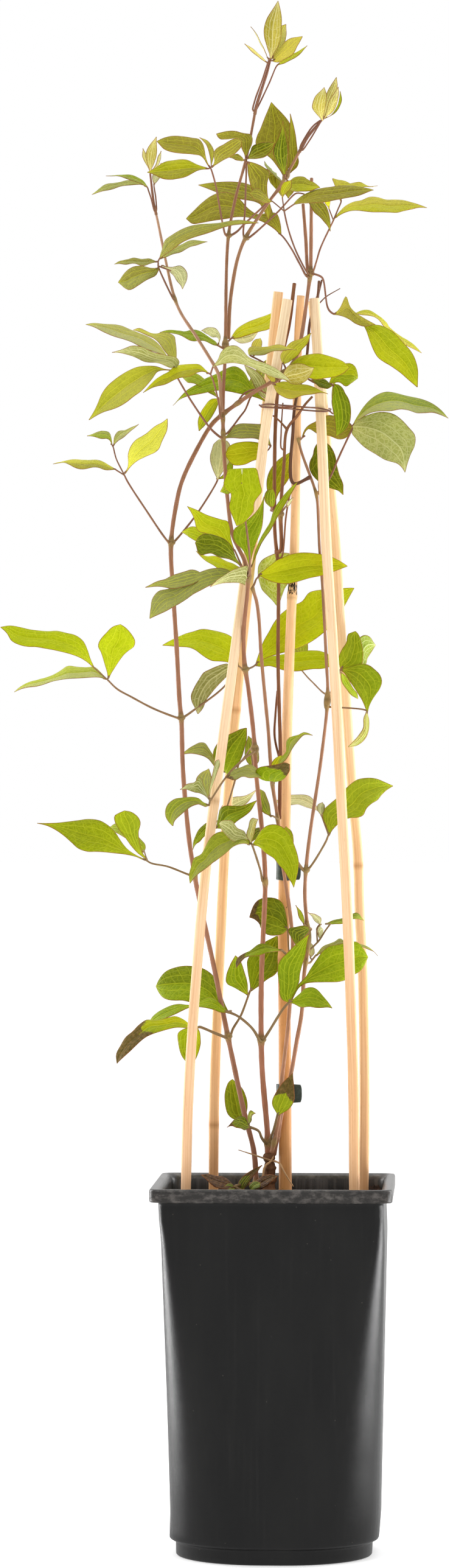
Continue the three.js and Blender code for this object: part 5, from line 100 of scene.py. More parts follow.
  ["T","K","O",0,0,[-714,-215,8108,-696,-224,8165,-678,-232,8220,-626,-264,8252,-570,-293,8277,-512,-322,8296,-451,-352,8307,-389,-383,8310,-326,-411,8311,-265,-434,8316,-204,-454,8319,-142,-477,8311,-82,-500,8300],[-712,-219,8106,-679,-249,8148,-646,-279,8189,-596,-310,8219,-542,-339,8242,-487,-367,8261,-430,-392,8275,-372,-415,8284,-314,-436,8291,-256,-454,8299,-198,-471,8304,-139,-486,8303,-81,-502,8298],[-710,-222,8104,-662,-281,8131,-613,-339,8157,-566,-370,8185,-514,-400,8206,-462,-426,8224,-409,-444,8241,-355,-458,8257,-301,-469,8270,-247,-481,8281,-192,-493,8289,-136,-498,8294,-81,-504,8297]],
  ["T","K","K",0,0,[-706,-204,8109,-686,-176,8127,-667,-143,8148,-647,-113,8168,-626,-86,8187,-604,-60,8203,-580,-36,8217,-556,-13,8229,-531,8,8238,-504,24,8243,-478,39,8244,-451,52,8242,-425,66,8240],[-705,-208,8107,-683,-190,8121,-661,-171,8135,-639,-152,8150,-617,-132,8165,-594,-111,8178,-571,-89,8191,-547,-66,8204,-523,-41,8214,-499,-16,8223,-474,10,8230,-449,37,8235,-424,64,8239],[-704,-213,8105,-680,-206,8114,-655,-203,8121,-631,-197,8131,-607,-185,8142,-584,-169,8153,-561,-150,8165,-538,-126,8177,-516,-97,8190,-493,-61,8203,-470,-22,8216,-447,20,8227,-424,62,8238]],
  ["T","K","O",0,0,[-727,-224,8085,-745,-279,8073,-763,-333,8061,-783,-376,8052,-803,-411,8046,-824,-438,8045,-844,-459,8046,-866,-477,8047,-887,-494,8047,-908,-508,8046,-930,-517,8045,-952,-520,8044,-974,-523,8043],[-727,-219,8087,-747,-248,8084,-767,-277,8082,-787,-305,8078,-808,-333,8075,-830,-360,8073,-851,-386,8072,-872,-411,8071,-893,-434,8068,-914,-457,8064,-935,-478,8059,-955,-499,8052,-975,-520,8044],[-727,-215,8089,-748,-220,8096,-770,-226,8102,-792,-241,8103,-814,-262,8102,-835,-289,8101,-856,-320,8098,-877,-351,8094,-898,-380,8089,-919,-410,8082,-939,-443,8072,-957,-481,8059,-975,-518,8045]],
  ["T","K","O",0,0,[-714,-212,8047,-722,-217,8023,-735,-222,7999,-758,-224,7984,-782,-223,7972,-807,-220,7959,-831,-213,7947,-856,-204,7936,-881,-193,7923,-908,-176,7916,-934,-148,7929,-957,-114,7950,-979,-82,7970],[-716,-209,8050,-733,-199,8037,-752,-189,8027,-776,-180,8024,-801,-171,8021,-827,-160,8015,-852,-150,8007,-877,-138,7998,-901,-126,7987,-924,-113,7977,-945,-102,7973,-962,-91,7972,-980,-80,7971],[-718,-206,8053,-743,-187,8051,-769,-167,8055,-794,-150,8063,-820,-135,8069,-846,-120,8069,-871,-107,8066,-896,-94,8059,-919,-81,8050,-940,-71,8035,-955,-71,8016,-967,-76,7993,-980,-79,7973]],
  ["B","P","P",0,0,[-694,-200,8068,-674,-188,8062,-651,-178,8058,-627,-169,8057,-604,-161,8065,-581,-153,8068,-561,-144,8056,-547,-135,8037,-541,-125,8015,-543,-114,7991,-550,-103,7969,-562,-93,7948,-572,-83,7928],[-698,-198,8066,-680,-187,8059,-662,-176,8053,-644,-165,8047,-627,-156,8046,-610,-147,8042,-594,-137,8031,-583,-128,8015,-576,-119,7997,-572,-109,7979,-570,-100,7962,-572,-91,7945,-574,-83,7928],[-702,-196,8064,-686,-184,8057,-674,-169,8047,-662,-155,8038,-650,-140,8028,-639,-126,8018,-629,-115,8007,-620,-106,7993,-612,-98,7980,-601,-93,7968,-591,-89,7956,-582,-86,7942,-576,-82,7927]],
 ], [
  [11,9,1,[-619,-80,7862,-627,-100,7861,-712,-195,8036,-720,-209,8061,-720,-219,8087,-727,-219,8087,-738,-236,8085]],
  [8,8,0,[-720,-209,8061,-641,-196,8032]],
  [8,7,0,[-720,-219,8087,-712,-219,8106,-698,-228,8117]],
  [8,7,0,[-712,-219,8106,-705,-208,8107,-691,-197,8116]],
  [8,7,0,[-717,-204,8052,-734,-203,8044]],
  [8,7,0,[-701,-206,8054,-698,-198,8066,-682,-187,8061]],
 ], [
 ]],
 "leaf_pair_main_fork": [[
  ["T","O","O",0,0,[-396,-238,8669,-413,-279,8694,-430,-323,8716,-454,-373,8730,-483,-428,8729,-513,-476,8728,-543,-511,8728,-574,-542,8729,-605,-571,8730,-635,-596,8733,-664,-615,8743,-686,-625,8765,-705,-630,8790],[-395,-235,8673,-411,-273,8700,-426,-311,8727,-441,-347,8751,-460,-380,8769,-485,-413,8782,-518,-447,8785,-552,-479,8786,-585,-510,8786,-619,-540,8786,-652,-569,8787,-680,-599,8791,-704,-629,8792],[-394,-232,8677,-409,-269,8705,-421,-303,8737,-428,-329,8772,-436,-347,8807,-456,-370,8835,-492,-403,8840,-528,-436,8842,-565,-469,8840,-602,-502,8837,-638,-537,8830,-673,-581,8815,-704,-627,8793]],
  ["T","O","Y",0,0,[-402,-248,8660,-434,-269,8655,-466,-292,8645,-496,-317,8629,-525,-341,8612,-555,-361,8597,-586,-377,8585,-619,-388,8577,-652,-392,8580,-685,-390,8589,-716,-384,8603,-747,-378,8616,-779,-373,8627],[-402,-245,8664,-434,-259,8666,-466,-273,8667,-497,-285,8665,-528,-297,8662,-560,-307,8658,-592,-318,8653,-625,-327,8647,-658,-337,8642,-689,-346,8639,-719,-356,8635,-749,-364,8632,-779,-372,8629],[-402,-242,8668,-434,-254,8676,-466,-261,8688,-497,-265,8700,-530,-269,8711,-563,-274,8717,-597,-280,8719,-631,-289,8714,-663,-303,8703,-693,-319,8686,-721,-338,8666,-750,-355,8647,-779,-370,8631]],
  ["T","O","O",0,0,[-386,-232,8677,-372,-256,8693,-366,-276,8716,-367,-293,8739,-364,-311,8761,-349,-330,8780,-328,-350,8792,-305,-371,8801,-283,-391,8811,-259,-411,8820,-236,-431,8828,-210,-456,8827,-192,-485,8808],[-384,-234,8673,-368,-259,8687,-355,-283,8702,-345,-305,8718,-334,-327,8733,-316,-349,8746,-295,-370,8756,-274,-391,8765,-253,-410,8775,-233,-428,8786,-215,-447,8797,-199,-466,8806,-191,-486,8806],[-381,-237,8669,-364,-265,8681,-343,-296,8688,-323,-328,8696,-303,-359,8703,-282,-385,8711,-262,-407,8717,-242,-427,8726,-223,-445,8736,-207,-461,8749,-193,-475,8765,-187,-483,8785,-190,-488,8804]],
  ["T","O","O",0,0,[-392,-218,8670,-391,-201,8690,-393,-188,8709,-395,-174,8728,-399,-160,8748,-403,-143,8767,-408,-125,8786,-414,-103,8805,-422,-81,8824,-432,-57,8842,-445,-32,8858,-458,-5,8874,-473,20,8888],[-389,-215,8671,-388,-198,8692,-387,-181,8712,-386,-164,8733,-387,-146,8753,-389,-127,8774,-393,-108,8795,-401,-88,8814,-411,-67,8834,-423,-45,8851,-439,-23,8866,-455,-1,8878,-472,22,8890],[-385,-211,8673,-385,-196,8693,-381,-177,8715,-377,-157,8736,-374,-137,8758,-374,-116,8781,-379,-97,8802,-388,-77,8823,-400,-58,8842,-414,-37,8859,-432,-17,8872,-452,2,8881,-471,23,8891]],
  ["T","O","Y",0,0,[59,-162,8564,80,-178,8569,99,-189,8582,112,-196,8601,129,-206,8614,152,-222,8618,176,-244,8614,198,-270,8604,217,-298,8586,238,-325,8572,260,-348,8561,280,-376,8545,297,-403,8527],[59,-165,8561,79,-188,8559,98,-210,8559,114,-231,8561,133,-252,8562,155,-273,8561,177,-293,8559,198,-314,8554,218,-334,8546,238,-352,8541,259,-370,8537,279,-387,8532,297,-405,8526],[58,-169,8557,78,-201,8547,98,-239,8534,117,-279,8521,137,-315,8509,158,-342,8502,178,-361,8502,199,-374,8503,219,-382,8506,239,-390,8509,259,-399,8513,278,-403,8519,297,-407,8524]],
 ], [
  [11,9,1,[-289,30,8273,-307,9,8275,-323,-52,8338,-340,-123,8440,-363,-194,8575,-391,-240,8669,-395,-235,8673,-402,-251,8683]],
  [11,8,1,[-289,30,8277,-278,50,8276,-236,62,8303,-203,48,8335,-32,-101,8475,55,-165,8557,59,-165,8561,71,-181,8561]],
  [8,7,0,[-391,-240,8669,-402,-245,8664,-420,-254,8664]],
  [8,7,0,[-392,-239,8670,-376,-250,8682]],
  [8,7,0,[-395,-235,8673,-389,-215,8671,-388,-202,8687]],
 ], [
  [46,[-290,30,8260,-288,30,8290]],
 ]],
 "leaf_pair_branch_fork": [[
  ["T","O","O",0,0,[-184,-8,8757,-188,-40,8776,-197,-74,8794,-204,-107,8812,-210,-137,8831,-218,-163,8849,-236,-184,8860,-258,-207,8854,-280,-230,8848,-303,-251,8845,-325,-270,8843,-343,-284,8854,-352,-294,8873],[-180,-5,8759,-177,-31,8781,-175,-57,8803,-173,-82,8826,-172,-107,8850,-181,-132,8871,-205,-159,8877,-231,-183,8876,-256,-205,8876,-283,-227,8875,-309,-248,8871,-333,-270,8871,-351,-293,8875],[-176,-3,8761,-166,-27,8785,-152,-48,8811,-140,-69,8838,-134,-92,8867,-143,-117,8891,-173,-146,8893,-203,-170,8897,-232,-193,8903,-262,-215,8903,-293,-238,8898,-322,-264,8888,-350,-292,8877]],
  ["T","O","O",0,0,[-188,-10,8737,-195,-33,8735,-202,-60,8730,-210,-85,8728,-218,-108,8727,-225,-130,8726,-233,-148,8727,-240,-162,8728,-248,-174,8730,-256,-184,8732,-263,-193,8735,-271,-201,8737,-278,-212,8738],[-188,-6,8740,-194,-25,8741,-201,-44,8742,-208,-62,8744,-214,-80,8747,-222,-98,8749,-230,-115,8751,-238,-132,8750,-246,-149,8748,-255,-165,8746,-263,-180,8744,-270,-195,8742,-278,-210,8740],[-187,-2,8743,-193,-18,8747,-199,-31,8753,-205,-44,8759,-211,-58,8766,-218,-73,8771,-226,-89,8773,-236,-109,8770,-244,-129,8765,-253,-150,8760,-262,-170,8753,-270,-190,8746,-278,-208,8741]],
  ["T","D","Q",0,0,[-174,-2,8755,-165,-19,8767,-157,-33,8783,-148,-47,8799,-140,-61,8815,-126,-76,8827,-109,-94,8833,-90,-112,8837,-71,-131,8840,-51,-150,8840,-32,-172,8838,-12,-195,8832,6,-216,8827],[-172,-5,8751,-159,-25,8758,-145,-44,8764,-131,-63,8770,-117,-82,8778,-101,-100,8785,-83,-118,8790,-65,-135,8796,-48,-152,8802,-31,-168,8808,-17,-185,8815,-5,-201,8820,7,-218,8825],[-170,-8,8748,-152,-34,8747,-132,-63,8743,-113,-90,8740,-93,-117,8740,-74,-140,8741,-56,-159,8745,-39,-175,8752,-24,-188,8762,-11,-199,8774,-2,-207,8790,3,-213,8807,8,-219,8823]],
  ["T","O","O",0.12,0,[-164,-14,8734,-130,7,8728,-94,27,8716,-61,47,8698,-29,66,8678,-39,78,8642,-50,91,8606,-50,104,8567,-45,118,8530,-34,132,8493,-25,146,8456,-30,159,8419,-42,171,8383],[-168,-15,8731,-149,5,8714,-131,25,8692,-113,43,8668,-94,62,8643,-93,75,8610,-93,88,8577,-86,101,8544,-75,116,8512,-61,130,8480,-49,145,8448,-44,158,8415,-45,171,8383],[-172,-16,8728,-169,-5,8699,-168,6,8667,-164,18,8636,-157,31,8605,-147,48,8576,-135,66,8547,-122,83,8519,-105,101,8492,-87,118,8466,-72,134,8439,-58,152,8411,-47,170,8382]],
  ["T","O","O",0,0,[198,-146,8512,223,-162,8509,250,-176,8506,273,-194,8491,293,-214,8470,313,-233,8449,330,-253,8426,343,-275,8399,352,-298,8371,357,-320,8343,360,-342,8314,361,-362,8285,362,-381,8257],[195,-149,8508,214,-171,8496,233,-192,8483,251,-214,8463,267,-235,8441,283,-256,8420,300,-276,8399,315,-296,8376,328,-314,8354,339,-333,8330,348,-350,8306,355,-366,8281,361,-382,8256],[193,-152,8505,206,-184,8483,217,-218,8458,228,-246,8434,240,-271,8411,254,-294,8389,270,-314,8370,287,-329,8352,305,-342,8335,322,-352,8317,337,-362,8299,349,-372,8277,359,-384,8255]],
 ], [
  [10,9,1,[-182,74,8265,-197,89,8275,-188,77,8436,-183,58,8573,-179,34,8652,-174,-10,8732,-168,-15,8731,-157,-5,8718]],
  [11,8,1,[-183,74,8264,-176,80,8259,17,-57,8405,132,-129,8515,150,-137,8520,191,-150,8512,195,-149,8508,206,-163,8498]],
  [8,7,0,[-174,-10,8732,-180,-5,8759,-179,-21,8772]],
  [8,7,0,[-176,-8,8743,-194,-24,8742]],
  [8,7,0,[-178,-7,8750,-161,-21,8756]],
 ], [
  [48,[-189,73,8252,-175,74,8276]],
 ]],
 "leaf_cluster_branch_top": [[
  ["T","O","Q",0,0.3,[57,85,8641,35,90,8681,7,95,8720,-22,101,8758,-57,108,8791,-94,116,8822,-123,127,8860,-116,141,8907,-96,159,8952,-81,178,8999,-65,198,9046,-47,220,9091,-30,241,9136],[62,85,8642,57,96,8683,51,107,8724,42,118,8765,28,130,8804,10,144,8843,-6,158,8886,-5,171,8932,-2,185,8976,-8,198,9018,-16,212,9058,-22,226,9097,-28,241,9137],[67,86,8642,79,94,8684,95,102,8726,108,112,8769,114,122,8814,115,134,8860,113,147,8906,107,161,8952,93,175,8996,67,191,9034,35,207,9068,3,224,9102,-25,242,9137]],
  ["T","D","D",0,0,[64,5,8636,51,-17,8660,34,-38,8685,19,-59,8710,6,-78,8737,-3,-96,8765,-4,-112,8795,5,-125,8824,19,-137,8851,32,-147,8879,44,-157,8907,53,-166,8937,57,-176,8966],[68,5,8637,62,-13,8662,55,-31,8688,50,-49,8715,45,-66,8742,42,-82,8770,42,-97,8799,46,-113,8827,50,-127,8854,54,-140,8882,57,-153,8910,59,-164,8938,59,-175,8967],[73,6,8637,73,-14,8664,77,-32,8691,82,-51,8718,85,-68,8746,88,-84,8774,88,-100,8801,86,-115,8829,82,-129,8856,76,-142,8884,71,-154,8911,65,-165,8939,61,-175,8967]],
  ["T","O","Q",0,0,[81,67,8665,87,72,8695,89,78,8727,89,83,8759,87,86,8791,85,90,8823,85,95,8856,88,102,8888,91,109,8920,92,118,8953,93,127,8986,94,137,9019,92,147,9052],[86,66,8662,101,71,8688,114,76,8716,120,80,8748,117,83,8782,114,87,8815,112,93,8849,111,100,8882,110,107,8916,108,116,8950,105,126,8984,100,136,9018,95,147,9052],[90,65,8660,114,64,8682,140,64,8705,152,65,8736,148,69,8771,144,74,8806,139,80,8841,135,89,8876,131,98,8912,124,109,8947,116,121,8982,106,134,9017,97,146,9051]],
  ["T","Q","Q",0,0,[51,84,8609,57,91,8613,66,98,8614,73,104,8607,74,111,8598,74,119,8589,73,132,8580,69,146,8572,63,161,8566,56,176,8559,49,191,8554,41,208,8548,36,224,8540],[47,84,8611,37,98,8625,27,111,8639,16,125,8649,6,138,8661,5,152,8676,7,162,8659,8,172,8637,9,182,8615,12,192,8595,18,203,8576,26,213,8559,34,224,8542],[42,85,8614,17,96,8636,-11,108,8662,-40,120,8688,-61,133,8721,-64,147,8759,-58,157,8733,-52,167,8698,-44,178,8662,-32,189,8628,-12,200,8598,11,212,8570,32,224,8543]],
  ["T","O","O",0,0,[84,36,8622,91,29,8615,103,23,8610,112,17,8601,119,11,8589,124,5,8577,126,-1,8564,125,-7,8551,120,-13,8539,113,-18,8529,105,-24,8519,96,-29,8509,91,-34,8499],[79,36,8621,82,30,8613,86,24,8605,88,18,8596,91,12,8585,92,6,8573,93,1,8561,93,-5,8549,91,-11,8537,90,-17,8527,90,-23,8518,89,-28,8508,89,-34,8499],[74,35,8619,74,27,8611,69,19,8600,65,11,8590,63,4,8579,61,-3,8568,60,-10,8556,60,-15,8545,63,-20,8534,68,-24,8525,75,-27,8516,82,-31,8507,86,-34,8498]],
 ], [
  [9,8,1,[63,52,8635,62,85,8642,58,89,8661]],
  [8,7,0,[63,52,8635,68,5,8637,65,-7,8652]],
  [9,8,1,[79,47,8662,86,66,8662,91,68,8682]],
  [8,7,0,[62,79,8640,47,84,8611,38,99,8622]],
  [8,7,0,[65,35,8635,79,36,8621,83,25,8605]],
 ], [
  [46,[57,54,8624,86,44,8674]],
 ]],
 "leaf_top_shoot_left": [[
  ["T","O","O",0,0,[126,-288,8435,157,-304,8465,192,-321,8492,232,-345,8510,276,-378,8520,321,-414,8521,367,-450,8519,411,-480,8523,456,-512,8525,502,-550,8522,547,-593,8512,591,-641,8496,634,-689,8479],[127,-292,8433,165,-331,8447,204,-370,8458,246,-409,8466,289,-447,8472,334,-483,8472,378,-517,8472,421,-549,8474,465,-579,8478,508,-608,8480,551,-636,8481,592,-664,8480,634,-691,8478],[128,-297,8430,172,-365,8428,216,-431,8423,260,-487,8421,303,-531,8422,346,-568,8423,389,-600,8423,432,-634,8423,474,-662,8429,515,-680,8438,555,-689,8450,594,-691,8464,634,-693,8477]],
  ["T","Y","O",0,0,[54,-274,8482,55,-284,8491,51,-293,8502,49,-301,8513,49,-309,8525,51,-317,8536,55,-325,8547,61,-332,8557,70,-340,8566,81,-348,8570,94,-356,8572,106,-365,8574,116,-372,8577],[59,-275,8480,61,-285,8489,63,-294,8498,65,-302,8507,69,-311,8516,75,-319,8525,81,-327,8533,87,-335,8542,94,-342,8551,101,-350,8558,107,-358,8564,112,-365,8570,118,-373,8576],[63,-277,8479,67,-287,8487,75,-299,8493,83,-310,8499,91,-321,8506,99,-331,8512,107,-340,8518,114,-348,8526,119,-355,8535,120,-360,8545,120,-365,8555,119,-369,8565,120,-374,8574]],
  ["T","O","O",0,0,[-7,-262,8452,-17,-294,8446,-29,-328,8438,-42,-359,8434,-54,-389,8434,-66,-417,8435,-78,-443,8436,-90,-467,8438,-102,-488,8441,-113,-504,8447,-122,-512,8456,-129,-518,8467,-137,-526,8475],[-7,-258,8456,-17,-283,8456,-28,-307,8456,-40,-331,8459,-51,-355,8464,-61,-378,8470,-73,-400,8475,-85,-421,8479,-98,-442,8482,-110,-463,8484,-120,-483,8482,-128,-504,8479,-137,-524,8477],[-7,-255,8460,-17,-275,8465,-28,-292,8474,-38,-312,8483,-47,-331,8493,-56,-350,8504,-67,-369,8512,-80,-389,8518,-93,-409,8522,-107,-433,8519,-118,-463,8507,-127,-494,8492,-137,-522,8479]],
  ["T","O","O",0.12,0,[33,172,8287,-4,162,8325,-48,153,8355,-98,159,8378,-150,169,8392,-204,170,8401,-258,165,8402,-311,163,8395,-365,171,8389,-419,187,8380,-472,210,8370,-527,238,8368,-570,277,8405],[36,174,8290,13,180,8344,-20,186,8392,-73,187,8408,-132,188,8410,-189,195,8433,-241,206,8460,-297,220,8478,-358,232,8482,-418,244,8467,-472,257,8440,-524,269,8414,-569,278,8408],[39,176,8294,31,190,8362,8,203,8428,-48,201,8436,-114,197,8428,-174,207,8463,-223,227,8516,-281,248,8558,-350,263,8571,-416,273,8550,-472,280,8508,-521,284,8458,-569,279,8410]],
  ["T","O","O",0,0,[32,181,8291,11,199,8347,-10,214,8398,-41,227,8443,-83,238,8478,-131,249,8505,-184,266,8520,-238,289,8533,-292,320,8548,-345,355,8567,-398,393,8590,-450,436,8615,-502,480,8640],[32,184,8295,11,201,8350,-10,220,8405,-36,239,8457,-71,261,8503,-111,286,8544,-163,310,8570,-219,336,8587,-276,363,8599,-333,392,8611,-390,421,8623,-446,451,8634,-502,481,8642],[32,187,8299,11,203,8353,-10,223,8412,-31,246,8470,-57,275,8527,-91,307,8581,-141,337,8617,-199,364,8639,-260,389,8648,-320,414,8653,-382,438,8655,-442,460,8652,-501,482,8644]],
 ], [
  [10,9,1,[229,-98,8019,214,-124,8020,154,-181,8125,115,-227,8220,87,-258,8314,70,-275,8393]],
  [8,8,0,[70,-275,8393,131,-292,8433,142,-306,8436]],
  [7,6,0,[70,-275,8393,59,-275,8488,64,-290,8493]],
  [7,6,0,[70,-275,8393,-10,-258,8460,-15,-277,8457]],
  [11,9,1,[226,-100,7996,206,-124,8001,166,-65,8074,99,84,8202,40,174,8287,20,175,8302]],
  [8,7,0,[30,175,8294,24,190,8312]],
  [9,8,0,[214,-124,8020,202,-118,8008]],
 ], [
 ]],
 "leaf_top_shoot_right": [[
  ["T","S","Y",0,0,[381,-177,8362,413,-145,8406,450,-109,8446,498,-79,8470,549,-53,8479,598,-14,8502,650,14,8506,702,38,8499,754,71,8504,807,84,8499,857,92,8483,908,103,8468,958,126,8455],[383,-181,8360,420,-163,8393,462,-143,8422,510,-123,8437,560,-102,8442,609,-78,8453,660,-53,8454,710,-27,8448,760,2,8451,810,31,8457,859,60,8459,908,91,8459,958,124,8454],[384,-185,8357,427,-185,8381,474,-186,8396,522,-178,8403,571,-163,8404,621,-158,8402,670,-137,8400,718,-108,8396,767,-83,8395,814,-35,8415,861,22,8434,909,77,8450,958,122,8452]],
  ["T","S","Y",0,0,[416,-128,8470,405,-106,8506,391,-82,8544,376,-55,8582,363,-26,8621,396,-6,8619,433,16,8618,464,38,8600,500,63,8605,536,89,8609,570,115,8596,606,143,8588,641,171,8598],[419,-130,8468,416,-108,8498,414,-86,8528,415,-62,8555,418,-37,8580,444,-16,8585,473,8,8588,500,32,8583,528,58,8589,557,85,8594,585,113,8591,614,141,8590,643,170,8598],[423,-131,8465,427,-115,8490,437,-101,8511,454,-87,8526,473,-73,8538,493,-46,8549,514,-18,8558,536,11,8565,557,41,8571,578,72,8578,600,105,8585,622,137,8592,646,170,8599]],
  ["T","Y","Y",0,0,[345,-225,8411,343,-236,8420,336,-249,8427,329,-261,8434,323,-273,8442,319,-283,8451,318,-292,8461,319,-299,8472,318,-306,8482,314,-311,8492,309,-316,8501,304,-321,8510,297,-326,8518],[349,-223,8413,347,-232,8422,345,-242,8432,343,-251,8441,340,-260,8451,338,-269,8462,337,-278,8472,335,-286,8483,331,-294,8493,324,-302,8501,316,-310,8507,307,-318,8513,299,-325,8519],[353,-221,8414,352,-231,8424,355,-239,8436,357,-246,8447,358,-254,8459,357,-262,8471,355,-271,8483,351,-280,8494,344,-289,8503,334,-298,8509,322,-308,8513,310,-316,8516,300,-324,8521]],
  ["T","S","O",0,0,[377,-258,7756,404,-268,7772,426,-273,7798,440,-274,7828,455,-274,7859,468,-293,7839,478,-316,7804,500,-336,7775,524,-354,7750,552,-372,7728,580,-391,7708,611,-411,7690,640,-429,7674],[377,-262,7752,402,-277,7758,424,-292,7766,443,-306,7777,461,-320,7786,478,-336,7770,494,-353,7747,515,-368,7727,538,-381,7709,562,-394,7694,588,-406,7684,615,-419,7678,641,-430,7673],[376,-265,7748,400,-291,7743,423,-323,7734,446,-356,7724,468,-390,7711,489,-403,7699,509,-410,7687,530,-417,7677,551,-423,7666,573,-429,7658,597,-431,7659,619,-430,7666,642,-432,7671]],
  ["T","L","Y",0,0,[571,-352,7683,617,-371,7678,667,-388,7673,712,-407,7652,752,-426,7623,787,-446,7587,821,-466,7550,856,-485,7513,881,-504,7470,897,-523,7422,906,-541,7372,906,-560,7322,905,-578,7273],[568,-353,7679,601,-374,7657,633,-395,7632,663,-417,7600,692,-438,7564,721,-458,7527,756,-478,7494,792,-497,7463,823,-514,7428,848,-531,7390,870,-547,7351,887,-563,7312,902,-579,7272],[565,-355,7675,584,-388,7635,599,-422,7590,614,-452,7546,631,-480,7503,656,-503,7464,692,-521,7437,729,-537,7412,764,-551,7384,800,-561,7357,834,-568,7329,868,-574,7300,900,-580,7271]],
  ["T","Y","S",0,0,[513,-261,7757,551,-198,7779,593,-161,7783,632,-148,7766,669,-122,7745,701,-88,7719,722,-69,7683,753,-40,7656,790,-1,7637,828,44,7619,863,78,7597,894,92,7567,924,105,7537],[513,-266,7755,553,-240,7762,594,-216,7761,633,-192,7748,668,-166,7728,697,-138,7700,721,-109,7667,751,-78,7642,786,-44,7620,821,-8,7600,856,29,7579,890,65,7558,924,102,7536],[514,-270,7753,554,-287,7745,595,-276,7739,634,-240,7730,668,-214,7710,694,-193,7680,719,-154,7651,750,-120,7627,782,-92,7604,815,-65,7581,850,-25,7562,886,36,7548,924,100,7535]],
 ], [
  [10,9,1,[230,-98,8034,244,-107,8033,267,-126,8092,292,-138,8173,375,-182,8344]],
  [8,7,0,[375,-182,8344,401,-160,8411,423,-129,8471,419,-118,8484]],
  [7,6,0,[375,-182,8344,346,-223,8420,346,-237,8427]],
  [10,10,1,[228,-98,8018,248,-122,8016,295,-159,7996,310,-174,7978,338,-239,7803,353,-254,7772,381,-261,7752,392,-274,7758]],
  [8,7,0,[381,-261,7752,441,-269,7759,502,-282,7753,527,-297,7736,568,-343,7676,568,-353,7679,581,-362,7667]],
  [8,7,0,[381,-177,8359,399,-174,8368]],
  [8,7,0,[502,-282,7753,513,-266,7755,530,-255,7752]],
 ], [
  [49,[228,-98,8011,230,-98,8037,230,-99,8047]],
 ]],
 "leaf_right_large": [[
  ["T","G","P",0,0,[492,-2,7081,520,-11,7134,553,-17,7185,597,-23,7228,649,-29,7260,707,-38,7280,769,-61,7275,829,-79,7261,889,-94,7244,947,-126,7220,1002,-159,7190,1052,-182,7152,1093,-209,7106],[493,-6,7078,528,-30,7120,568,-53,7158,615,-74,7188,667,-94,7208,722,-113,7219,779,-132,7218,835,-148,7204,891,-161,7188,945,-176,7179,998,-188,7166,1048,-199,7139,1093,-211,7105],[495,-10,7076,537,-54,7107,582,-99,7131,632,-140,7148,684,-178,7155,737,-209,7156,790,-222,7159,842,-235,7147,893,-247,7132,944,-238,7138,995,-225,7142,1044,-222,7124,1093,-213,7103]],
  ["B","C","C",0,0,[491,-27,7063,523,-46,7108,577,-63,7134,636,-81,7151,697,-98,7152,756,-115,7135,805,-133,7098,846,-152,7052,884,-173,7002,882,-193,6941,857,-215,6884,839,-238,6825,826,-262,6766],[490,-27,7058,507,-50,7064,546,-70,7061,588,-90,7054,632,-110,7041,678,-128,7021,719,-146,6992,756,-165,6958,791,-185,6923,808,-203,6886,815,-221,6853,820,-241,6811,824,-262,6765],[488,-26,7053,490,-37,7020,514,-48,6989,539,-61,6959,567,-75,6932,599,-91,6910,632,-110,6890,665,-131,6868,698,-153,6847,735,-179,6834,772,-207,6823,801,-235,6797,822,-262,6763]],
  ["T","G","G",0,0,[456,100,7103,440,117,7120,420,133,7135,403,152,7153,386,172,7173,372,195,7195,362,220,7219,356,248,7244,353,278,7271,352,310,7297,354,345,7324,357,382,7351,359,417,7376],[460,102,7105,454,126,7124,447,150,7145,438,173,7167,427,197,7190,416,222,7213,407,248,7238,400,275,7263,393,303,7288,386,331,7312,378,360,7335,369,389,7356,361,418,7377],[465,104,7106,468,129,7129,474,156,7154,473,182,7180,468,207,7205,461,233,7230,453,259,7255,444,285,7280,433,312,7304,420,339,7326,402,366,7345,381,392,7361,363,419,7378]],
 ], [
  [11,10,1,[264,-66,6639,280,-56,6644,336,-40,6722,359,-35,6765,410,-30,6883,494,-36,7061]],
  [8,7,0,[494,-36,7061,477,43,7085,456,102,7108,460,102,7105,455,116,7118]],
  [8,7,0,[487,-5,7070,508,-14,7089]],
  [8,7,0,[492,-28,7064,508,-34,7056]],
 ], [
 ]],
 "leaf_cluster_tie": [[
  ["T","Y","Y",0,0,[103,-250,7431,127,-259,7454,152,-265,7478,183,-274,7496,217,-289,7502,253,-307,7502,289,-329,7497,324,-352,7488,360,-375,7479,394,-400,7469,428,-428,7453,457,-459,7430,480,-496,7402],[103,-253,7427,129,-276,7428,157,-298,7429,187,-319,7429,221,-341,7425,256,-363,7420,291,-384,7415,326,-404,7410,361,-423,7408,395,-441,7407,428,-460,7406,457,-478,7403,480,-497,7400],[104,-257,7424,132,-301,7403,162,-347,7380,193,-388,7360,226,-421,7345,260,-447,7335,295,-468,7330,329,-484,7331,363,-496,7335,396,-504,7344,428,-508,7358,457,-506,7375,480,-499,7398]],
  ["B","O","O",0,0,[52,-339,7349,63,-377,7362,72,-419,7379,84,-461,7395,98,-501,7409,116,-539,7419,138,-570,7421,160,-595,7418,182,-619,7413,204,-642,7407,225,-664,7399,246,-685,7392,267,-709,7386],[53,-336,7346,68,-365,7349,83,-395,7352,100,-425,7355,118,-455,7358,138,-486,7360,160,-516,7361,181,-546,7364,201,-577,7367,220,-609,7371,237,-641,7375,252,-674,7380,267,-707,7385],[54,-332,7342,73,-347,7335,94,-359,7325,115,-372,7316,137,-388,7308,159,-408,7302,182,-438,7303,202,-475,7312,220,-516,7323,235,-561,7336,248,-608,7352,258,-657,7368,268,-705,7383]],
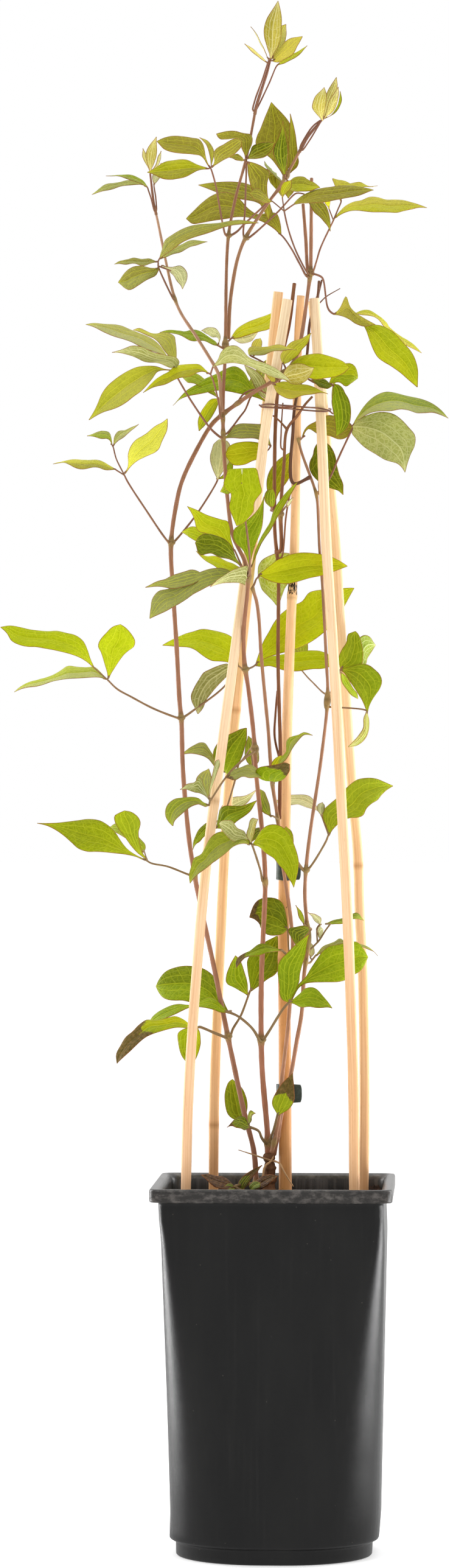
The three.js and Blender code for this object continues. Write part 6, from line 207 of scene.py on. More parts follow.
  ["T","Y","S",0,0,[3,-274,7319,30,-269,7324,59,-265,7329,89,-272,7329,119,-284,7327,149,-300,7321,178,-322,7313,208,-345,7304,237,-368,7294,265,-389,7284,293,-411,7271,320,-428,7257,348,-441,7244],[2,-278,7316,22,-293,7303,44,-309,7290,74,-325,7281,105,-341,7274,136,-357,7268,167,-372,7266,197,-387,7265,228,-400,7265,258,-412,7263,288,-423,7260,318,-434,7253,347,-443,7242],[1,-282,7313,13,-325,7281,30,-367,7250,59,-395,7232,91,-417,7220,124,-432,7214,156,-439,7218,188,-442,7226,219,-443,7234,251,-442,7242,283,-440,7249,315,-440,7249,346,-445,7241]],
  ["T","S","Y",0,0,[58,-232,7446,52,-235,7467,46,-237,7491,53,-245,7514,67,-256,7534,84,-268,7552,104,-281,7567,125,-294,7579,149,-309,7587,173,-323,7594,195,-338,7604,217,-353,7615,238,-366,7627],[61,-235,7444,68,-247,7457,76,-259,7472,89,-272,7490,105,-285,7507,122,-297,7523,139,-309,7538,158,-320,7553,177,-331,7566,195,-340,7578,212,-350,7593,226,-359,7610,239,-368,7626],[64,-238,7442,85,-266,7446,106,-294,7452,125,-314,7464,143,-330,7478,160,-343,7493,175,-353,7509,190,-360,7526,205,-364,7543,218,-367,7562,228,-368,7582,234,-368,7604,241,-369,7625]],
  ["T","S","K",0,0,[-152,-270,7501,-157,-257,7529,-140,-259,7548,-110,-282,7547,-80,-307,7546,-50,-331,7547,-20,-352,7548,10,-371,7550,40,-389,7550,69,-411,7543,98,-432,7533,127,-452,7523,155,-469,7514],[-150,-274,7499,-140,-292,7510,-118,-311,7517,-90,-332,7518,-63,-352,7520,-35,-370,7523,-8,-388,7526,20,-404,7529,47,-419,7530,74,-433,7528,102,-446,7524,129,-459,7518,155,-471,7512],[-148,-279,7497,-123,-336,7491,-96,-376,7486,-70,-392,7488,-45,-406,7492,-21,-419,7498,4,-431,7503,29,-444,7507,55,-455,7510,80,-460,7513,105,-464,7514,130,-468,7513,156,-473,7511]],
  ["T","S","S",0,0,[-129,-252,7491,-128,-239,7502,-132,-225,7515,-135,-210,7529,-138,-195,7542,-139,-181,7556,-138,-167,7570,-135,-152,7583,-129,-138,7594,-119,-123,7603,-109,-109,7610,-97,-95,7614,-87,-81,7618],[-125,-253,7489,-121,-240,7499,-118,-227,7509,-115,-214,7519,-112,-200,7530,-109,-186,7542,-107,-172,7555,-105,-157,7568,-101,-142,7580,-96,-127,7591,-91,-112,7601,-88,-97,7610,-85,-81,7617],[-120,-255,7487,-115,-244,7496,-105,-235,7502,-95,-225,7509,-85,-215,7517,-79,-203,7527,-76,-189,7540,-75,-174,7553,-73,-158,7566,-72,-141,7579,-73,-122,7592,-78,-102,7605,-83,-82,7616]],
  ["T","S","S",0,0,[0,-257,7315,-4,-252,7325,-14,-246,7335,-23,-241,7346,-32,-235,7358,-40,-229,7370,-47,-223,7382,-49,-217,7396,-41,-211,7407,-30,-205,7416,-16,-199,7417,-3,-193,7413,8,-187,7412],[5,-258,7314,2,-252,7323,-1,-247,7332,-4,-241,7341,-8,-235,7351,-12,-230,7361,-17,-224,7371,-18,-217,7382,-15,-211,7392,-10,-205,7400,-3,-199,7405,3,-193,7408,10,-187,7410],[9,-259,7312,9,-255,7321,13,-252,7328,15,-249,7335,16,-245,7343,15,-241,7351,14,-236,7359,12,-230,7368,11,-223,7376,11,-215,7384,10,-206,7393,10,-197,7401,12,-188,7408]],
 ], [
  [12,10,1,[49,-182,7379,56,-210,7374,103,-253,7424,119,-266,7427]],
  [12,10,1,[41,-182,7372,53,-216,7362,40,-276,7350,49,-326,7343,63,-353,7348]],
  [12,10,1,[27,-181,7361,30,-217,7343,-2,-268,7317,2,-278,7316,17,-289,7310]],
  [10,9,1,[84,-178,7407,79,-209,7416,61,-235,7452,61,-235,7444,72,-246,7457]],
  [12,9,1,[21,-180,7358,11,-212,7363,-47,-252,7442,-147,-274,7499,-136,-288,7502]],
  [8,7,0,[-123,-269,7485,-125,-253,7489,-121,-238,7502]],
  [8,7,0,[3,-260,7321,-2,-249,7331]],
 ], [
  [51,[11,-178,7351,34,-183,7366,94,-177,7415]],
 ]],
 "leaf_main_at_tie": [[
  ["B","K","K",0,0,[-376,-258,7431,-344,-304,7468,-321,-360,7511,-280,-407,7540,-228,-440,7540,-187,-453,7508,-152,-465,7469,-104,-490,7448,-52,-524,7435,-3,-555,7414,42,-582,7386,82,-601,7352,119,-615,7315],[-375,-254,7429,-339,-281,7453,-308,-309,7480,-266,-337,7495,-219,-363,7489,-178,-389,7466,-139,-416,7439,-95,-446,7420,-49,-478,7404,-5,-512,7384,38,-546,7361,79,-580,7337,118,-613,7314],[-375,-250,7427,-335,-252,7439,-294,-244,7450,-253,-246,7451,-211,-266,7440,-169,-307,7426,-127,-353,7409,-87,-389,7392,-47,-420,7374,-7,-457,7355,33,-499,7337,75,-553,7324,118,-611,7312]],
  ["T","O","X",0,0,[-400,-239,7382,-432,-280,7392,-466,-328,7386,-498,-370,7369,-530,-408,7354,-563,-435,7342,-598,-449,7330,-631,-458,7318,-665,-477,7304,-699,-487,7293,-733,-487,7280,-766,-489,7265,-798,-495,7249],[-399,-235,7385,-430,-261,7403,-464,-286,7412,-500,-311,7407,-537,-335,7400,-573,-359,7390,-608,-382,7373,-640,-404,7352,-675,-423,7338,-709,-442,7320,-739,-460,7297,-768,-476,7273,-799,-493,7250],[-398,-231,7388,-428,-246,7414,-461,-253,7438,-502,-264,7443,-543,-278,7445,-583,-298,7437,-617,-329,7414,-647,-361,7385,-685,-381,7370,-719,-406,7347,-744,-438,7314,-771,-466,7281,-799,-491,7251]],
 ], [
  [11,9,1,[-319,-75,7116,-334,-107,7120,-344,-158,7211,-395,-235,7385,-415,-247,7387]],
  [9,9,0,[-393,-232,7378,-371,-254,7433,-360,-265,7435]],
 ], [
 ]],
 "leaf_pair_main_upper": [[
  ["T","X","Y",0,0,[-277,74,7633,-265,111,7662,-249,144,7691,-226,171,7713,-199,197,7729,-171,225,7744,-143,255,7758,-116,286,7774,-88,312,7789,-59,331,7802,-30,349,7814,0,366,7825,28,386,7837],[-275,70,7630,-254,94,7646,-230,116,7665,-204,138,7683,-175,161,7696,-145,186,7707,-115,212,7718,-86,240,7731,-59,268,7748,-36,296,7770,-14,325,7792,7,354,7814,29,384,7836],[-273,67,7627,-242,70,7629,-211,77,7638,-181,93,7651,-150,112,7662,-118,132,7670,-87,154,7677,-55,176,7686,-29,207,7706,-12,248,7736,2,292,7769,15,338,7803,30,382,7835]],
  ["B","P","P",0,0,[-261,88,7631,-251,92,7637,-240,93,7645,-228,97,7651,-215,103,7655,-201,110,7658,-188,118,7661,-175,127,7663,-162,136,7664,-149,146,7668,-136,157,7672,-123,167,7676,-111,176,7682],[-260,91,7628,-250,98,7627,-238,106,7627,-224,113,7628,-210,121,7629,-195,129,7631,-181,137,7635,-167,144,7639,-154,151,7645,-141,158,7652,-131,165,7661,-120,171,7671,-110,178,7680],[-260,94,7624,-249,108,7618,-236,125,7610,-222,138,7605,-206,149,7604,-190,158,7605,-174,166,7610,-159,171,7617,-146,174,7626,-134,176,7638,-126,177,7651,-118,178,7666,-109,179,7679]],
  ["T","G","G",0,0,[-349,-87,7570,-380,-100,7574,-410,-95,7586,-439,-90,7598,-471,-87,7602,-504,-76,7605,-536,-47,7615,-567,-4,7632,-599,27,7645,-632,57,7655,-665,93,7665,-699,130,7672,-733,169,7677],[-349,-83,7572,-375,-65,7589,-404,-49,7606,-433,-31,7624,-465,-13,7635,-498,7,7642,-532,26,7649,-564,47,7656,-597,69,7665,-631,94,7673,-665,119,7677,-699,145,7678,-733,171,7678],[-348,-78,7574,-371,-35,7603,-399,-8,7626,-427,19,7649,-458,51,7668,-492,77,7679,-527,89,7682,-561,90,7678,-595,106,7684,-630,125,7689,-665,141,7689,-700,157,7685,-733,173,7679]],
  ["B","P","P",0,0,[-346,-88,7573,-345,-103,7587,-345,-113,7600,-349,-123,7611,-359,-128,7619,-371,-136,7622,-384,-147,7623,-396,-162,7625,-407,-183,7630,-417,-211,7634,-426,-245,7639,-435,-281,7644,-445,-315,7647],[-344,-93,7575,-343,-109,7589,-341,-125,7603,-341,-142,7616,-346,-160,7628,-356,-179,7635,-368,-198,7641,-381,-218,7646,-394,-237,7651,-407,-257,7653,-420,-277,7652,-432,-297,7650,-445,-317,7648],[-342,-97,7576,-341,-113,7590,-336,-134,7606,-332,-158,7622,-333,-186,7637,-341,-214,7649,-352,-240,7659,-366,-263,7667,-381,-282,7672,-398,-295,7672,-414,-303,7665,-429,-310,7656,-444,-319,7649]],
 ], [
  [10,9,1,[-308,-13,7604,-299,15,7602,-267,71,7637,-275,70,7630,-261,82,7639]],
  [10,9,1,[-309,-17,7560,-322,-27,7561,-356,-83,7576,-349,-83,7572,-364,-74,7580]],
  [8,7,0,[-261,82,7639,-260,91,7628,-244,102,7629]],
  [8,7,0,[-349,-83,7572,-348,-109,7586]],
 ], [
  [48,[-309,-18,7547,-308,-12,7617]],
 ]],
 "leaf_main_left": [[
  ["T","M","Y",0,0,[-612,-327,7398,-667,-349,7401,-715,-378,7385,-744,-413,7340,-776,-443,7297,-813,-465,7259,-857,-479,7229,-898,-491,7196,-942,-499,7166,-989,-500,7144,-1040,-495,7128,-1088,-491,7106,-1134,-488,7080],[-615,-325,7402,-669,-346,7404,-721,-365,7404,-765,-380,7383,-810,-395,7360,-855,-410,7329,-901,-425,7298,-944,-438,7263,-986,-449,7228,-1026,-460,7193,-1063,-470,7157,-1098,-479,7119,-1136,-487,7081],[-618,-322,7405,-672,-345,7407,-727,-359,7422,-785,-365,7426,-842,-372,7421,-895,-383,7398,-943,-398,7365,-987,-411,7328,-1029,-424,7288,-1062,-440,7240,-1084,-458,7186,-1108,-474,7133,-1137,-486,7083]],
  ["B","K","K",0,0,[-607,-320,7412,-639,-305,7418,-671,-310,7429,-702,-335,7438,-735,-362,7443,-767,-385,7447,-800,-406,7453,-831,-429,7463,-861,-460,7473,-891,-498,7482,-920,-541,7490,-952,-582,7492,-984,-619,7488],[-604,-324,7413,-608,-348,7431,-633,-370,7452,-669,-390,7460,-705,-411,7464,-741,-434,7470,-775,-459,7482,-809,-485,7495,-844,-511,7502,-879,-537,7506,-913,-564,7504,-948,-592,7498,-983,-621,7489],[-601,-328,7414,-578,-380,7444,-596,-414,7476,-636,-430,7483,-676,-448,7486,-715,-470,7495,-752,-497,7511,-788,-525,7527,-827,-548,7533,-868,-566,7531,-907,-581,7519,-945,-600,7504,-983,-623,7491]],
  ["T","P","M",0,0,[-613,-319,7417,-636,-314,7465,-681,-326,7490,-728,-342,7509,-776,-347,7529,-824,-346,7551,-873,-336,7571,-924,-321,7587,-975,-301,7607,-1024,-272,7632,-1074,-236,7656,-1125,-196,7681,-1178,-151,7701],[-615,-315,7418,-640,-308,7466,-677,-299,7503,-719,-290,7535,-765,-280,7563,-812,-268,7591,-862,-255,7614,-915,-241,7629,-967,-224,7648,-1019,-207,7667,-1071,-188,7683,-1124,-168,7697,-1178,-149,7703],[-618,-310,7418,-643,-302,7466,-672,-277,7516,-709,-247,7561,-753,-224,7597,-800,-204,7630,-851,-189,7655,-905,-175,7671,-958,-161,7689,-1013,-153,7702,-1068,-148,7709,-1124,-146,7712,-1178,-147,7704]],
  ["T","M","M",0,0,[-604,-307,7420,-618,-292,7449,-637,-281,7474,-656,-268,7500,-675,-254,7525,-695,-237,7551,-716,-206,7577,-740,-171,7601,-767,-134,7622,-796,-100,7639,-827,-68,7653,-858,-36,7666,-890,2,7678],[-601,-304,7422,-610,-282,7456,-620,-259,7490,-631,-236,7523,-643,-212,7557,-658,-187,7590,-686,-163,7612,-718,-139,7626,-751,-114,7635,-785,-86,7649,-820,-56,7664,-854,-25,7678,-889,4,7680],[-598,-301,7425,-602,-275,7463,-603,-246,7504,-606,-216,7545,-611,-185,7587,-620,-155,7627,-655,-137,7645,-695,-120,7650,-735,-102,7648,-774,-77,7657,-812,-49,7674,-850,-19,7689,-888,5,7682]],
 ], [
  [12,9,1,[-317,-93,6990,-332,-112,6994,-391,-159,7043,-426,-187,7088,-527,-261,7239,-615,-325,7398,-615,-325,7402,-633,-331,7398]],
  [8,7,0,[-615,-325,7402,-604,-324,7413,-618,-336,7420]],
  [8,7,0,[-607,-324,7410,-615,-315,7418,-630,-311,7431]],
  [8,7,0,[-615,-315,7418,-601,-304,7422,-606,-294,7439]],
 ], [
 ]],
 "leaf_left_at_tie": [[
  ["T","G","G",0,0,[-22,-12,7202,-71,-10,7231,-121,-15,7253,-172,-23,7269,-225,-35,7278,-279,-33,7285,-334,-8,7291,-389,18,7290,-445,44,7285,-500,78,7280,-555,111,7270,-606,144,7249,-649,173,7215],[-23,-9,7206,-73,0,7241,-120,10,7278,-165,23,7316,-210,37,7350,-267,51,7369,-326,63,7363,-385,77,7351,-443,94,7336,-498,111,7314,-554,131,7290,-604,152,7257,-649,174,7216],[-24,-6,7210,-75,6,7250,-119,26,7303,-157,53,7361,-195,85,7420,-253,107,7452,-317,110,7434,-379,116,7410,-441,126,7387,-496,132,7347,-552,143,7310,-602,157,7265,-648,176,7218]],
  ["B","K","K",0,0,[-34,-17,7229,-52,-18,7241,-74,-17,7251,-91,-19,7266,-105,-22,7285,-117,-26,7305,-127,-33,7325,-137,-42,7346,-147,-53,7366,-159,-64,7386,-170,-77,7405,-178,-91,7426,-185,-105,7446],[-30,-19,7232,-43,-25,7248,-55,-32,7264,-66,-38,7284,-75,-44,7305,-85,-51,7326,-96,-58,7347,-108,-65,7366,-122,-72,7385,-138,-80,7401,-154,-89,7417,-169,-97,7432,-184,-106,7447],[-27,-21,7235,-34,-29,7255,-37,-38,7279,-41,-46,7302,-46,-54,7326,-53,-61,7349,-65,-68,7370,-80,-74,7388,-98,-80,7404,-118,-87,7418,-139,-94,7429,-161,-100,7439,-182,-107,7449]],
 ], [
  [9,9,1,[-227,-35,7215,-232,-43,7212,-206,-46,7256,-186,-46,7275,-149,-44,7294,-112,-43,7301,-83,-40,7293,-52,-33,7273,-36,-27,7252,-26,-19,7220,-40,-24,7249]],
  [8,7,0,[-26,-19,7220,-23,-9,7206,-38,-5,7218]],
 ], [
 ]],
 "leaf_left_of_tie": [[
  ["T","H","X",0,0,[-343,35,7245,-350,16,7227,-355,-4,7206,-362,-21,7186,-371,-34,7167,-381,-46,7148,-390,-56,7129,-400,-65,7111,-412,-71,7095,-426,-76,7080,-440,-78,7065,-456,-79,7051,-469,-79,7037],[-346,37,7248,-360,27,7238,-374,16,7226,-388,5,7210,-400,-7,7192,-412,-17,7173,-422,-27,7154,-432,-37,7134,-442,-46,7114,-452,-54,7095,-460,-62,7076,-466,-70,7057,-471,-78,7038],[-349,40,7251,-370,32,7248,-393,27,7246,-413,18,7234,-428,8,7217,-442,-2,7197,-454,-12,7177,-464,-22,7155,-471,-32,7133,-478,-43,7110,-480,-53,7086,-477,-66,7062,-473,-77,7039]],
  ["T","H","H",0,0,[-352,43,7246,-370,54,7261,-390,60,7274,-409,68,7286,-429,76,7298,-449,86,7310,-469,99,7323,-489,118,7336,-510,139,7349,-532,159,7357,-556,183,7362,-575,227,7380,-593,275,7399],[-351,47,7249,-368,63,7267,-386,79,7285,-404,95,7303,-422,113,7321,-440,131,7338,-460,150,7355,-481,170,7371,-504,191,7384,-528,213,7393,-553,235,7398,-574,256,7400,-592,277,7401],[-350,51,7252,-366,70,7273,-382,93,7296,-398,117,7320,-414,141,7343,-431,166,7366,-450,190,7387,-473,211,7404,-497,232,7417,-524,255,7428,-551,276,7432,-573,279,7419,-592,279,7402]],
 ], [
  [9,9,1,[-322,7,7150,-341,-7,7172,-346,37,7244,-346,37,7248,-357,27,7235]],
  [8,7,0,[-346,37,7248,-363,58,7261]],
 ], [
 ]],
 "leaf_pair_left_upper": [[
  ["T","O","W",0,0,[-980,-325,6783,-1009,-380,6778,-1039,-429,6776,-1069,-460,6782,-1100,-493,6783,-1130,-528,6778,-1162,-551,6776,-1194,-564,6779,-1225,-571,6786,-1256,-567,6798,-1287,-564,6810,-1320,-571,6809,-1352,-579,6804],[-980,-320,6785,-1009,-345,6792,-1038,-371,6799,-1069,-397,6807,-1100,-421,6811,-1132,-444,6811,-1164,-466,6810,-1196,-487,6810,-1227,-507,6811,-1258,-526,6815,-1289,-544,6818,-1321,-561,6813,-1352,-577,6805],[-980,-316,6787,-1008,-316,6805,-1037,-320,6821,-1068,-341,6832,-1100,-358,6839,-1132,-371,6843,-1165,-393,6843,-1197,-420,6840,-1229,-452,6835,-1260,-491,6831,-1291,-527,6825,-1322,-551,6817,-1352,-574,6806]],
  ["T","W","W",0,0,[-928,-307,6761,-907,-322,6794,-902,-334,6831,-902,-344,6869,-891,-352,6906,-873,-361,6939,-847,-369,6968,-813,-378,6988,-780,-389,7008,-750,-398,7032,-718,-407,7053,-683,-416,7070,-653,-426,7093],[-924,-308,6759,-902,-323,6791,-885,-336,6823,-869,-348,6853,-847,-358,6880,-820,-368,6905,-789,-377,6927,-757,-386,6949,-733,-396,6976,-711,-404,7006,-687,-411,7034,-666,-419,7062,-651,-426,7092],[-919,-309,6756,-897,-326,6787,-868,-345,6814,-836,-365,6836,-801,-383,6853,-765,-398,6869,-729,-411,6884,-700,-419,6908,-685,-423,6944,-670,-426,6979,-655,-428,7015,-649,-428,7053,-649,-427,7091]],
  ["T","G","K",0,0,[-1009,-186,6935,-1015,-181,6951,-1022,-182,6965,-1031,-183,6977,-1045,-189,6984,-1060,-191,6985,-1076,-184,6986,-1092,-172,6989,-1108,-157,6994,-1125,-140,6998,-1141,-123,7002,-1158,-106,7005,-1175,-91,7007],[-1008,-181,6938,-1013,-175,6955,-1018,-169,6972,-1025,-162,6988,-1035,-154,7002,-1050,-147,7010,-1068,-139,7013,-1086,-132,7014,-1103,-124,7013,-1121,-116,7013,-1139,-107,7012,-1157,-98,7010,-1174,-89,7009],[-1006,-177,6940,-1011,-170,6958,-1014,-159,6978,-1018,-145,6999,-1024,-127,7019,-1038,-111,7035,-1058,-104,7038,-1079,-100,7038,-1098,-98,7033,-1117,-97,7027,-1136,-94,7021,-1155,-91,7015,-1174,-87,7010]],
  ["T","K","P",0,0,[-1007,-178,6940,-1003,-160,6959,-1003,-139,6980,-1000,-118,7001,-992,-98,7020,-981,-78,7036,-964,-62,7045,-944,-47,7047,-926,-31,7054,-909,-13,7063,-892,6,7071,-874,26,7080,-858,47,7091],[-1004,-181,6938,-998,-165,6955,-992,-149,6972,-984,-133,6989,-973,-116,7004,-961,-98,7017,-946,-80,7028,-930,-61,7035,-915,-41,7045,-900,-21,7056,-886,1,7067,-871,23,7078,-857,45,7089],[-1001,-185,6936,-992,-173,6951,-980,-164,6964,-968,-154,6976,-954,-142,6987,-940,-127,6998,-928,-106,7010,-916,-81,7022,-904,-57,7035,-892,-32,7049,-880,-7,7062,-869,19,7076,-856,44,7088]],
  ["B","P","P",0,0,[-365,97,6742,-373,105,6763,-384,114,6785,-394,122,6807,-402,129,6830,-409,136,6853,-412,143,6877,-411,148,6901,-405,153,6924,-399,157,6947,-392,161,6970,-375,164,6986,-358,167,6999],[-361,97,6742,-359,103,6764,-357,109,6786,-355,115,6809,-351,121,6832,-348,126,6855,-345,131,6880,-342,136,6906,-341,142,6931,-342,147,6956,-347,153,6978,-352,160,6991,-356,167,7000],[-356,97,6743,-346,106,6765,-331,114,6789,-316,122,6812,-301,130,6835,-287,137,6859,-278,143,6885,-274,149,6912,-277,154,6940,-286,158,6966,-302,161,6988,-329,164,6996,-353,167,7000]],
  ["T","G","G",0,0,[-373,118,6751,-353,132,6758,-337,149,6770,-325,166,6786,-317,182,6804,-311,198,6824,-310,215,6845,-313,233,6865,-317,251,6886,-322,271,6906,-329,290,6926,-335,309,6947,-342,328,6967],[-369,116,6747,-348,132,6754,-328,148,6761,-310,165,6772,-298,181,6791,-291,197,6814,-289,214,6838,-291,232,6861,-295,251,6885,-303,270,6908,-314,289,6929,-326,309,6949,-340,328,6967],[-366,115,6744,-344,130,6749,-319,143,6751,-294,157,6758,-278,172,6778,-271,188,6803,-268,206,6830,-268,224,6857,-273,243,6883,-283,262,6909,-298,283,6932,-318,305,6951,-337,327,6968]],
 ], [
  [11,9,1,[-643,-126,6334,-657,-141,6337,-812,-244,6561,-905,-302,6707,-927,-313,6751]],
  [8,8,0,[-925,-312,6748,-983,-326,6785,-980,-320,6785,-995,-333,6788]],
  [8,7,0,[-927,-313,6751,-982,-235,6858,-1008,-181,6942,-1019,-174,6952]],
  [11,9,1,[-642,-125,6342,-632,-105,6339,-575,-57,6404,-471,17,6548,-364,97,6735,-358,103,6761]],
  [8,7,0,[-930,-309,6757,-914,-316,6774]],
  [8,7,0,[-1007,-183,6938,-997,-168,6952]],
  [8,7,0,[-361,100,6749,-369,116,6747,-359,129,6759]],
 ], [
  [53,[-644,-126,6321,-641,-124,6355]],
 ]],
 "leaf_pair_left_middle": [[
  ["T","J","J",0,0,[-1105,-469,5543,-1144,-511,5578,-1188,-561,5604,-1237,-610,5622,-1287,-648,5636,-1338,-674,5650,-1390,-698,5662,-1443,-713,5672,-1496,-731,5672,-1549,-745,5681,-1597,-753,5705,-1626,-744,5751,-1665,-732,5790],[-1103,-466,5545,-1135,-493,5589,-1167,-520,5630,-1205,-545,5664,-1253,-570,5690,-1306,-596,5705,-1359,-619,5719,-1414,-642,5722,-1469,-661,5724,-1524,-678,5731,-1576,-695,5748,-1618,-712,5776,-1664,-730,5792],[-1101,-462,5548,-1125,-481,5600,-1145,-491,5655,-1172,-499,5707,-1217,-517,5743,-1271,-542,5760,-1327,-565,5775,-1383,-592,5773,-1441,-612,5775,-1498,-632,5779,-1554,-655,5791,-1609,-691,5800,-1663,-729,5793]],
  ["T","P","J",0,0,[-1029,-447,5472,-1074,-470,5487,-1121,-497,5488,-1171,-486,5483,-1220,-478,5477,-1269,-472,5471,-1320,-433,5464,-1371,-399,5457,-1421,-376,5445,-1471,-348,5435,-1523,-314,5430,-1574,-272,5418,-1622,-230,5398],[-1029,-443,5474,-1070,-429,5503,-1116,-416,5522,-1168,-405,5518,-1220,-392,5515,-1273,-376,5513,-1322,-361,5496,-1371,-344,5481,-1422,-323,5468,-1474,-300,5456,-1527,-277,5446,-1577,-253,5426,-1622,-228,5399],[-1028,-438,5476,-1065,-395,5519,-1109,-347,5556,-1164,-336,5553,-1220,-319,5552,-1277,-296,5555,-1322,-301,5527,-1370,-296,5505,-1422,-278,5491,-1476,-260,5478,-1530,-246,5462,-1579,-237,5434,-1623,-226,5400]],
  ["T","J","J",0,0,[-1022,-442,5478,-1023,-462,5512,-1030,-481,5545,-1040,-500,5578,-1050,-518,5611,-1060,-534,5643,-1073,-549,5674,-1066,-563,5707,-1045,-575,5735,-1019,-587,5759,-995,-598,5784,-966,-608,5803,-933,-619,5809],[-1017,-442,5478,-1010,-460,5510,-1004,-477,5542,-998,-493,5574,-993,-508,5605,-987,-521,5636,-979,-533,5662,-961,-544,5689,-944,-557,5720,-937,-572,5749,-935,-587,5776,-934,-603,5796,-931,-619,5809],[-1013,-442,5477,-998,-462,5509,-977,-482,5539,-956,-500,5569,-935,-518,5599,-912,-535,5628,-883,-551,5650,-852,-564,5670,-842,-577,5704,-853,-588,5737,-874,-599,5766,-901,-609,5790,-928,-619,5808]],
  ["B","K","K",0,0,[-267,83,5548,-285,86,5528,-303,84,5503,-322,78,5480,-343,70,5457,-364,61,5436,-385,48,5415,-403,33,5390,-419,16,5365,-432,-1,5338,-443,-23,5309,-458,-49,5284,-477,-77,5262],[-268,81,5552,-290,66,5554,-319,54,5540,-347,42,5520,-376,30,5500,-405,17,5479,-428,4,5452,-447,-10,5423,-463,-24,5391,-476,-39,5358,-479,-53,5323,-478,-66,5292,-479,-78,5263],[-269,78,5557,-296,56,5581,-336,39,5576,-373,24,5561,-410,9,5542,-446,-7,5523,-471,-19,5490,-492,-31,5455,-508,-45,5417,-521,-58,5378,-516,-69,5337,-498,-75,5300,-481,-80,5264]],
 ], [
  [11,9,1,[-578,-163,5236,-590,-183,5235,-740,-292,5292,-881,-377,5367,-965,-417,5415,-1021,-442,5470]],
  [8,7,0,[-1021,-442,5470,-1107,-466,5549,-1116,-475,5558]],
  [11,9,1,[-579,-163,5242,-565,-142,5243,-496,-71,5293,-350,37,5406,-300,67,5460,-268,81,5522]],
  [8,7,0,[-1027,-444,5476,-1048,-438,5478]],
  [8,7,0,[-1023,-443,5472,-1014,-452,5495]],
  [8,7,0,[-268,81,5522,-268,81,5552,-285,74,5544]],
 ], [
  [55,[-577,-163,5223,-580,-163,5255]],
 ]],
 "leaf_left_lower": [[
  ["T","L","L",0,0,[-794,-335,4346,-849,-375,4370,-906,-420,4385,-964,-471,4395,-1022,-522,4403,-1080,-570,4406,-1138,-612,4404,-1195,-635,4422,-1239,-639,4463,-1282,-639,4506,-1331,-641,4543,-1385,-648,4569,-1444,-662,4582],[-793,-332,4350,-848,-368,4377,-902,-403,4403,-953,-435,4432,-1001,-463,4461,-1052,-490,4486,-1108,-516,4502,-1167,-543,4515,-1219,-571,4533,-1271,-597,4549,-1325,-621,4563,-1383,-642,4576,-1444,-661,4584],[-792,-329,4354,-846,-365,4384,-898,-393,4421,-940,-413,4468,-978,-428,4520,-1023,-443,4566,-1076,-459,4600,-1137,-488,4610,-1198,-531,4602,-1258,-572,4592,-1319,-610,4583,-1381,-638,4582,-1443,-659,4585]],
  ["T","L","H",0,0,[-785,-343,4351,-811,-363,4371,-838,-384,4393,-861,-404,4419,-883,-423,4447,-902,-441,4476,-922,-458,4504,-943,-474,4532,-961,-489,4562,-975,-500,4594,-975,-509,4629,-944,-514,4646,-913,-518,4658],[-781,-342,4354,-805,-360,4375,-825,-379,4400,-841,-396,4428,-854,-412,4458,-865,-427,4488,-875,-441,4517,-882,-452,4547,-890,-463,4577,-903,-474,4607,-915,-488,4634,-913,-502,4649,-911,-518,4658],[-777,-341,4357,-798,-361,4380,-812,-379,4407,-820,-396,4438,-825,-413,4469,-828,-428,4500,-827,-442,4531,-819,-453,4561,-817,-464,4592,-830,-476,4620,-853,-489,4640,-881,-503,4653,-908,-517,4658]],
  ["T","H","H",0,0,[-817,-177,4396,-834,-167,4408,-855,-152,4419,-875,-128,4432,-893,-101,4447,-911,-71,4463,-929,-40,4479,-950,-8,4492,-971,23,4503,-994,56,4513,-1018,97,4522,-1042,146,4531,-1067,195,4537],[-814,-173,4397,-819,-144,4415,-833,-117,4434,-854,-91,4451,-875,-64,4469,-896,-35,4486,-917,-6,4503,-941,26,4518,-965,59,4532,-990,94,4544,-1017,128,4548,-1042,162,4544,-1066,196,4539],[-811,-169,4399,-803,-128,4423,-810,-92,4450,-832,-64,4471,-855,-38,4491,-879,-10,4510,-905,18,4527,-931,50,4544,-957,85,4561,-985,121,4575,-1016,150,4574,-1042,173,4557,-1066,198,4541]],
 ], [
  [11,9,1,[-497,-122,4255,-514,-140,4252,-659,-247,4309,-760,-311,4331,-789,-332,4350,-808,-342,4358]],
  [8,7,0,[-782,-327,4346,-814,-173,4409,-814,-173,4397,-822,-158,4408]],
  [8,7,0,[-789,-332,4350,-781,-342,4354,-791,-352,4368]],
 ], [
 ]],
 "leaf_pair_main_middle": [[
  ["T","J","J",0,0,[-229,10,5567,-267,2,5580,-307,-8,5588,-348,-16,5594,-390,-13,5601,-428,0,5619,-466,21,5641,-502,46,5664,-542,74,5680,-585,100,5688,-628,128,5693,-672,159,5697,-716,190,5699],[-227,13,5570,-250,26,5602,-275,41,5634,-304,55,5664,-345,68,5686,-390,80,5704,-436,92,5719,-481,105,5732,-528,119,5732,-577,137,5731,-624,154,5724,-670,173,5714,-715,192,5701],[-224,15,5573,-233,41,5625,-242,69,5680,-258,97,5733,-299,116,5769,-351,126,5789,-405,133,5797,-460,139,5798,-513,145,5784,-567,158,5775,-619,170,5756,-668,181,5730,-715,193,5704]],
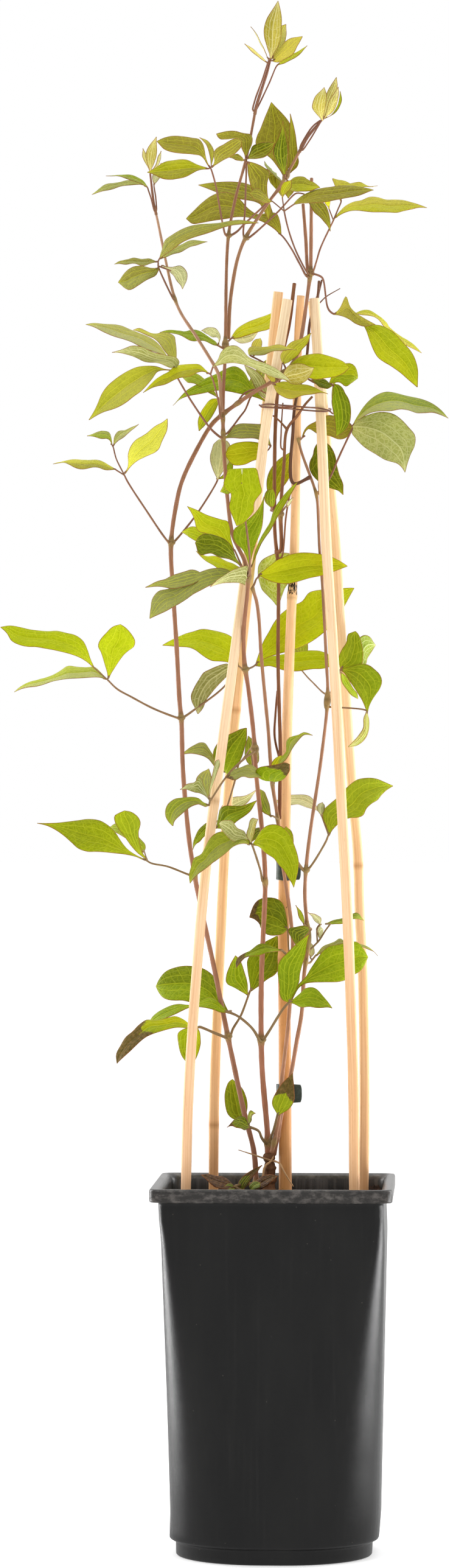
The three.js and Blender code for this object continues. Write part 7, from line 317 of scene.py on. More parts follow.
  ["T","J","J",0,0,[-120,49,5586,-99,78,5653,-74,110,5721,-39,143,5785,-6,178,5849,39,213,5906,97,248,5949,163,282,5977,207,322,6034,275,358,6057,347,393,6065,419,428,6069,490,465,6073],[-117,47,5582,-78,75,5634,-34,105,5678,16,135,5719,64,167,5763,117,201,5807,175,235,5845,236,270,5880,281,309,5933,336,347,5971,388,386,6006,440,424,6039,492,464,6071],[-113,46,5579,-58,63,5615,6,78,5636,72,96,5653,135,117,5677,196,143,5706,255,176,5739,309,215,5781,356,252,5830,397,300,5885,430,353,5946,461,408,6008,493,463,6069]],
  ["T","J","J",0,0,[-126,60,5575,-94,103,5607,-51,132,5626,-5,163,5636,42,194,5643,89,220,5649,136,242,5657,184,259,5664,231,272,5668,279,282,5667,325,282,5652,368,272,5629,411,262,5608],[-125,57,5571,-87,86,5584,-43,111,5597,3,136,5597,48,159,5594,94,180,5593,141,199,5596,188,216,5602,235,229,5607,282,241,5608,327,250,5606,369,255,5606,411,260,5606],[-124,54,5567,-80,60,5560,-34,79,5567,10,95,5558,55,107,5544,100,122,5537,147,135,5534,193,150,5539,239,166,5546,285,180,5549,330,201,5560,371,231,5582,411,259,5604]],
 ], [
  [10,9,1,[-173,-227,5542,-189,-196,5543,-242,12,5578]],
  [10,9,1,[-173,-227,5539,-167,-195,5543,-147,-126,5550,-117,47,5578,-104,56,5595]],
  [8,7,0,[-241,8,5577,-227,13,5570,-240,17,5584]],
  [8,7,0,[-117,47,5578,-125,57,5571,-108,67,5573]],
 ], [
  [54,[-171,-225,5526,-175,-228,5555]],
 ]],
 "leaf_pair_right_middle": [[
  ["T","O","H",0,0,[155,289,5556,146,315,5585,132,340,5613,118,368,5641,105,397,5670,92,427,5699,79,461,5728,69,496,5758,61,534,5789,55,575,5821,50,617,5852,46,661,5884,40,704,5916],[160,290,5557,161,320,5586,161,351,5616,158,382,5648,152,414,5680,144,447,5712,134,481,5744,122,516,5776,109,553,5807,93,590,5836,76,627,5863,59,666,5890,42,705,5917],[165,290,5557,176,320,5588,190,351,5620,198,382,5654,200,414,5689,197,447,5725,189,481,5760,175,517,5794,157,553,5825,131,590,5852,102,627,5874,72,666,5895,44,705,5918]],
  ["T","H","G",0,0.4,[413,-19,5548,409,-18,5568,402,-17,5591,403,-15,5615,410,-13,5638,419,-12,5660,430,-11,5681,444,-10,5699,454,-7,5721,456,-4,5744,464,-1,5766,486,2,5776,506,5,5784],[417,-20,5546,428,-17,5557,440,-14,5568,456,-11,5581,474,-8,5597,486,-7,5621,493,-6,5647,501,-5,5671,505,-3,5697,503,-1,5724,503,2,5750,508,4,5769,508,4,5783],[421,-20,5543,448,-23,5546,478,-27,5546,509,-29,5547,538,-30,5556,553,-29,5582,557,-27,5612,558,-24,5643,556,-20,5673,549,-16,5703,542,-10,5733,530,-3,5762,511,4,5783]],
  ["B","G","H",0,0,[428,-2,5555,449,24,5572,472,46,5593,493,67,5614,510,87,5639,519,106,5669,522,125,5699,529,145,5730,544,167,5756,570,193,5765,597,225,5751,614,258,5728,630,289,5705],[428,1,5550,450,27,5561,473,53,5572,495,79,5583,516,103,5596,532,126,5613,543,149,5636,552,171,5662,564,193,5686,583,217,5702,601,241,5706,616,266,5705,630,290,5703],[428,3,5546,451,35,5551,475,68,5551,498,102,5551,521,135,5552,544,168,5558,563,198,5573,575,224,5594,584,246,5617,595,263,5639,605,274,5661,617,282,5682,630,291,5700]],
  ["T","G","H",0,0.3,[417,-39,5546,459,-46,5554,504,-52,5568,550,-57,5579,595,-62,5570,632,-68,5541,664,-74,5507,677,-80,5463,663,-88,5419,636,-96,5380,611,-103,5340,594,-108,5297,588,-112,5252],[414,-40,5542,447,-46,5539,478,-51,5534,509,-56,5527,539,-61,5511,566,-68,5485,590,-73,5456,605,-80,5422,605,-88,5388,598,-96,5356,590,-103,5323,586,-108,5287,587,-112,5251],[411,-41,5538,436,-53,5523,453,-66,5500,468,-79,5476,484,-90,5452,500,-98,5428,516,-105,5404,532,-110,5381,548,-112,5357,560,-112,5332,570,-112,5305,579,-112,5278,585,-113,5249]],
  ["B","H","O",0,0,[587,-109,5280,589,-113,5256,596,-114,5232,599,-119,5206,598,-127,5181,594,-137,5156,586,-145,5131,574,-155,5109,558,-167,5089,539,-181,5073,517,-197,5061,492,-217,5057,469,-236,5054],[583,-113,5281,581,-121,5259,579,-130,5237,579,-139,5213,580,-147,5189,577,-156,5166,569,-166,5144,557,-177,5123,542,-189,5105,525,-201,5089,507,-213,5075,487,-226,5065,467,-238,5056],[579,-116,5282,572,-127,5262,563,-141,5242,560,-151,5220,562,-159,5198,561,-167,5176,552,-178,5156,539,-190,5138,526,-202,5121,511,-213,5104,496,-223,5088,482,-231,5072,466,-239,5057]],
  ["T","G","G",0,0,[420,3,5533,430,14,5520,443,28,5509,455,41,5497,464,53,5482,472,63,5467,479,74,5451,487,85,5436,497,98,5422,509,113,5409,519,127,5396,522,137,5379,523,146,5362],[417,0,5531,423,10,5517,430,21,5502,436,31,5487,443,42,5471,452,52,5456,461,64,5441,471,76,5426,481,89,5412,492,104,5398,504,118,5386,513,132,5373,521,145,5361],[413,-2,5529,417,4,5513,416,8,5495,418,14,5477,423,22,5460,432,33,5444,443,46,5430,454,60,5417,464,73,5402,475,87,5388,489,103,5376,505,123,5368,519,144,5360]],
 ], [
  [9,8,1,[336,-102,5389,323,-89,5388,235,126,5466,193,211,5509,160,280,5552,159,304,5571]],
  [10,9,1,[336,-102,5388,348,-93,5388,387,-71,5457,402,-50,5496,413,-20,5534,429,-20,5562]],
  [8,7,0,[424,-20,5553,428,1,5550,440,16,5556]],
  [8,7,0,[416,-20,5540,414,-40,5542,432,-45,5537]],
  [9,8,1,[331,-99,5308,583,-113,5281,581,-119,5262]],
  [8,7,0,[413,-20,5534,417,0,5531,424,11,5516]],
 ], [
  [47,[329,-98,5295,337,-103,5369,336,-102,5402]],
 ]],
 "leaf_cross_left": [[
  ["T","X","J",0,0,[-244,-310,6273,-271,-304,6295,-301,-300,6314,-332,-295,6333,-362,-289,6352,-394,-281,6370,-426,-267,6386,-461,-252,6397,-482,-233,6426,-491,-210,6462,-503,-188,6497,-521,-165,6530,-542,-142,6560],[-240,-308,6276,-260,-297,6304,-281,-286,6333,-299,-274,6362,-316,-260,6391,-340,-246,6417,-375,-234,6429,-411,-220,6441,-440,-206,6462,-462,-191,6488,-485,-175,6516,-512,-158,6539,-541,-141,6562],[-236,-307,6279,-250,-296,6314,-260,-283,6351,-266,-269,6390,-268,-252,6429,-284,-237,6463,-322,-226,6472,-360,-212,6484,-397,-199,6498,-432,-187,6514,-467,-172,6534,-503,-157,6549,-539,-140,6563]],
  ["T","J","J",0,0,[-252,-332,6279,-278,-319,6292,-305,-308,6302,-332,-296,6312,-360,-282,6321,-388,-266,6328,-417,-248,6334,-446,-231,6336,-475,-213,6338,-502,-188,6351,-528,-158,6367,-553,-121,6386,-578,-84,6402],[-251,-329,6283,-275,-312,6299,-300,-296,6315,-326,-278,6331,-353,-261,6344,-382,-242,6355,-411,-221,6364,-440,-200,6372,-469,-176,6380,-498,-152,6393,-526,-129,6401,-553,-106,6404,-578,-83,6404],[-249,-326,6286,-273,-309,6305,-295,-288,6328,-319,-268,6350,-346,-248,6368,-374,-227,6381,-404,-205,6394,-434,-181,6406,-463,-154,6422,-493,-131,6434,-524,-111,6435,-553,-96,6422,-578,-81,6406]],
  ["T","D","D",0,0,[-193,-400,6170,-214,-431,6189,-238,-466,6203,-263,-503,6216,-290,-539,6222,-317,-574,6226,-344,-603,6234,-371,-627,6243,-399,-652,6239,-427,-674,6233,-446,-678,6253,-456,-670,6282,-466,-660,6308],[-191,-396,6174,-211,-422,6196,-230,-447,6219,-249,-471,6241,-272,-494,6259,-296,-516,6274,-322,-537,6290,-350,-558,6302,-381,-577,6305,-412,-595,6303,-437,-616,6310,-454,-637,6313,-466,-658,6310],[-189,-393,6177,-207,-416,6204,-222,-434,6234,-235,-449,6265,-253,-463,6295,-274,-476,6321,-299,-492,6345,-329,-511,6361,-361,-526,6370,-395,-543,6372,-428,-574,6366,-453,-615,6343,-466,-657,6312]],
  ["T","J","X",0,0,[-194,-381,6164,-202,-394,6137,-224,-399,6120,-255,-389,6121,-285,-371,6129,-312,-346,6145,-338,-316,6163,-365,-285,6181,-394,-252,6196,-421,-213,6214,-445,-173,6237,-467,-136,6261,-489,-101,6284],[-196,-376,6167,-211,-354,6159,-234,-334,6158,-261,-314,6164,-288,-294,6174,-314,-274,6187,-340,-252,6201,-366,-229,6213,-393,-205,6224,-419,-180,6234,-444,-154,6248,-467,-127,6266,-489,-99,6285],[-197,-372,6169,-220,-323,6181,-244,-281,6195,-267,-254,6208,-292,-233,6219,-316,-216,6229,-341,-201,6238,-366,-185,6246,-391,-168,6251,-418,-153,6253,-443,-139,6259,-466,-120,6271,-489,-97,6287]],
  ["T","K","K",0,0,[-193,-449,6096,-242,-486,6086,-291,-520,6074,-341,-546,6063,-390,-569,6047,-435,-588,6023,-479,-604,5996,-519,-620,5963,-562,-634,5935,-608,-650,5912,-654,-652,5888,-701,-643,5866,-748,-632,5844],[-193,-446,6100,-242,-466,6112,-296,-486,6117,-351,-507,6111,-406,-528,6097,-457,-546,6073,-506,-563,6043,-551,-577,6010,-600,-588,5982,-653,-597,5965,-696,-608,5930,-723,-619,5888,-749,-631,5846],[-193,-444,6104,-242,-455,6137,-300,-467,6159,-361,-486,6159,-421,-506,6146,-478,-524,6122,-531,-540,6090,-583,-553,6055,-638,-563,6029,-698,-568,6018,-737,-584,5971,-745,-607,5909,-751,-629,5847]],
  ["T","K","K",0,0,[-408,-508,6112,-433,-526,6094,-457,-546,6073,-486,-561,6058,-517,-574,6048,-549,-586,6041,-581,-597,6034,-613,-607,6031,-645,-615,6035,-677,-624,6040,-710,-634,6041,-742,-643,6039,-774,-653,6035],[-409,-506,6117,-436,-514,6114,-463,-523,6110,-494,-534,6104,-526,-546,6095,-557,-558,6086,-589,-571,6078,-620,-584,6069,-650,-598,6063,-682,-612,6061,-714,-625,6056,-744,-638,6047,-774,-652,6037],[-410,-504,6122,-439,-510,6133,-469,-514,6147,-501,-523,6150,-533,-535,6140,-565,-547,6131,-597,-560,6122,-627,-575,6108,-655,-591,6090,-686,-607,6081,-717,-621,6070,-746,-637,6054,-775,-651,6039]],
  ["B","K","K",0,0,[-178,-453,6092,-168,-459,6075,-163,-462,6054,-183,-478,6061,-203,-510,6068,-224,-543,6070,-246,-576,6070,-267,-609,6067,-288,-644,6063,-309,-680,6056,-329,-717,6049,-349,-756,6042,-369,-793,6033],[-177,-456,6096,-165,-483,6098,-155,-511,6100,-164,-538,6116,-189,-562,6116,-213,-588,6112,-238,-615,6107,-262,-643,6100,-285,-672,6089,-307,-702,6077,-329,-732,6064,-349,-763,6049,-369,-794,6035],[-177,-459,6100,-163,-498,6122,-149,-542,6148,-147,-575,6172,-175,-595,6166,-203,-617,6155,-231,-640,6145,-258,-664,6132,-283,-690,6116,-306,-716,6098,-328,-742,6078,-349,-768,6057,-369,-796,6037]],
  ["T","J","X",0,0,[-207,-430,6105,-215,-426,6092,-224,-423,6078,-241,-415,6073,-259,-405,6071,-277,-394,6072,-295,-381,6072,-313,-366,6073,-331,-348,6076,-350,-325,6079,-368,-297,6084,-386,-267,6092,-402,-237,6099],[-209,-427,6108,-221,-412,6104,-235,-397,6101,-253,-383,6103,-271,-369,6106,-289,-354,6110,-308,-338,6113,-327,-321,6116,-346,-304,6117,-364,-287,6115,-378,-270,6110,-390,-253,6105,-403,-235,6101],[-210,-424,6112,-227,-403,6116,-246,-380,6125,-264,-362,6133,-283,-345,6140,-301,-327,6147,-320,-309,6154,-340,-291,6159,-359,-275,6159,-377,-261,6151,-387,-252,6135,-395,-243,6118,-403,-234,6102]],
 ], [
  [11,10,1,[-163,-308,6146,-159,-345,6149,-191,-386,6178,-191,-396,6174,-201,-410,6185]],
  [10,9,0,[-191,-386,6178,-240,-318,6283,-240,-308,6276,-251,-303,6292]],
  [12,10,1,[-155,-310,6101,-164,-355,6096,-187,-406,6098,-208,-447,6108]],
  [8,7,0,[-239,-319,6281,-251,-329,6283,-266,-319,6292]],
  [8,7,0,[-186,-379,6173,-211,-364,6168]],
  [8,7,0,[-204,-439,6106,-193,-446,6100,-211,-454,6100]],
  [9,8,1,[-165,-307,6154,-409,-506,6117,-427,-513,6113]],
  [8,7,0,[-193,-446,6100,-177,-456,6096,-180,-475,6100]],
  [8,7,0,[-200,-432,6104,-224,-414,6109]],
 ], [
  [52,[-155,-308,6088,-155,-310,6105,-167,-306,6167]],
 ]],
 "leaf_cross_hanging": [[
  ["T","L","L",0,0,[-180,-646,6693,-155,-652,6731,-125,-658,6768,-88,-663,6767,-74,-669,6721,-64,-673,6673,-54,-676,6626,-79,-680,6589,-101,-683,6552,-104,-684,6505,-132,-685,6466,-165,-686,6431,-207,-687,6413],[-185,-646,6693,-182,-648,6729,-179,-650,6766,-177,-650,6764,-176,-653,6721,-178,-656,6677,-168,-659,6634,-163,-667,6602,-176,-671,6563,-181,-672,6519,-189,-676,6479,-197,-681,6441,-209,-687,6413],[-190,-646,6693,-209,-654,6728,-233,-662,6762,-264,-669,6760,-277,-675,6719,-291,-680,6678,-280,-683,6640,-246,-685,6614,-249,-687,6573,-257,-689,6532,-245,-689,6491,-228,-688,6452,-212,-687,6414]],
  ["T","G","L",0,0,[-221,-610,6748,-225,-606,6734,-225,-603,6717,-226,-600,6700,-227,-596,6684,-230,-590,6667,-235,-583,6651,-243,-575,6636,-253,-566,6622,-268,-555,6614,-285,-541,6618,-302,-527,6626,-317,-513,6631],[-224,-608,6751,-231,-601,6741,-237,-593,6730,-243,-586,6718,-249,-578,6705,-254,-570,6691,-259,-562,6678,-266,-554,6664,-274,-545,6651,-285,-536,6642,-296,-528,6638,-307,-520,6635,-318,-512,6633],[-227,-606,6755,-237,-599,6747,-249,-590,6742,-261,-580,6736,-270,-572,6726,-277,-563,6715,-283,-555,6703,-289,-546,6692,-295,-537,6680,-301,-529,6668,-307,-523,6657,-313,-518,6645,-319,-511,6635]],
  ["T","G","G",0,0,[-144,-374,6165,-153,-393,6207,-168,-411,6250,-193,-429,6288,-226,-445,6319,-242,-460,6361,-233,-472,6405,-195,-483,6431,-156,-493,6456,-119,-501,6485,-89,-508,6520,-65,-514,6559,-49,-520,6601],[-139,-374,6163,-143,-391,6204,-147,-407,6244,-154,-422,6281,-164,-435,6314,-165,-447,6353,-153,-459,6392,-128,-472,6423,-105,-484,6454,-86,-495,6487,-69,-505,6523,-57,-513,6562,-47,-520,6602],[-134,-374,6162,-133,-393,6200,-125,-412,6237,-114,-430,6273,-102,-447,6308,-86,-462,6343,-71,-475,6377,-60,-486,6413,-54,-495,6451,-51,-502,6488,-49,-509,6526,-48,-515,6564,-44,-520,6602]],
  ["T","G","L",0,0,[-134,-370,6172,-120,-361,6221,-107,-349,6271,-90,-337,6320,-70,-321,6367,-45,-304,6412,-19,-291,6457,-4,-271,6507,17,-250,6554,46,-232,6597,77,-214,6638,111,-199,6677,150,-189,6711],[-131,-374,6171,-116,-366,6219,-100,-358,6267,-81,-350,6315,-57,-339,6360,-30,-326,6402,-5,-312,6447,13,-295,6495,35,-277,6541,63,-257,6585,91,-235,6628,120,-213,6670,151,-191,6710],[-129,-378,6169,-112,-373,6217,-93,-370,6264,-72,-365,6310,-45,-362,6352,-15,-353,6393,9,-338,6438,30,-327,6484,54,-311,6528,80,-288,6572,105,-262,6617,130,-231,6662,152,-193,6709]],
 ], [
  [11,9,1,[-158,-309,6119,-146,-344,6123,-138,-405,6160,-137,-435,6187,-138,-476,6241,-144,-524,6321,-155,-567,6414,-168,-604,6518,-179,-629,6615,-185,-646,6712]],
  [10,10,1,[-157,-309,6114,-140,-334,6119,-138,-384,6178]],
  [8,7,0,[-184,-643,6694,-180,-656,6676]],
  [8,7,0,[-185,-646,6712,-224,-608,6751,-232,-599,6735]],
  [8,7,0,[-138,-372,6164,-142,-383,6181]],
  [8,7,0,[-138,-376,6169,-124,-370,6189]],
 ], [
  [52,[-155,-310,6101,-160,-309,6131]],
 ]],
 "leaf_cross_right": [[
  ["T","X","J",0,0,[-95,-130,6139,-55,-117,6167,-16,-103,6200,25,-91,6231,70,-82,6254,119,-76,6269,170,-72,6274,222,-70,6271,272,-67,6265,323,-65,6257,372,-64,6243,418,-65,6220,460,-67,6192],[-95,-132,6135,-55,-124,6137,-12,-117,6145,32,-110,6156,79,-104,6166,128,-99,6177,176,-94,6186,225,-90,6192,275,-85,6194,323,-80,6197,371,-75,6198,417,-71,6194,460,-68,6189],[-95,-134,6130,-54,-142,6107,-8,-150,6089,40,-156,6080,89,-158,6076,137,-155,6083,184,-148,6096,230,-138,6111,277,-128,6123,324,-117,6136,370,-103,6152,416,-87,6169,460,-69,6187]],
  ["B","L","L",0,0,[-101,-93,6130,-99,-56,6161,-97,-19,6197,-84,17,6230,-56,54,6252,-25,91,6266,7,130,6278,41,169,6284,75,207,6284,109,244,6278,137,280,6261,157,315,6234,178,350,6209],[-100,-92,6125,-94,-58,6122,-84,-23,6120,-64,12,6119,-37,47,6113,-6,82,6105,23,122,6127,47,162,6152,68,201,6175,96,238,6192,126,276,6200,152,313,6203,177,350,6207],[-100,-91,6120,-89,-45,6083,-72,1,6044,-46,46,6010,-19,90,5976,11,132,5945,36,168,5979,51,202,6022,60,233,6068,83,264,6107,114,294,6141,146,322,6173,177,351,6204]],
 ], [
  [10,9,1,[-129,-248,6047,-117,-263,6069,-107,-172,6106,-91,-132,6127,-95,-132,6135,-75,-129,6138]],
  [8,7,0,[-92,-132,6129,-100,-92,6125,-93,-73,6123]],
 ], [
 ]],
 "leaf_stub": [[
  ["T","D","G",0,0,[-17,-98,6548,-23,-108,6557,-34,-118,6566,-45,-127,6576,-53,-136,6588,-57,-145,6601,-58,-154,6616,-57,-162,6630,-52,-169,6644,-43,-177,6656,-31,-184,6664,-16,-191,6666,-3,-198,6669],[-12,-98,6547,-14,-107,6557,-16,-116,6565,-19,-125,6575,-21,-133,6586,-22,-142,6598,-22,-150,6611,-21,-158,6624,-19,-166,6636,-15,-174,6647,-11,-182,6656,-6,-190,6662,-1,-198,6668],[-7,-99,6547,-5,-110,6556,2,-121,6565,7,-132,6574,11,-142,6584,13,-151,6595,14,-160,6606,15,-168,6617,14,-175,6627,13,-182,6638,9,-188,6648,4,-193,6658,1,-198,6667]],
  ["T","G","Y",0,0,[-10,23,6547,-17,35,6581,-31,49,6617,-43,64,6653,-52,80,6690,-53,97,6728,-47,116,6765,-35,136,6801,-17,157,6834,8,179,6862,37,201,6886,67,224,6907,97,247,6927],[-5,22,6546,-8,36,6580,-11,51,6615,-11,67,6649,-7,85,6681,2,103,6714,14,122,6747,28,143,6780,44,163,6813,60,184,6843,76,206,6873,88,226,6900,99,247,6927],[0,22,6545,2,34,6579,9,46,6612,21,59,6644,39,73,6672,58,88,6700,76,106,6729,92,125,6759,105,147,6790,113,170,6824,116,195,6858,109,221,6893,102,247,6926]],
  ["B","P","P",0,0,[69,-108,6557,74,-109,6561,75,-113,6568,77,-117,6575,79,-120,6582,83,-123,6588,87,-124,6593,93,-126,6598,98,-127,6602,104,-129,6606,110,-130,6610,116,-131,6614,121,-134,6619],[72,-105,6555,76,-107,6559,80,-109,6564,84,-111,6569,88,-113,6575,92,-115,6581,96,-117,6586,101,-119,6592,105,-122,6597,110,-124,6602,114,-127,6607,118,-130,6613,122,-132,6618],[75,-101,6552,79,-103,6557,86,-102,6559,92,-101,6563,97,-101,6568,101,-103,6574,105,-106,6580,109,-109,6586,112,-113,6592,115,-117,6598,117,-122,6605,120,-127,6611,124,-131,6617]],
 ], [
  [13,11,1,[41,-66,6511,21,-57,6511,-16,-88,6556,-12,-98,6547,-14,-112,6562]],
  [10,9,0,[-12,-85,6551,-22,-16,6541,-5,17,6542,-5,30,6564]],
  [10,9,1,[41,-66,6522,76,-104,6562,72,-105,6555,84,-110,6570]],
 ], [
  [48,[41,-67,6498,41,-65,6535]],
 ]],
 "leaf_between_stakes": [[
  ["T","K","K",0,0,[-21,-16,6938,-41,-25,6955,-64,-37,6967,-87,-49,6978,-112,-57,6986,-138,-57,6990,-164,-58,6992,-191,-60,6993,-217,-60,6993,-244,-56,6994,-271,-47,6994,-297,-39,6993,-324,-33,6989],[-19,-14,6942,-34,-12,6967,-50,-11,6992,-67,-9,7016,-91,-9,7034,-122,-11,7038,-154,-13,7041,-186,-15,7043,-217,-17,7042,-247,-20,7035,-272,-24,7020,-297,-28,7004,-324,-32,6991],[-17,-11,6945,-28,-4,6979,-35,6,7016,-45,15,7052,-69,20,7080,-106,17,7085,-142,15,7090,-180,13,7093,-217,9,7090,-250,2,7074,-273,-10,7045,-296,-22,7016,-324,-30,6993]],
  ["T","Y","Y",0,0,[-41,-21,6914,-55,-33,6893,-71,-46,6871,-97,-55,6860,-124,-63,6855,-149,-70,6844,-174,-79,6830,-200,-86,6822,-227,-92,6818,-254,-96,6820,-276,-96,6837,-291,-94,6860,-306,-92,6882],[-42,-19,6918,-57,-21,6917,-75,-23,6916,-101,-28,6915,-128,-33,6913,-155,-38,6908,-181,-43,6902,-208,-48,6897,-235,-55,6893,-261,-62,6889,-282,-71,6887,-295,-81,6886,-306,-91,6884],[-42,-18,6923,-58,-17,6941,-78,-16,6960,-104,-19,6968,-132,-24,6971,-159,-28,6972,-187,-32,6972,-214,-37,6970,-241,-43,6966,-267,-52,6955,-287,-63,6937,-299,-77,6911,-307,-90,6887]],
  ["T","G","K",0,0,[-149,77,7272,-153,98,7293,-161,119,7317,-166,139,7341,-164,159,7365,-155,179,7388,-144,201,7409,-132,223,7431,-121,246,7453,-108,269,7473,-92,293,7490,-73,316,7505,-57,341,7521],[-145,76,7269,-137,97,7283,-132,117,7301,-127,137,7322,-120,157,7345,-111,177,7368,-100,199,7390,-91,221,7412,-83,244,7436,-76,268,7458,-69,292,7480,-62,316,7500,-54,340,7520],[-141,75,7267,-122,89,7273,-102,104,7284,-87,120,7303,-76,138,7324,-66,158,7346,-57,180,7369,-49,203,7393,-44,227,7417,-43,254,7443,-46,282,7468,-50,311,7494,-52,340,7519]],
 ], [
  [10,9,1,[-318,-87,7021,-303,-71,7019,-269,12,7063,-249,41,7092,-217,63,7138,-187,74,7179,-152,76,7262,-145,76,7269,-140,90,7284]],
  [9,8,0,[-257,29,7080,-219,51,7060,-192,52,7047,-151,36,7029,-98,-10,7000,-19,-14,6945,-31,-14,6957]],
  [8,7,0,[-22,-14,6947,-42,-19,6918,-61,-24,6916]],
 ], [
 ]],
 "leaf_right_top": [[
  ["T","O","O",0,0,[171,22,7003,180,24,7035,196,29,7065,222,38,7087,253,47,7101,283,55,7118,312,63,7136,345,71,7146,378,76,7142,411,76,7131,443,73,7118,470,64,7097,488,54,7069],[175,20,7001,185,23,7032,205,26,7059,232,32,7064,262,37,7063,293,42,7069,324,47,7075,355,52,7073,387,56,7065,420,58,7062,450,58,7063,472,56,7067,488,53,7067],[179,18,6999,190,20,7030,213,20,7053,242,17,7041,271,13,7024,303,11,7018,336,9,7012,366,7,6999,397,9,6988,429,15,6991,458,24,7007,475,38,7036,488,53,7065]],
 ], [
  [10,9,1,[153,-70,6981,164,-61,6984,177,20,7002,191,22,7012]],
 ], [
 ]],
 "leaf_cluster_tie_right": [[
  ["T","Y","G",0,0.3,[346,-300,7313,356,-290,7335,365,-277,7362,376,-264,7387,392,-250,7409,412,-236,7429,435,-220,7443,461,-206,7449,487,-198,7445,509,-195,7430,523,-194,7408,529,-194,7382,528,-194,7357],[347,-303,7309,360,-295,7325,373,-286,7340,387,-278,7354,403,-268,7366,421,-258,7373,440,-248,7375,460,-237,7374,480,-228,7377,498,-219,7375,512,-211,7369,521,-203,7362,527,-195,7355],[349,-305,7305,364,-303,7314,381,-304,7317,398,-304,7320,415,-302,7321,431,-301,7317,445,-299,7306,460,-294,7298,474,-281,7306,487,-263,7319,501,-242,7330,514,-219,7342,526,-196,7353]],
  ["T","D","G",0,0,[378,-321,7311,410,-335,7307,437,-349,7285,453,-363,7252,471,-376,7221,483,-389,7186,489,-401,7150,490,-412,7114,486,-422,7078,476,-432,7044,456,-442,7014,429,-451,6991,399,-461,6976],[374,-322,7308,393,-333,7294,406,-346,7269,412,-360,7238,420,-372,7209,427,-385,7178,432,-397,7146,435,-408,7114,436,-419,7083,433,-429,7052,425,-439,7023,412,-450,6998,397,-461,6977],[371,-322,7305,375,-339,7279,375,-356,7251,371,-372,7224,368,-388,7196,372,-401,7168,377,-413,7141,381,-424,7113,386,-433,7086,390,-442,7059,393,-449,7032,395,-455,7004,394,-461,6978]],
  ["T","D","D",0,0,[240,-224,7349,251,-232,7349,263,-237,7351,275,-243,7352,288,-250,7351,300,-257,7350,312,-266,7347,324,-276,7343,335,-289,7337,345,-305,7328,354,-322,7318,363,-342,7307,372,-360,7299],[239,-228,7345,250,-240,7342,260,-252,7338,271,-265,7333,283,-277,7328,294,-288,7323,306,-299,7318,318,-310,7313,330,-321,7309,342,-331,7304,352,-341,7300,362,-352,7298,372,-362,7297],[239,-231,7342,249,-250,7334,258,-273,7323,268,-293,7313,278,-312,7304,289,-328,7295,301,-343,7288,313,-355,7282,326,-362,7280,338,-366,7280,351,-367,7283,362,-365,7289,372,-364,7296]],
 ], [
  [10,9,1,[117,-171,7449,169,-161,7412,204,-189,7364,262,-230,7326,321,-278,7304,367,-322,7308,374,-322,7308,382,-331,7292]],
  [8,7,0,[347,-303,7306,363,-296,7320]],
  [8,7,0,[243,-216,7339,239,-228,7345,252,-242,7340]],
 ], [
 ]],
 "leaf_pair_main_lower": [[
  ["B","F","F",0,0,[-386,-489,4723,-386,-503,4745,-389,-522,4768,-388,-542,4790,-383,-561,4813,-376,-581,4835,-370,-601,4857,-363,-621,4879,-357,-643,4901,-352,-666,4924,-346,-692,4946,-339,-712,4967,-318,-714,4975],[-384,-485,4722,-384,-501,4745,-385,-517,4767,-382,-534,4789,-375,-551,4811,-367,-568,4832,-360,-587,4853,-353,-606,4875,-346,-627,4896,-339,-648,4918,-331,-671,4939,-325,-693,4960,-317,-712,4974],[-381,-481,4722,-382,-497,4744,-381,-510,4766,-376,-523,4788,-367,-537,4809,-358,-552,4829,-350,-569,4850,-342,-587,4871,-335,-606,4891,-326,-625,4912,-316,-642,4932,-312,-667,4953,-316,-710,4973]],
  ["B","F","F",0,0,[-388,-481,4722,-398,-493,4738,-410,-500,4749,-425,-505,4756,-440,-511,4761,-455,-517,4767,-470,-525,4772,-485,-550,4777,-499,-579,4782,-514,-604,4786,-529,-628,4790,-544,-655,4791,-559,-681,4788],[-387,-485,4726,-397,-499,4744,-406,-514,4762,-418,-530,4777,-430,-546,4792,-441,-563,4806,-454,-581,4820,-471,-596,4816,-486,-612,4809,-505,-629,4807,-524,-647,4806,-541,-665,4799,-559,-682,4790],[-387,-488,4729,-395,-504,4750,-403,-524,4774,-411,-547,4798,-420,-570,4822,-427,-595,4846,-438,-619,4868,-457,-628,4855,-473,-634,4836,-496,-646,4828,-520,-659,4821,-540,-671,4806,-558,-684,4792]],
  ["T","K","H",0,0,[-390,-477,4692,-409,-511,4681,-430,-542,4689,-450,-570,4699,-472,-598,4695,-492,-628,4684,-509,-655,4669,-527,-679,4654,-546,-699,4641,-564,-715,4626,-580,-727,4608,-592,-736,4588,-598,-745,4566],[-392,-475,4696,-416,-499,4697,-440,-525,4712,-467,-552,4720,-496,-576,4718,-524,-599,4713,-550,-621,4702,-573,-643,4685,-594,-664,4665,-609,-684,4641,-614,-705,4615,-610,-725,4589,-600,-744,4566],[-394,-473,4700,-423,-494,4712,-450,-517,4735,-484,-543,4741,-519,-566,4742,-554,-587,4742,-589,-606,4736,-618,-626,4716,-641,-648,4690,-652,-671,4656,-647,-695,4621,-628,-719,4590,-603,-743,4566]],
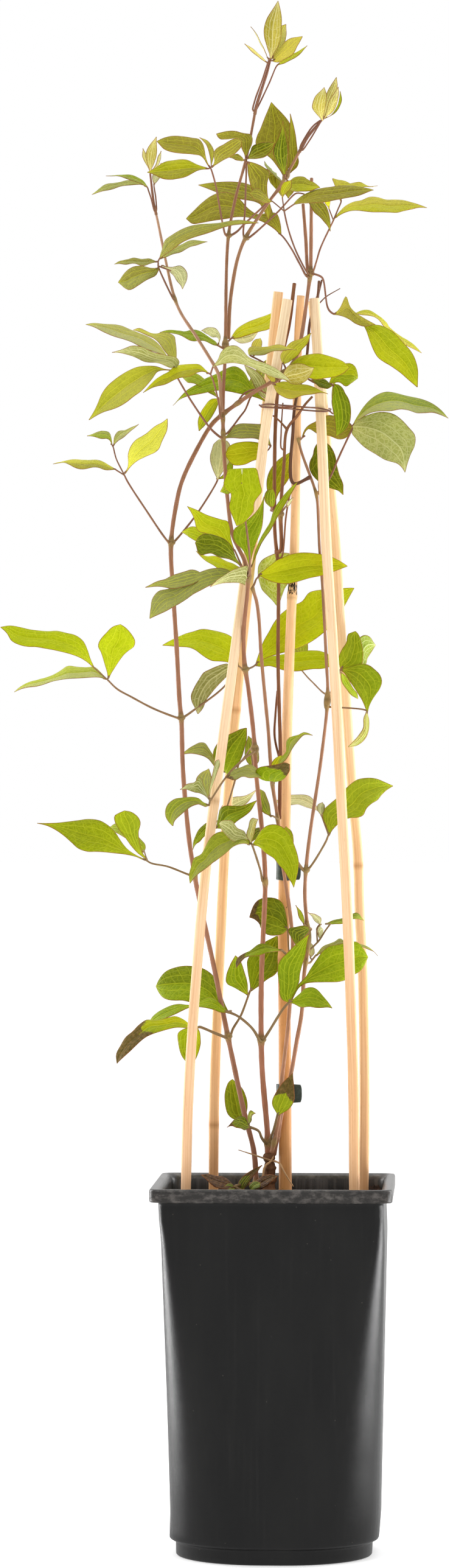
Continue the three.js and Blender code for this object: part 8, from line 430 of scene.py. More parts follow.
  ["T","K","K",0,0,[-398,-455,4733,-407,-439,4749,-422,-423,4765,-437,-407,4780,-451,-389,4796,-464,-371,4814,-475,-352,4832,-477,-331,4853,-468,-309,4871,-455,-287,4887,-440,-263,4901,-422,-239,4910,-406,-215,4920],[-393,-455,4733,-399,-438,4749,-406,-420,4765,-412,-402,4780,-418,-383,4796,-423,-364,4813,-427,-343,4830,-428,-322,4848,-424,-302,4865,-419,-280,4881,-414,-259,4895,-409,-237,4907,-404,-215,4919],[-388,-455,4733,-391,-439,4749,-389,-423,4765,-387,-407,4780,-384,-389,4796,-381,-371,4811,-379,-352,4827,-379,-331,4843,-380,-310,4859,-383,-287,4875,-388,-263,4890,-395,-240,4905,-401,-215,4919]],
  ["T","K","K",0,0,[-268,108,4909,-294,104,4894,-324,106,4899,-352,108,4913,-378,110,4931,-399,116,4955,-421,122,4978,-447,127,4994,-477,144,5005,-509,168,5013,-541,192,5017,-574,214,5014,-606,235,5007],[-269,111,4912,-300,119,4908,-332,126,4917,-359,133,4937,-381,142,4962,-402,152,4989,-422,163,5017,-447,175,5039,-479,186,5046,-511,197,5042,-543,209,5034,-575,223,5022,-606,236,5009],[-270,114,4916,-305,129,4922,-340,139,4934,-366,150,4960,-384,163,4992,-404,176,5024,-422,190,5056,-446,207,5085,-480,214,5087,-513,217,5070,-545,221,5051,-575,228,5030,-606,238,5011]],
  ["T","D","G",0,0,[-262,72,4913,-298,58,4915,-335,45,4926,-363,34,4952,-383,24,4986,-386,15,5024,-372,5,5061,-349,-4,5093,-320,-13,5119,-285,-21,5136,-249,-29,5152,-213,-37,5169,-177,-45,5177],[-260,71,4908,-292,58,4902,-316,46,4905,-317,37,4929,-314,29,4956,-306,20,4989,-291,11,5022,-274,1,5054,-254,-8,5082,-231,-17,5107,-210,-26,5131,-192,-36,5156,-174,-45,5175],[-258,70,4904,-286,54,4889,-296,37,4885,-269,22,4905,-244,7,4927,-224,-6,4954,-209,-16,4983,-197,-24,5014,-187,-31,5046,-177,-36,5077,-171,-40,5110,-171,-43,5143,-172,-46,5174]],
  ["T","D","G",0,0,[-375,109,4551,-367,105,4578,-363,105,4608,-357,100,4638,-347,93,4667,-322,80,4684,-291,64,4687,-260,47,4686,-229,32,4687,-198,17,4690,-169,4,4701,-140,-9,4711,-112,-21,4722],[-372,106,4548,-356,95,4560,-339,83,4574,-323,72,4593,-306,60,4615,-282,47,4632,-255,35,4642,-229,23,4650,-202,12,4659,-177,3,4670,-154,-6,4687,-132,-14,4704,-110,-22,4721],[-370,103,4544,-344,76,4542,-315,47,4539,-288,22,4547,-264,3,4563,-242,-9,4581,-219,-15,4597,-196,-18,4614,-175,-20,4632,-155,-22,4651,-138,-23,4673,-124,-23,4697,-109,-24,4719]],
  ["T","G","D",0,0,[-384,102,4537,-396,71,4532,-408,38,4522,-419,14,4512,-430,-3,4501,-441,-15,4490,-453,-26,4480,-464,-35,4469,-476,-42,4458,-488,-47,4447,-498,-51,4435,-507,-55,4422,-513,-62,4406],[-384,106,4540,-395,91,4546,-408,77,4550,-425,61,4546,-440,46,4535,-453,30,4522,-465,15,4507,-477,1,4493,-488,-12,4477,-497,-25,4461,-504,-37,4444,-509,-49,4426,-514,-60,4408],[-384,110,4543,-394,106,4561,-408,106,4579,-430,97,4581,-449,81,4570,-464,63,4553,-477,45,4535,-490,28,4517,-500,10,4497,-506,-9,4475,-509,-27,4453,-511,-44,4430,-515,-58,4409]],
  ["B","P","F",0,0,[-366,343,4606,-359,351,4631,-354,354,4659,-346,359,4685,-329,367,4707,-307,378,4724,-283,393,4737,-256,411,4743,-229,431,4744,-203,449,4750,-178,465,4762,-154,481,4776,-131,495,4790],[-364,347,4604,-350,360,4623,-337,374,4643,-321,387,4661,-301,400,4677,-279,414,4691,-256,427,4704,-233,441,4715,-210,454,4725,-188,465,4738,-168,476,4754,-149,487,4771,-130,497,4789],[-361,350,4601,-342,374,4615,-320,402,4627,-298,428,4637,-274,449,4647,-252,465,4658,-230,477,4672,-210,484,4688,-191,486,4706,-173,489,4725,-157,492,4745,-144,495,4767,-128,499,4788]],
  ["T","G","K",0,0,[-136,-84,4923,-145,-78,4936,-159,-73,4948,-171,-67,4963,-178,-60,4980,-183,-51,4998,-186,-42,5017,-186,-31,5035,-184,-20,5054,-181,-7,5072,-177,7,5091,-171,21,5109,-169,35,5126],[-131,-83,4923,-131,-74,4936,-131,-64,4950,-133,-55,4966,-137,-46,4985,-140,-37,5004,-143,-28,5023,-145,-18,5042,-147,-8,5061,-151,3,5079,-156,14,5096,-161,24,5111,-166,35,5126],[-126,-83,4923,-117,-75,4937,-103,-65,4951,-95,-57,4969,-94,-48,4989,-96,-39,5009,-99,-30,5029,-104,-20,5049,-110,-9,5068,-120,2,5086,-134,13,5101,-150,24,5114,-164,36,5127]],
 ], [
  [11,10,1,[-117,-189,5027,-118,-223,5025,-167,-301,4989,-239,-372,4924,-301,-423,4847,-384,-475,4718,-384,-485,4722,-382,-496,4738]],
  [10,10,0,[-384,-475,4718,-392,-475,4688,-405,-489,4699]],
  [10,9,1,[-119,-191,5059,-129,-173,5060,-178,-44,5004,-210,25,4966,-233,58,4942,-276,90,4908]],
  [10,9,0,[-229,52,4946,-248,75,4859,-312,102,4651,-335,109,4597,-369,116,4548,-372,106,4548,-360,96,4560]],
  [9,8,0,[-369,116,4548,-386,226,4570,-360,337,4604,-364,347,4604,-353,358,4617]],
  [9,8,1,[-118,-191,5051,-124,-168,5052,-137,-124,5007,-131,-93,4923,-131,-83,4923,-133,-75,4941]],
  [8,7,0,[-383,-486,4724,-397,-497,4739]],
  [8,7,0,[-377,-470,4729,-393,-455,4733,-398,-441,4747]],
  [8,7,0,[-276,90,4908,-269,111,4912,-287,115,4920]],
  [8,7,0,[-262,80,4919,-260,71,4908,-271,59,4919]],
  [8,7,0,[-372,106,4548,-384,106,4540,-396,91,4535]],
 ], [
  [55,[-116,-188,5014,-119,-192,5072]],
 ]],
 "leaf_cluster_middle_stem": [[
  ["T","G","G",0.35,0,[-5,-237,4843,-30,-258,4844,-60,-277,4849,-87,-296,4864,-104,-315,4889,-100,-333,4918,-72,-352,4931,-41,-370,4933,-9,-388,4937,22,-404,4943,52,-421,4953,82,-437,4959,108,-453,4947],[0,-238,4843,-8,-256,4842,-15,-274,4844,-21,-291,4852,-23,-308,4868,-15,-327,4887,4,-346,4899,25,-365,4905,45,-383,4913,64,-401,4923,81,-418,4935,96,-435,4945,110,-453,4945],[5,-238,4843,15,-262,4841,31,-287,4838,46,-310,4840,59,-333,4846,71,-353,4856,81,-370,4866,91,-386,4877,100,-401,4889,107,-415,4902,110,-428,4916,110,-441,4930,111,-454,4943]],
  ["T","K","K",0.2,0,[-49,-255,4867,-68,-300,4865,-87,-349,4862,-106,-393,4862,-126,-429,4864,-146,-455,4866,-166,-475,4866,-187,-493,4863,-206,-510,4856,-226,-522,4851,-247,-524,4852,-267,-518,4857,-288,-513,4861],[-49,-250,4870,-67,-274,4876,-85,-298,4884,-104,-322,4893,-124,-345,4901,-146,-369,4904,-169,-391,4903,-190,-413,4898,-211,-433,4890,-232,-453,4881,-252,-472,4875,-270,-491,4868,-288,-511,4862],[-49,-245,4872,-66,-252,4888,-83,-255,4907,-101,-262,4924,-122,-276,4937,-146,-296,4942,-170,-321,4940,-194,-346,4934,-216,-369,4924,-237,-394,4912,-256,-428,4898,-273,-469,4880,-288,-508,4863]],
  ["T","G","K",0,0,[24,-213,4925,31,-196,4954,38,-178,4984,60,-173,5005,80,-165,5028,81,-145,5059,81,-124,5091,97,-114,5116,126,-113,5128,156,-114,5134,185,-103,5147,215,-94,5142,243,-85,5130],[26,-217,4923,38,-209,4947,51,-201,4972,71,-194,4993,88,-185,5015,96,-175,5042,103,-164,5070,117,-153,5094,139,-142,5111,163,-130,5124,188,-116,5138,216,-102,5136,243,-87,5129],[28,-221,4921,46,-225,4941,64,-230,4961,81,-220,4981,97,-211,5003,112,-214,5025,125,-215,5048,137,-203,5072,152,-179,5094,170,-151,5114,191,-133,5129,217,-111,5131,243,-89,5128]],
  ["T","Y","Y",0,0,[2,-206,4893,0,-200,4903,-7,-193,4914,-13,-185,4925,-17,-178,4937,-15,-170,4950,-9,-162,4961,-2,-155,4972,5,-147,4981,15,-139,4990,25,-131,4996,37,-123,5000,47,-115,5004],[7,-208,4892,6,-201,4902,5,-194,4912,5,-187,4922,5,-180,4932,9,-173,4943,15,-165,4953,21,-157,4962,26,-149,4972,32,-141,4981,37,-132,4990,43,-124,4997,49,-116,5003],[12,-209,4891,12,-204,4901,17,-200,4910,23,-196,4918,28,-191,4927,34,-184,4935,39,-177,4944,44,-169,4953,47,-160,4962,49,-150,4972,49,-139,4983,49,-127,4993,52,-116,5002]],
 ], [
  [12,11,1,[-9,-108,4827,1,-143,4828,-3,-238,4851,0,-238,4843,1,-256,4851]],
  [10,9,0,[-3,-238,4851,-49,-250,4866,-60,-266,4874]],
  [10,9,0,[-3,-238,4851,26,-217,4919,37,-212,4939]],
  [8,7,0,[15,-225,4894,7,-208,4892,9,-197,4909]],
 ], [
 ]],
 "leaf_pair_main_large": [[
  ["T","K","L",0,0,[-145,-258,4445,-180,-316,4453,-215,-366,4447,-247,-411,4429,-272,-458,4403,-301,-497,4380,-333,-522,4360,-365,-538,4340,-392,-554,4315,-419,-581,4289,-449,-590,4265,-476,-598,4239,-501,-602,4210],[-143,-254,4448,-170,-285,4476,-209,-319,4486,-250,-352,4479,-289,-383,4464,-329,-414,4446,-363,-445,4420,-392,-475,4388,-417,-502,4352,-452,-526,4326,-473,-552,4289,-492,-576,4251,-503,-600,4211],[-142,-251,4451,-159,-264,4499,-202,-286,4525,-253,-311,4529,-305,-332,4526,-355,-356,4513,-393,-392,4480,-418,-432,4435,-442,-467,4390,-483,-489,4362,-496,-526,4313,-509,-560,4263,-504,-598,4212]],
  ["B","K","K",0,0,[-152,-261,4476,-170,-284,4477,-189,-303,4475,-208,-324,4471,-227,-351,4468,-245,-385,4471,-261,-418,4482,-275,-452,4495,-287,-493,4510,-298,-541,4526,-306,-593,4543,-312,-650,4562,-317,-710,4579],[-151,-264,4479,-164,-299,4488,-178,-333,4496,-192,-369,4503,-210,-404,4506,-228,-440,4511,-242,-477,4525,-253,-516,4541,-268,-555,4554,-282,-594,4564,-296,-634,4573,-309,-673,4579,-317,-712,4581],[-149,-268,4482,-159,-309,4498,-167,-355,4517,-177,-401,4535,-194,-443,4544,-212,-480,4551,-224,-521,4568,-233,-562,4586,-248,-599,4598,-268,-632,4602,-287,-663,4603,-306,-690,4597,-317,-714,4582]],
  ["B","K","O",0,0,[-143,-267,4461,-148,-288,4474,-157,-311,4488,-163,-335,4504,-161,-355,4522,-155,-375,4538,-149,-396,4555,-145,-419,4572,-141,-442,4588,-133,-465,4604,-119,-486,4614,-101,-504,4610,-85,-523,4607],[-139,-264,4460,-140,-284,4473,-141,-304,4485,-141,-325,4499,-138,-345,4514,-133,-365,4528,-129,-386,4543,-125,-408,4558,-121,-431,4572,-115,-454,4587,-106,-477,4598,-95,-499,4602,-84,-522,4606],[-135,-261,4459,-133,-278,4471,-126,-291,4482,-120,-307,4494,-116,-325,4506,-112,-346,4519,-109,-367,4531,-106,-388,4544,-102,-411,4556,-99,-434,4569,-94,-461,4581,-89,-491,4593,-83,-520,4604]],
  ["T","D","D",0,0,[-143,-241,4462,-138,-224,4473,-136,-204,4486,-135,-183,4500,-133,-161,4513,-130,-139,4526,-125,-116,4539,-115,-95,4547,-102,-78,4549,-89,-63,4549,-75,-48,4548,-62,-34,4545,-50,-18,4543],[-140,-244,4459,-134,-228,4469,-129,-211,4479,-124,-195,4489,-119,-177,4498,-112,-159,4507,-105,-140,4515,-95,-120,4521,-84,-101,4526,-75,-81,4530,-66,-61,4534,-58,-40,4538,-49,-20,4541],[-138,-247,4457,-131,-233,4465,-122,-223,4472,-113,-212,4478,-104,-200,4483,-94,-188,4488,-84,-174,4492,-74,-156,4496,-66,-133,4502,-61,-107,4511,-57,-79,4521,-53,-49,4531,-48,-22,4540]],
  ["T","L","L",0,0,[-128,-262,4449,-102,-276,4494,-70,-287,4539,-23,-298,4567,32,-313,4569,81,-332,4543,115,-352,4500,135,-372,4449,153,-392,4397,165,-411,4343,162,-432,4289,151,-452,4235,138,-471,4184],[-128,-263,4444,-99,-281,4465,-70,-298,4479,-35,-314,4482,6,-332,4474,44,-351,4453,71,-370,4419,91,-388,4381,111,-406,4343,126,-423,4304,133,-439,4263,136,-456,4223,137,-472,4183],[-127,-265,4440,-96,-296,4437,-69,-330,4419,-46,-361,4396,-19,-386,4379,9,-405,4364,29,-421,4339,48,-434,4313,69,-445,4290,88,-454,4264,105,-461,4238,122,-467,4211,135,-473,4182]],
 ], [
  [12,11,1,[-53,-140,4211,-66,-146,4211,-82,-171,4284,-140,-254,4460,-143,-254,4448,-158,-267,4450]],
  [8,7,0,[-140,-254,4460,-151,-264,4479,-159,-282,4482]],
  [8,7,0,[-142,-256,4463,-139,-280,4471]],
  [8,7,0,[-139,-252,4456,-134,-227,4469]],
  [8,7,0,[-136,-249,4449,-128,-263,4444,-111,-274,4448]],
 ], [
 ]],
 "leaf_pair_right_lower": [[
  ["T","H","H",0,0,[340,-151,4503,330,-130,4557,307,-105,4610,309,-81,4662,350,-58,4702,396,-33,4737,435,-6,4780,475,17,4822,521,44,4855,579,69,4863,636,91,4856,690,112,4836,743,135,4815],[344,-153,4501,350,-134,4547,353,-113,4590,372,-92,4629,414,-71,4654,458,-48,4675,497,-23,4706,527,1,4746,566,28,4776,613,55,4793,655,81,4807,699,107,4812,743,135,4812],[348,-155,4498,369,-145,4537,398,-139,4570,435,-129,4595,477,-112,4607,521,-94,4613,560,-74,4632,580,-48,4670,611,-20,4698,647,13,4722,675,52,4757,707,93,4787,744,134,4810]],
  ["B","P","P",0,0,[286,-11,4646,264,27,4660,239,72,4667,213,117,4672,187,156,4677,163,182,4686,139,204,4694,113,228,4694,87,249,4693,62,263,4696,36,272,4700,11,277,4704,-14,284,4707],[287,-15,4648,268,13,4667,248,40,4684,227,67,4698,203,93,4711,177,119,4721,149,145,4727,121,169,4727,93,192,4725,65,215,4723,38,238,4719,12,260,4714,-14,282,4708],[288,-19,4651,272,1,4674,258,14,4700,241,27,4725,218,43,4744,190,69,4755,160,98,4759,129,122,4760,99,147,4758,69,177,4751,40,211,4739,13,246,4724,-14,280,4710]],
  ["B","P","D",0,0,[292,-86,4626,291,-88,4633,285,-91,4640,279,-95,4648,274,-98,4655,270,-102,4664,269,-105,4673,270,-109,4683,273,-112,4692,279,-115,4699,287,-118,4703,296,-121,4706,303,-125,4710],[296,-85,4626,296,-88,4633,295,-92,4640,295,-95,4647,294,-99,4654,294,-102,4662,294,-106,4670,295,-109,4679,297,-113,4687,299,-116,4695,301,-119,4700,303,-122,4705,305,-125,4710],[301,-84,4625,301,-87,4632,306,-88,4639,310,-90,4645,314,-92,4652,317,-95,4660,319,-98,4667,320,-101,4675,320,-105,4683,319,-109,4691,315,-114,4697,310,-119,4703,307,-124,4709]],
  ["T","L","H",0,0,[99,-144,4404,88,-144,4411,72,-144,4417,57,-143,4426,45,-142,4439,37,-139,4454,32,-136,4470,31,-131,4487,35,-126,4503,42,-119,4519,53,-111,4532,64,-103,4544,73,-95,4557],[104,-143,4405,99,-139,4415,95,-135,4424,90,-131,4435,85,-127,4449,81,-123,4463,77,-119,4479,75,-115,4495,75,-111,4510,76,-107,4524,76,-103,4536,76,-99,4547,75,-94,4557],[108,-142,4407,111,-139,4418,118,-135,4431,123,-131,4444,125,-127,4459,125,-123,4473,123,-119,4488,121,-115,4502,116,-111,4516,110,-107,4530,100,-103,4541,88,-99,4549,78,-94,4558]],
 ], [
  [12,11,1,[200,-33,4290,211,-34,4289,328,-136,4467,344,-153,4508,344,-153,4501,351,-144,4517]],
  [10,9,0,[344,-153,4508,322,-119,4567,288,-45,4656]],
  [15,13,1,[199,-33,4281,186,-40,4282,100,-143,4413,104,-143,4405,97,-139,4424]],
  [8,7,0,[288,-45,4656,287,-15,4648,276,-1,4656]],
  [8,7,0,[302,-75,4620,296,-85,4626,295,-92,4644]],
 ], [
  [50,[198,-32,4268,202,-34,4303]],
 ]],
 "leaf_cluster_right_low": [[
  ["T","D","D",0,0,[232,-140,3918,225,-162,3911,222,-186,3901,217,-209,3890,210,-230,3881,202,-250,3873,195,-270,3865,188,-285,3856,183,-297,3845,177,-307,3835,168,-316,3827,158,-324,3822,150,-332,3816],[229,-138,3922,217,-155,3921,205,-172,3919,192,-189,3914,177,-206,3908,163,-223,3903,148,-238,3896,140,-254,3883,141,-270,3868,143,-286,3853,145,-301,3840,146,-316,3828,147,-332,3817],[226,-136,3925,209,-152,3931,189,-167,3938,167,-182,3937,145,-198,3934,124,-213,3932,102,-227,3928,93,-243,3911,99,-261,3890,110,-278,3871,122,-296,3853,135,-314,3835,145,-331,3818]],
  ["T","D","G",0,0,[184,-32,3936,181,-40,3947,175,-51,3957,168,-62,3966,162,-71,3976,156,-80,3987,153,-87,3998,151,-92,4009,149,-97,4021,147,-101,4032,144,-105,4043,140,-108,4055,135,-113,4065],[188,-30,3938,185,-38,3949,182,-46,3959,179,-53,3970,175,-61,3981,170,-69,3992,166,-76,4003,163,-83,4014,159,-89,4025,154,-95,4036,148,-101,4046,143,-106,4056,137,-112,4066],[192,-27,3939,189,-36,3950,190,-43,3962,190,-49,3974,188,-56,3986,185,-63,3998,180,-70,4009,175,-78,4020,169,-85,4030,161,-92,4039,153,-99,4048,145,-106,4057,139,-111,4067]],
  ["T","D","G",0,0,[319,-59,3948,339,-25,3955,359,14,3963,381,49,3970,402,80,3976,424,111,3981,445,142,3988,467,174,3996,488,206,4002,510,243,4009,530,263,3999,543,272,3980,557,289,3962],[319,-64,3947,339,-39,3950,360,-14,3953,380,12,3956,401,38,3960,422,65,3964,443,94,3971,463,124,3978,483,155,3984,504,188,3990,524,221,3985,540,254,3974,557,287,3961],[319,-69,3945,339,-56,3944,360,-46,3942,380,-31,3942,401,-11,3944,421,13,3948,440,39,3953,459,67,3960,478,98,3967,498,126,3971,518,174,3972,537,232,3968,556,284,3960]],
  ["B","P","P",0,0,[288,-52,3937,284,-61,3944,276,-67,3950,268,-74,3955,261,-82,3961,254,-94,3967,248,-108,3975,244,-124,3984,240,-141,3993,235,-157,4001,229,-174,4008,222,-191,4015,215,-207,4021],[292,-55,3939,289,-67,3947,287,-79,3956,284,-91,3965,279,-103,3973,272,-115,3981,264,-127,3988,257,-140,3995,250,-153,4002,242,-166,4008,233,-180,4013,225,-194,4017,216,-209,4022],[295,-58,3941,294,-70,3950,297,-86,3962,299,-101,3974,297,-116,3986,290,-128,3995,280,-140,4001,270,-150,4006,260,-160,4010,249,-172,4014,238,-184,4017,227,-196,4019,217,-210,4024]],
  ["B","P","P",0,0,[273,12,3887,271,19,3892,266,24,3900,263,29,3909,263,34,3918,266,42,3927,270,50,3935,275,58,3942,283,69,3940,288,81,3932,293,92,3924,298,104,3915,302,114,3909],[275,14,3883,274,22,3883,273,30,3883,272,37,3884,274,45,3885,279,53,3891,283,62,3898,288,70,3905,293,79,3908,297,89,3908,299,98,3908,301,107,3907,303,116,3907],[276,16,3879,277,28,3875,278,42,3867,280,55,3858,285,68,3851,291,79,3855,296,88,3861,301,97,3867,304,102,3875,305,106,3883,304,109,3891,303,112,3899,304,117,3905]],
 ], [
  [11,10,1,[206,11,3863,190,-19,3861,212,-59,3893,235,-102,3915,222,-138,3925,229,-138,3922,218,-154,3918]],
  [10,8,1,[205,10,3784,221,27,3783,258,35,3817,278,30,3838,320,-16,3903,353,-62,3947]],
  [8,8,0,[353,-62,3947,319,-64,3947,332,-49,3949]],
  [9,8,0,[269,32,3829,267,17,3874,268,-11,3908,274,-30,3926,296,-55,3946,292,-55,3939,286,-71,3950]],
  [9,8,1,[204,8,3940,188,-30,3938,183,-41,3953]],
  [8,7,0,[267,11,3881,278,33,3888]],
 ], [
  [51,[205,10,3771,207,12,3842,204,8,3942,203,7,3953]],
 ]],
 "leaf_right_narrow": [[
  ["T","K","K",0,0,[252,108,3740,276,125,3770,302,143,3798,337,146,3816,373,151,3833,406,169,3852,438,143,3832,477,143,3827,516,147,3821,555,154,3812,591,155,3796,620,148,3770,647,153,3742],[253,103,3739,280,103,3764,310,104,3786,343,104,3802,378,105,3817,412,108,3831,446,109,3822,483,114,3817,520,120,3812,556,127,3802,591,135,3789,622,142,3770,647,150,3742],[254,99,3738,285,79,3757,317,59,3774,350,56,3788,383,52,3802,418,39,3810,453,70,3811,488,81,3808,523,89,3802,558,96,3793,591,111,3782,624,136,3769,648,148,3742]],
  ["B","P","P",0,0,[219,72,3729,220,80,3737,216,87,3746,213,95,3754,210,102,3763,207,109,3772,206,116,3781,205,123,3790,205,129,3799,206,135,3808,208,140,3817,213,146,3825,215,152,3833],[223,72,3728,225,79,3736,227,86,3744,229,93,3752,230,100,3761,229,107,3771,227,114,3780,226,120,3790,224,127,3800,222,133,3809,220,139,3817,219,146,3825,217,152,3833],[228,72,3728,231,81,3736,238,89,3742,245,97,3750,250,105,3759,250,112,3769,249,119,3780,246,126,3790,242,131,3800,238,137,3809,231,142,3817,224,147,3825,220,152,3833]],
 ], [
  [11,9,1,[197,5,3704,219,32,3699,239,73,3721,261,104,3750,253,103,3739,270,103,3750]],
  [8,7,0,[238,70,3719,223,72,3728,225,85,3743]],
 ], [
 ]],
 "leaf_pair_main_base": [[
  ["T","G","G",0,0,[98,-243,3460,60,-257,3477,40,-269,3515,40,-281,3562,34,-292,3608,29,-301,3654,32,-309,3700,54,-315,3739,87,-320,3771,119,-323,3804,152,-326,3836,188,-327,3864,225,-328,3890],[103,-243,3461,91,-252,3486,89,-261,3521,97,-272,3562,100,-281,3602,99,-290,3644,104,-298,3685,121,-305,3723,143,-311,3757,163,-316,3791,182,-321,3826,204,-325,3858,227,-328,3889],[108,-244,3462,121,-258,3494,139,-272,3528,154,-284,3562,166,-295,3598,169,-305,3636,177,-313,3672,188,-319,3708,200,-323,3743,208,-326,3779,213,-327,3816,219,-328,3852,229,-328,3888]],
  ["T","G","G",0,0,[109,-242,3473,133,-233,3524,160,-223,3576,201,-211,3619,231,-192,3670,264,-170,3719,298,-146,3768,342,-123,3806,399,-104,3821,458,-86,3833,517,-67,3835,558,-59,3792,589,-51,3743],[111,-243,3469,135,-234,3518,163,-225,3565,204,-214,3600,244,-198,3629,286,-180,3652,328,-160,3675,375,-140,3697,428,-121,3712,479,-101,3730,530,-81,3744,564,-66,3743,589,-52,3740],[112,-245,3464,137,-238,3512,165,-231,3554,207,-224,3580,257,-220,3588,308,-216,3586,358,-210,3584,409,-198,3589,457,-178,3604,500,-155,3629,543,-129,3654,570,-91,3695,590,-53,3738]],
  ["T","G","G",0,0,[107,-249,3465,126,-253,3484,147,-252,3505,170,-250,3524,192,-252,3544,220,-261,3552,250,-274,3553,277,-291,3543,300,-313,3524,320,-335,3503,339,-357,3481,356,-380,3458,373,-400,3435],[107,-253,3462,128,-267,3469,149,-280,3476,170,-293,3480,192,-306,3489,218,-319,3494,244,-332,3495,269,-345,3490,292,-357,3481,313,-369,3470,333,-380,3459,353,-391,3447,373,-402,3434],[107,-257,3458,129,-287,3455,150,-320,3447,171,-353,3438,194,-381,3435,216,-400,3436,239,-412,3438,262,-419,3438,284,-418,3439,306,-416,3438,328,-412,3437,350,-407,3436,372,-404,3432]],
  ["T","G","G",0,0,[-291,-115,3392,-332,-132,3393,-372,-131,3411,-415,-123,3420,-461,-87,3422,-506,-54,3422,-551,-30,3415,-591,-23,3397,-629,-13,3374,-670,9,3353,-712,41,3335,-756,87,3318,-801,146,3301],[-290,-110,3394,-328,-92,3412,-366,-76,3438,-411,-60,3451,-456,-45,3443,-503,-28,3434,-550,-8,3426,-596,16,3417,-641,42,3400,-686,68,3381,-729,95,3359,-769,122,3332,-801,148,3302],[-290,-106,3396,-322,-60,3432,-360,-32,3464,-406,-9,3482,-452,-11,3464,-499,-7,3447,-549,10,3438,-601,48,3437,-652,86,3427,-701,116,3410,-746,139,3384,-781,150,3347,-802,150,3303]],
  ["T","G","D",0,0,[-290,18,3380,-331,29,3393,-373,40,3404,-414,51,3419,-455,64,3433,-497,81,3443,-541,102,3451,-585,127,3457,-629,154,3454,-674,185,3457,-715,221,3473,-745,264,3504,-765,309,3539],[-288,20,3385,-321,41,3415,-354,63,3446,-383,86,3481,-415,109,3514,-458,133,3539,-505,157,3556,-556,182,3564,-608,208,3564,-659,235,3559,-706,261,3554,-740,285,3548,-764,310,3542],[-286,21,3389,-312,44,3437,-334,69,3490,-351,95,3544,-374,121,3596,-416,146,3636,-468,171,3662,-526,196,3674,-585,222,3676,-643,247,3663,-696,271,3637,-735,291,3593,-764,310,3544]],
 ], [
  [15,13,1,[-78,-79,3228,-65,-106,3227,60,-215,3418,95,-244,3457,103,-243,3461,103,-250,3480]],
  [15,13,1,[-78,-78,3217,-86,-107,3215,-127,-123,3283,-154,-122,3314,-234,-110,3375,-294,-110,3398,-308,-103,3399]],
  [15,12,0,[-88,-108,3219,-121,-121,3275,-147,-123,3307,-227,-114,3371,-294,-115,3398]],
  [12,11,0,[-291,-115,3397,-271,-29,3399,-284,20,3389,-288,20,3385,-301,29,3398]],
  [8,7,0,[103,-246,3468,123,-239,3484]],
  [8,7,0,[103,-245,3464,123,-265,3467]],
 ], [
  [60,[-78,-77,3204,-79,-79,3241]],
 ]],
 "leaf_pair_left_base": [[
  ["T","G","Y",0.42,0,[-454,-171,3298,-503,-223,3301,-549,-287,3302,-596,-339,3305,-643,-376,3301,-689,-418,3292,-733,-469,3277,-775,-498,3254,-813,-521,3226,-850,-551,3196,-885,-570,3164,-919,-583,3130,-954,-581,3096],[-455,-168,3301,-507,-210,3309,-554,-249,3328,-604,-290,3339,-656,-330,3330,-707,-368,3323,-758,-402,3318,-801,-435,3291,-839,-467,3256,-881,-496,3224,-914,-524,3184,-941,-551,3140,-956,-580,3096],[-457,-164,3304,-512,-200,3317,-558,-222,3354,-612,-253,3373,-668,-297,3361,-725,-331,3355,-783,-352,3361,-827,-390,3328,-865,-428,3286,-911,-455,3252,-941,-490,3204,-963,-527,3152,-957,-578,3097]],
  ["T","Y","G",0,0,[-482,-159,3303,-471,-146,3287,-461,-133,3266,-458,-120,3242,-458,-105,3219,-460,-89,3195,-465,-71,3171,-472,-52,3147,-481,-31,3124,-491,-10,3102,-503,13,3080,-518,36,3060,-533,59,3041],[-486,-159,3304,-494,-141,3294,-504,-123,3280,-518,-106,3263,-530,-88,3242,-534,-72,3215,-536,-55,3188,-537,-37,3161,-537,-19,3135,-537,1,3110,-537,20,3085,-536,40,3063,-535,59,3042],[-491,-159,3306,-517,-144,3300,-547,-129,3295,-576,-114,3285,-600,-99,3267,-606,-82,3237,-605,-65,3207,-601,-46,3176,-593,-26,3147,-583,-6,3118,-570,16,3091,-553,37,3066,-538,59,3042]],
  ["T","G","G",0,0,[-172,74,3489,-191,50,3506,-216,24,3521,-240,-1,3536,-265,-24,3550,-290,-47,3564,-304,-67,3588,-302,-84,3618,-295,-100,3646,-282,-113,3673,-269,-126,3700,-255,-137,3725,-241,-149,3749],[-168,75,3490,-180,54,3510,-192,33,3529,-205,13,3548,-219,-6,3567,-234,-25,3585,-243,-44,3608,-245,-62,3634,-244,-80,3660,-241,-98,3684,-239,-114,3708,-239,-131,3730,-239,-148,3750],[-163,76,3492,-168,54,3514,-168,33,3537,-169,13,3561,-172,-6,3584,-176,-25,3607,-181,-44,3629,-187,-62,3652,-193,-80,3674,-200,-97,3696,-209,-114,3717,-222,-131,3736,-237,-148,3751]],
  ["T","G","D",0,0,[-157,76,3523,-157,81,3557,-163,87,3594,-170,93,3630,-175,101,3667,-177,109,3703,-163,118,3737,-139,127,3766,-111,137,3790,-83,148,3813,-53,159,3834,-21,171,3851,11,183,3868],[-152,76,3521,-138,83,3547,-126,91,3576,-116,99,3605,-104,108,3634,-90,118,3663,-72,127,3694,-55,136,3726,-39,145,3756,-26,154,3785,-13,163,3814,0,173,3841,13,183,3867],[-148,75,3518,-120,78,3538,-89,80,3558,-61,83,3582,-32,87,3603,-1,93,3623,21,101,3652,31,111,3687,35,123,3723,32,137,3759,27,151,3795,20,167,3831,15,183,3866]],
 ], [
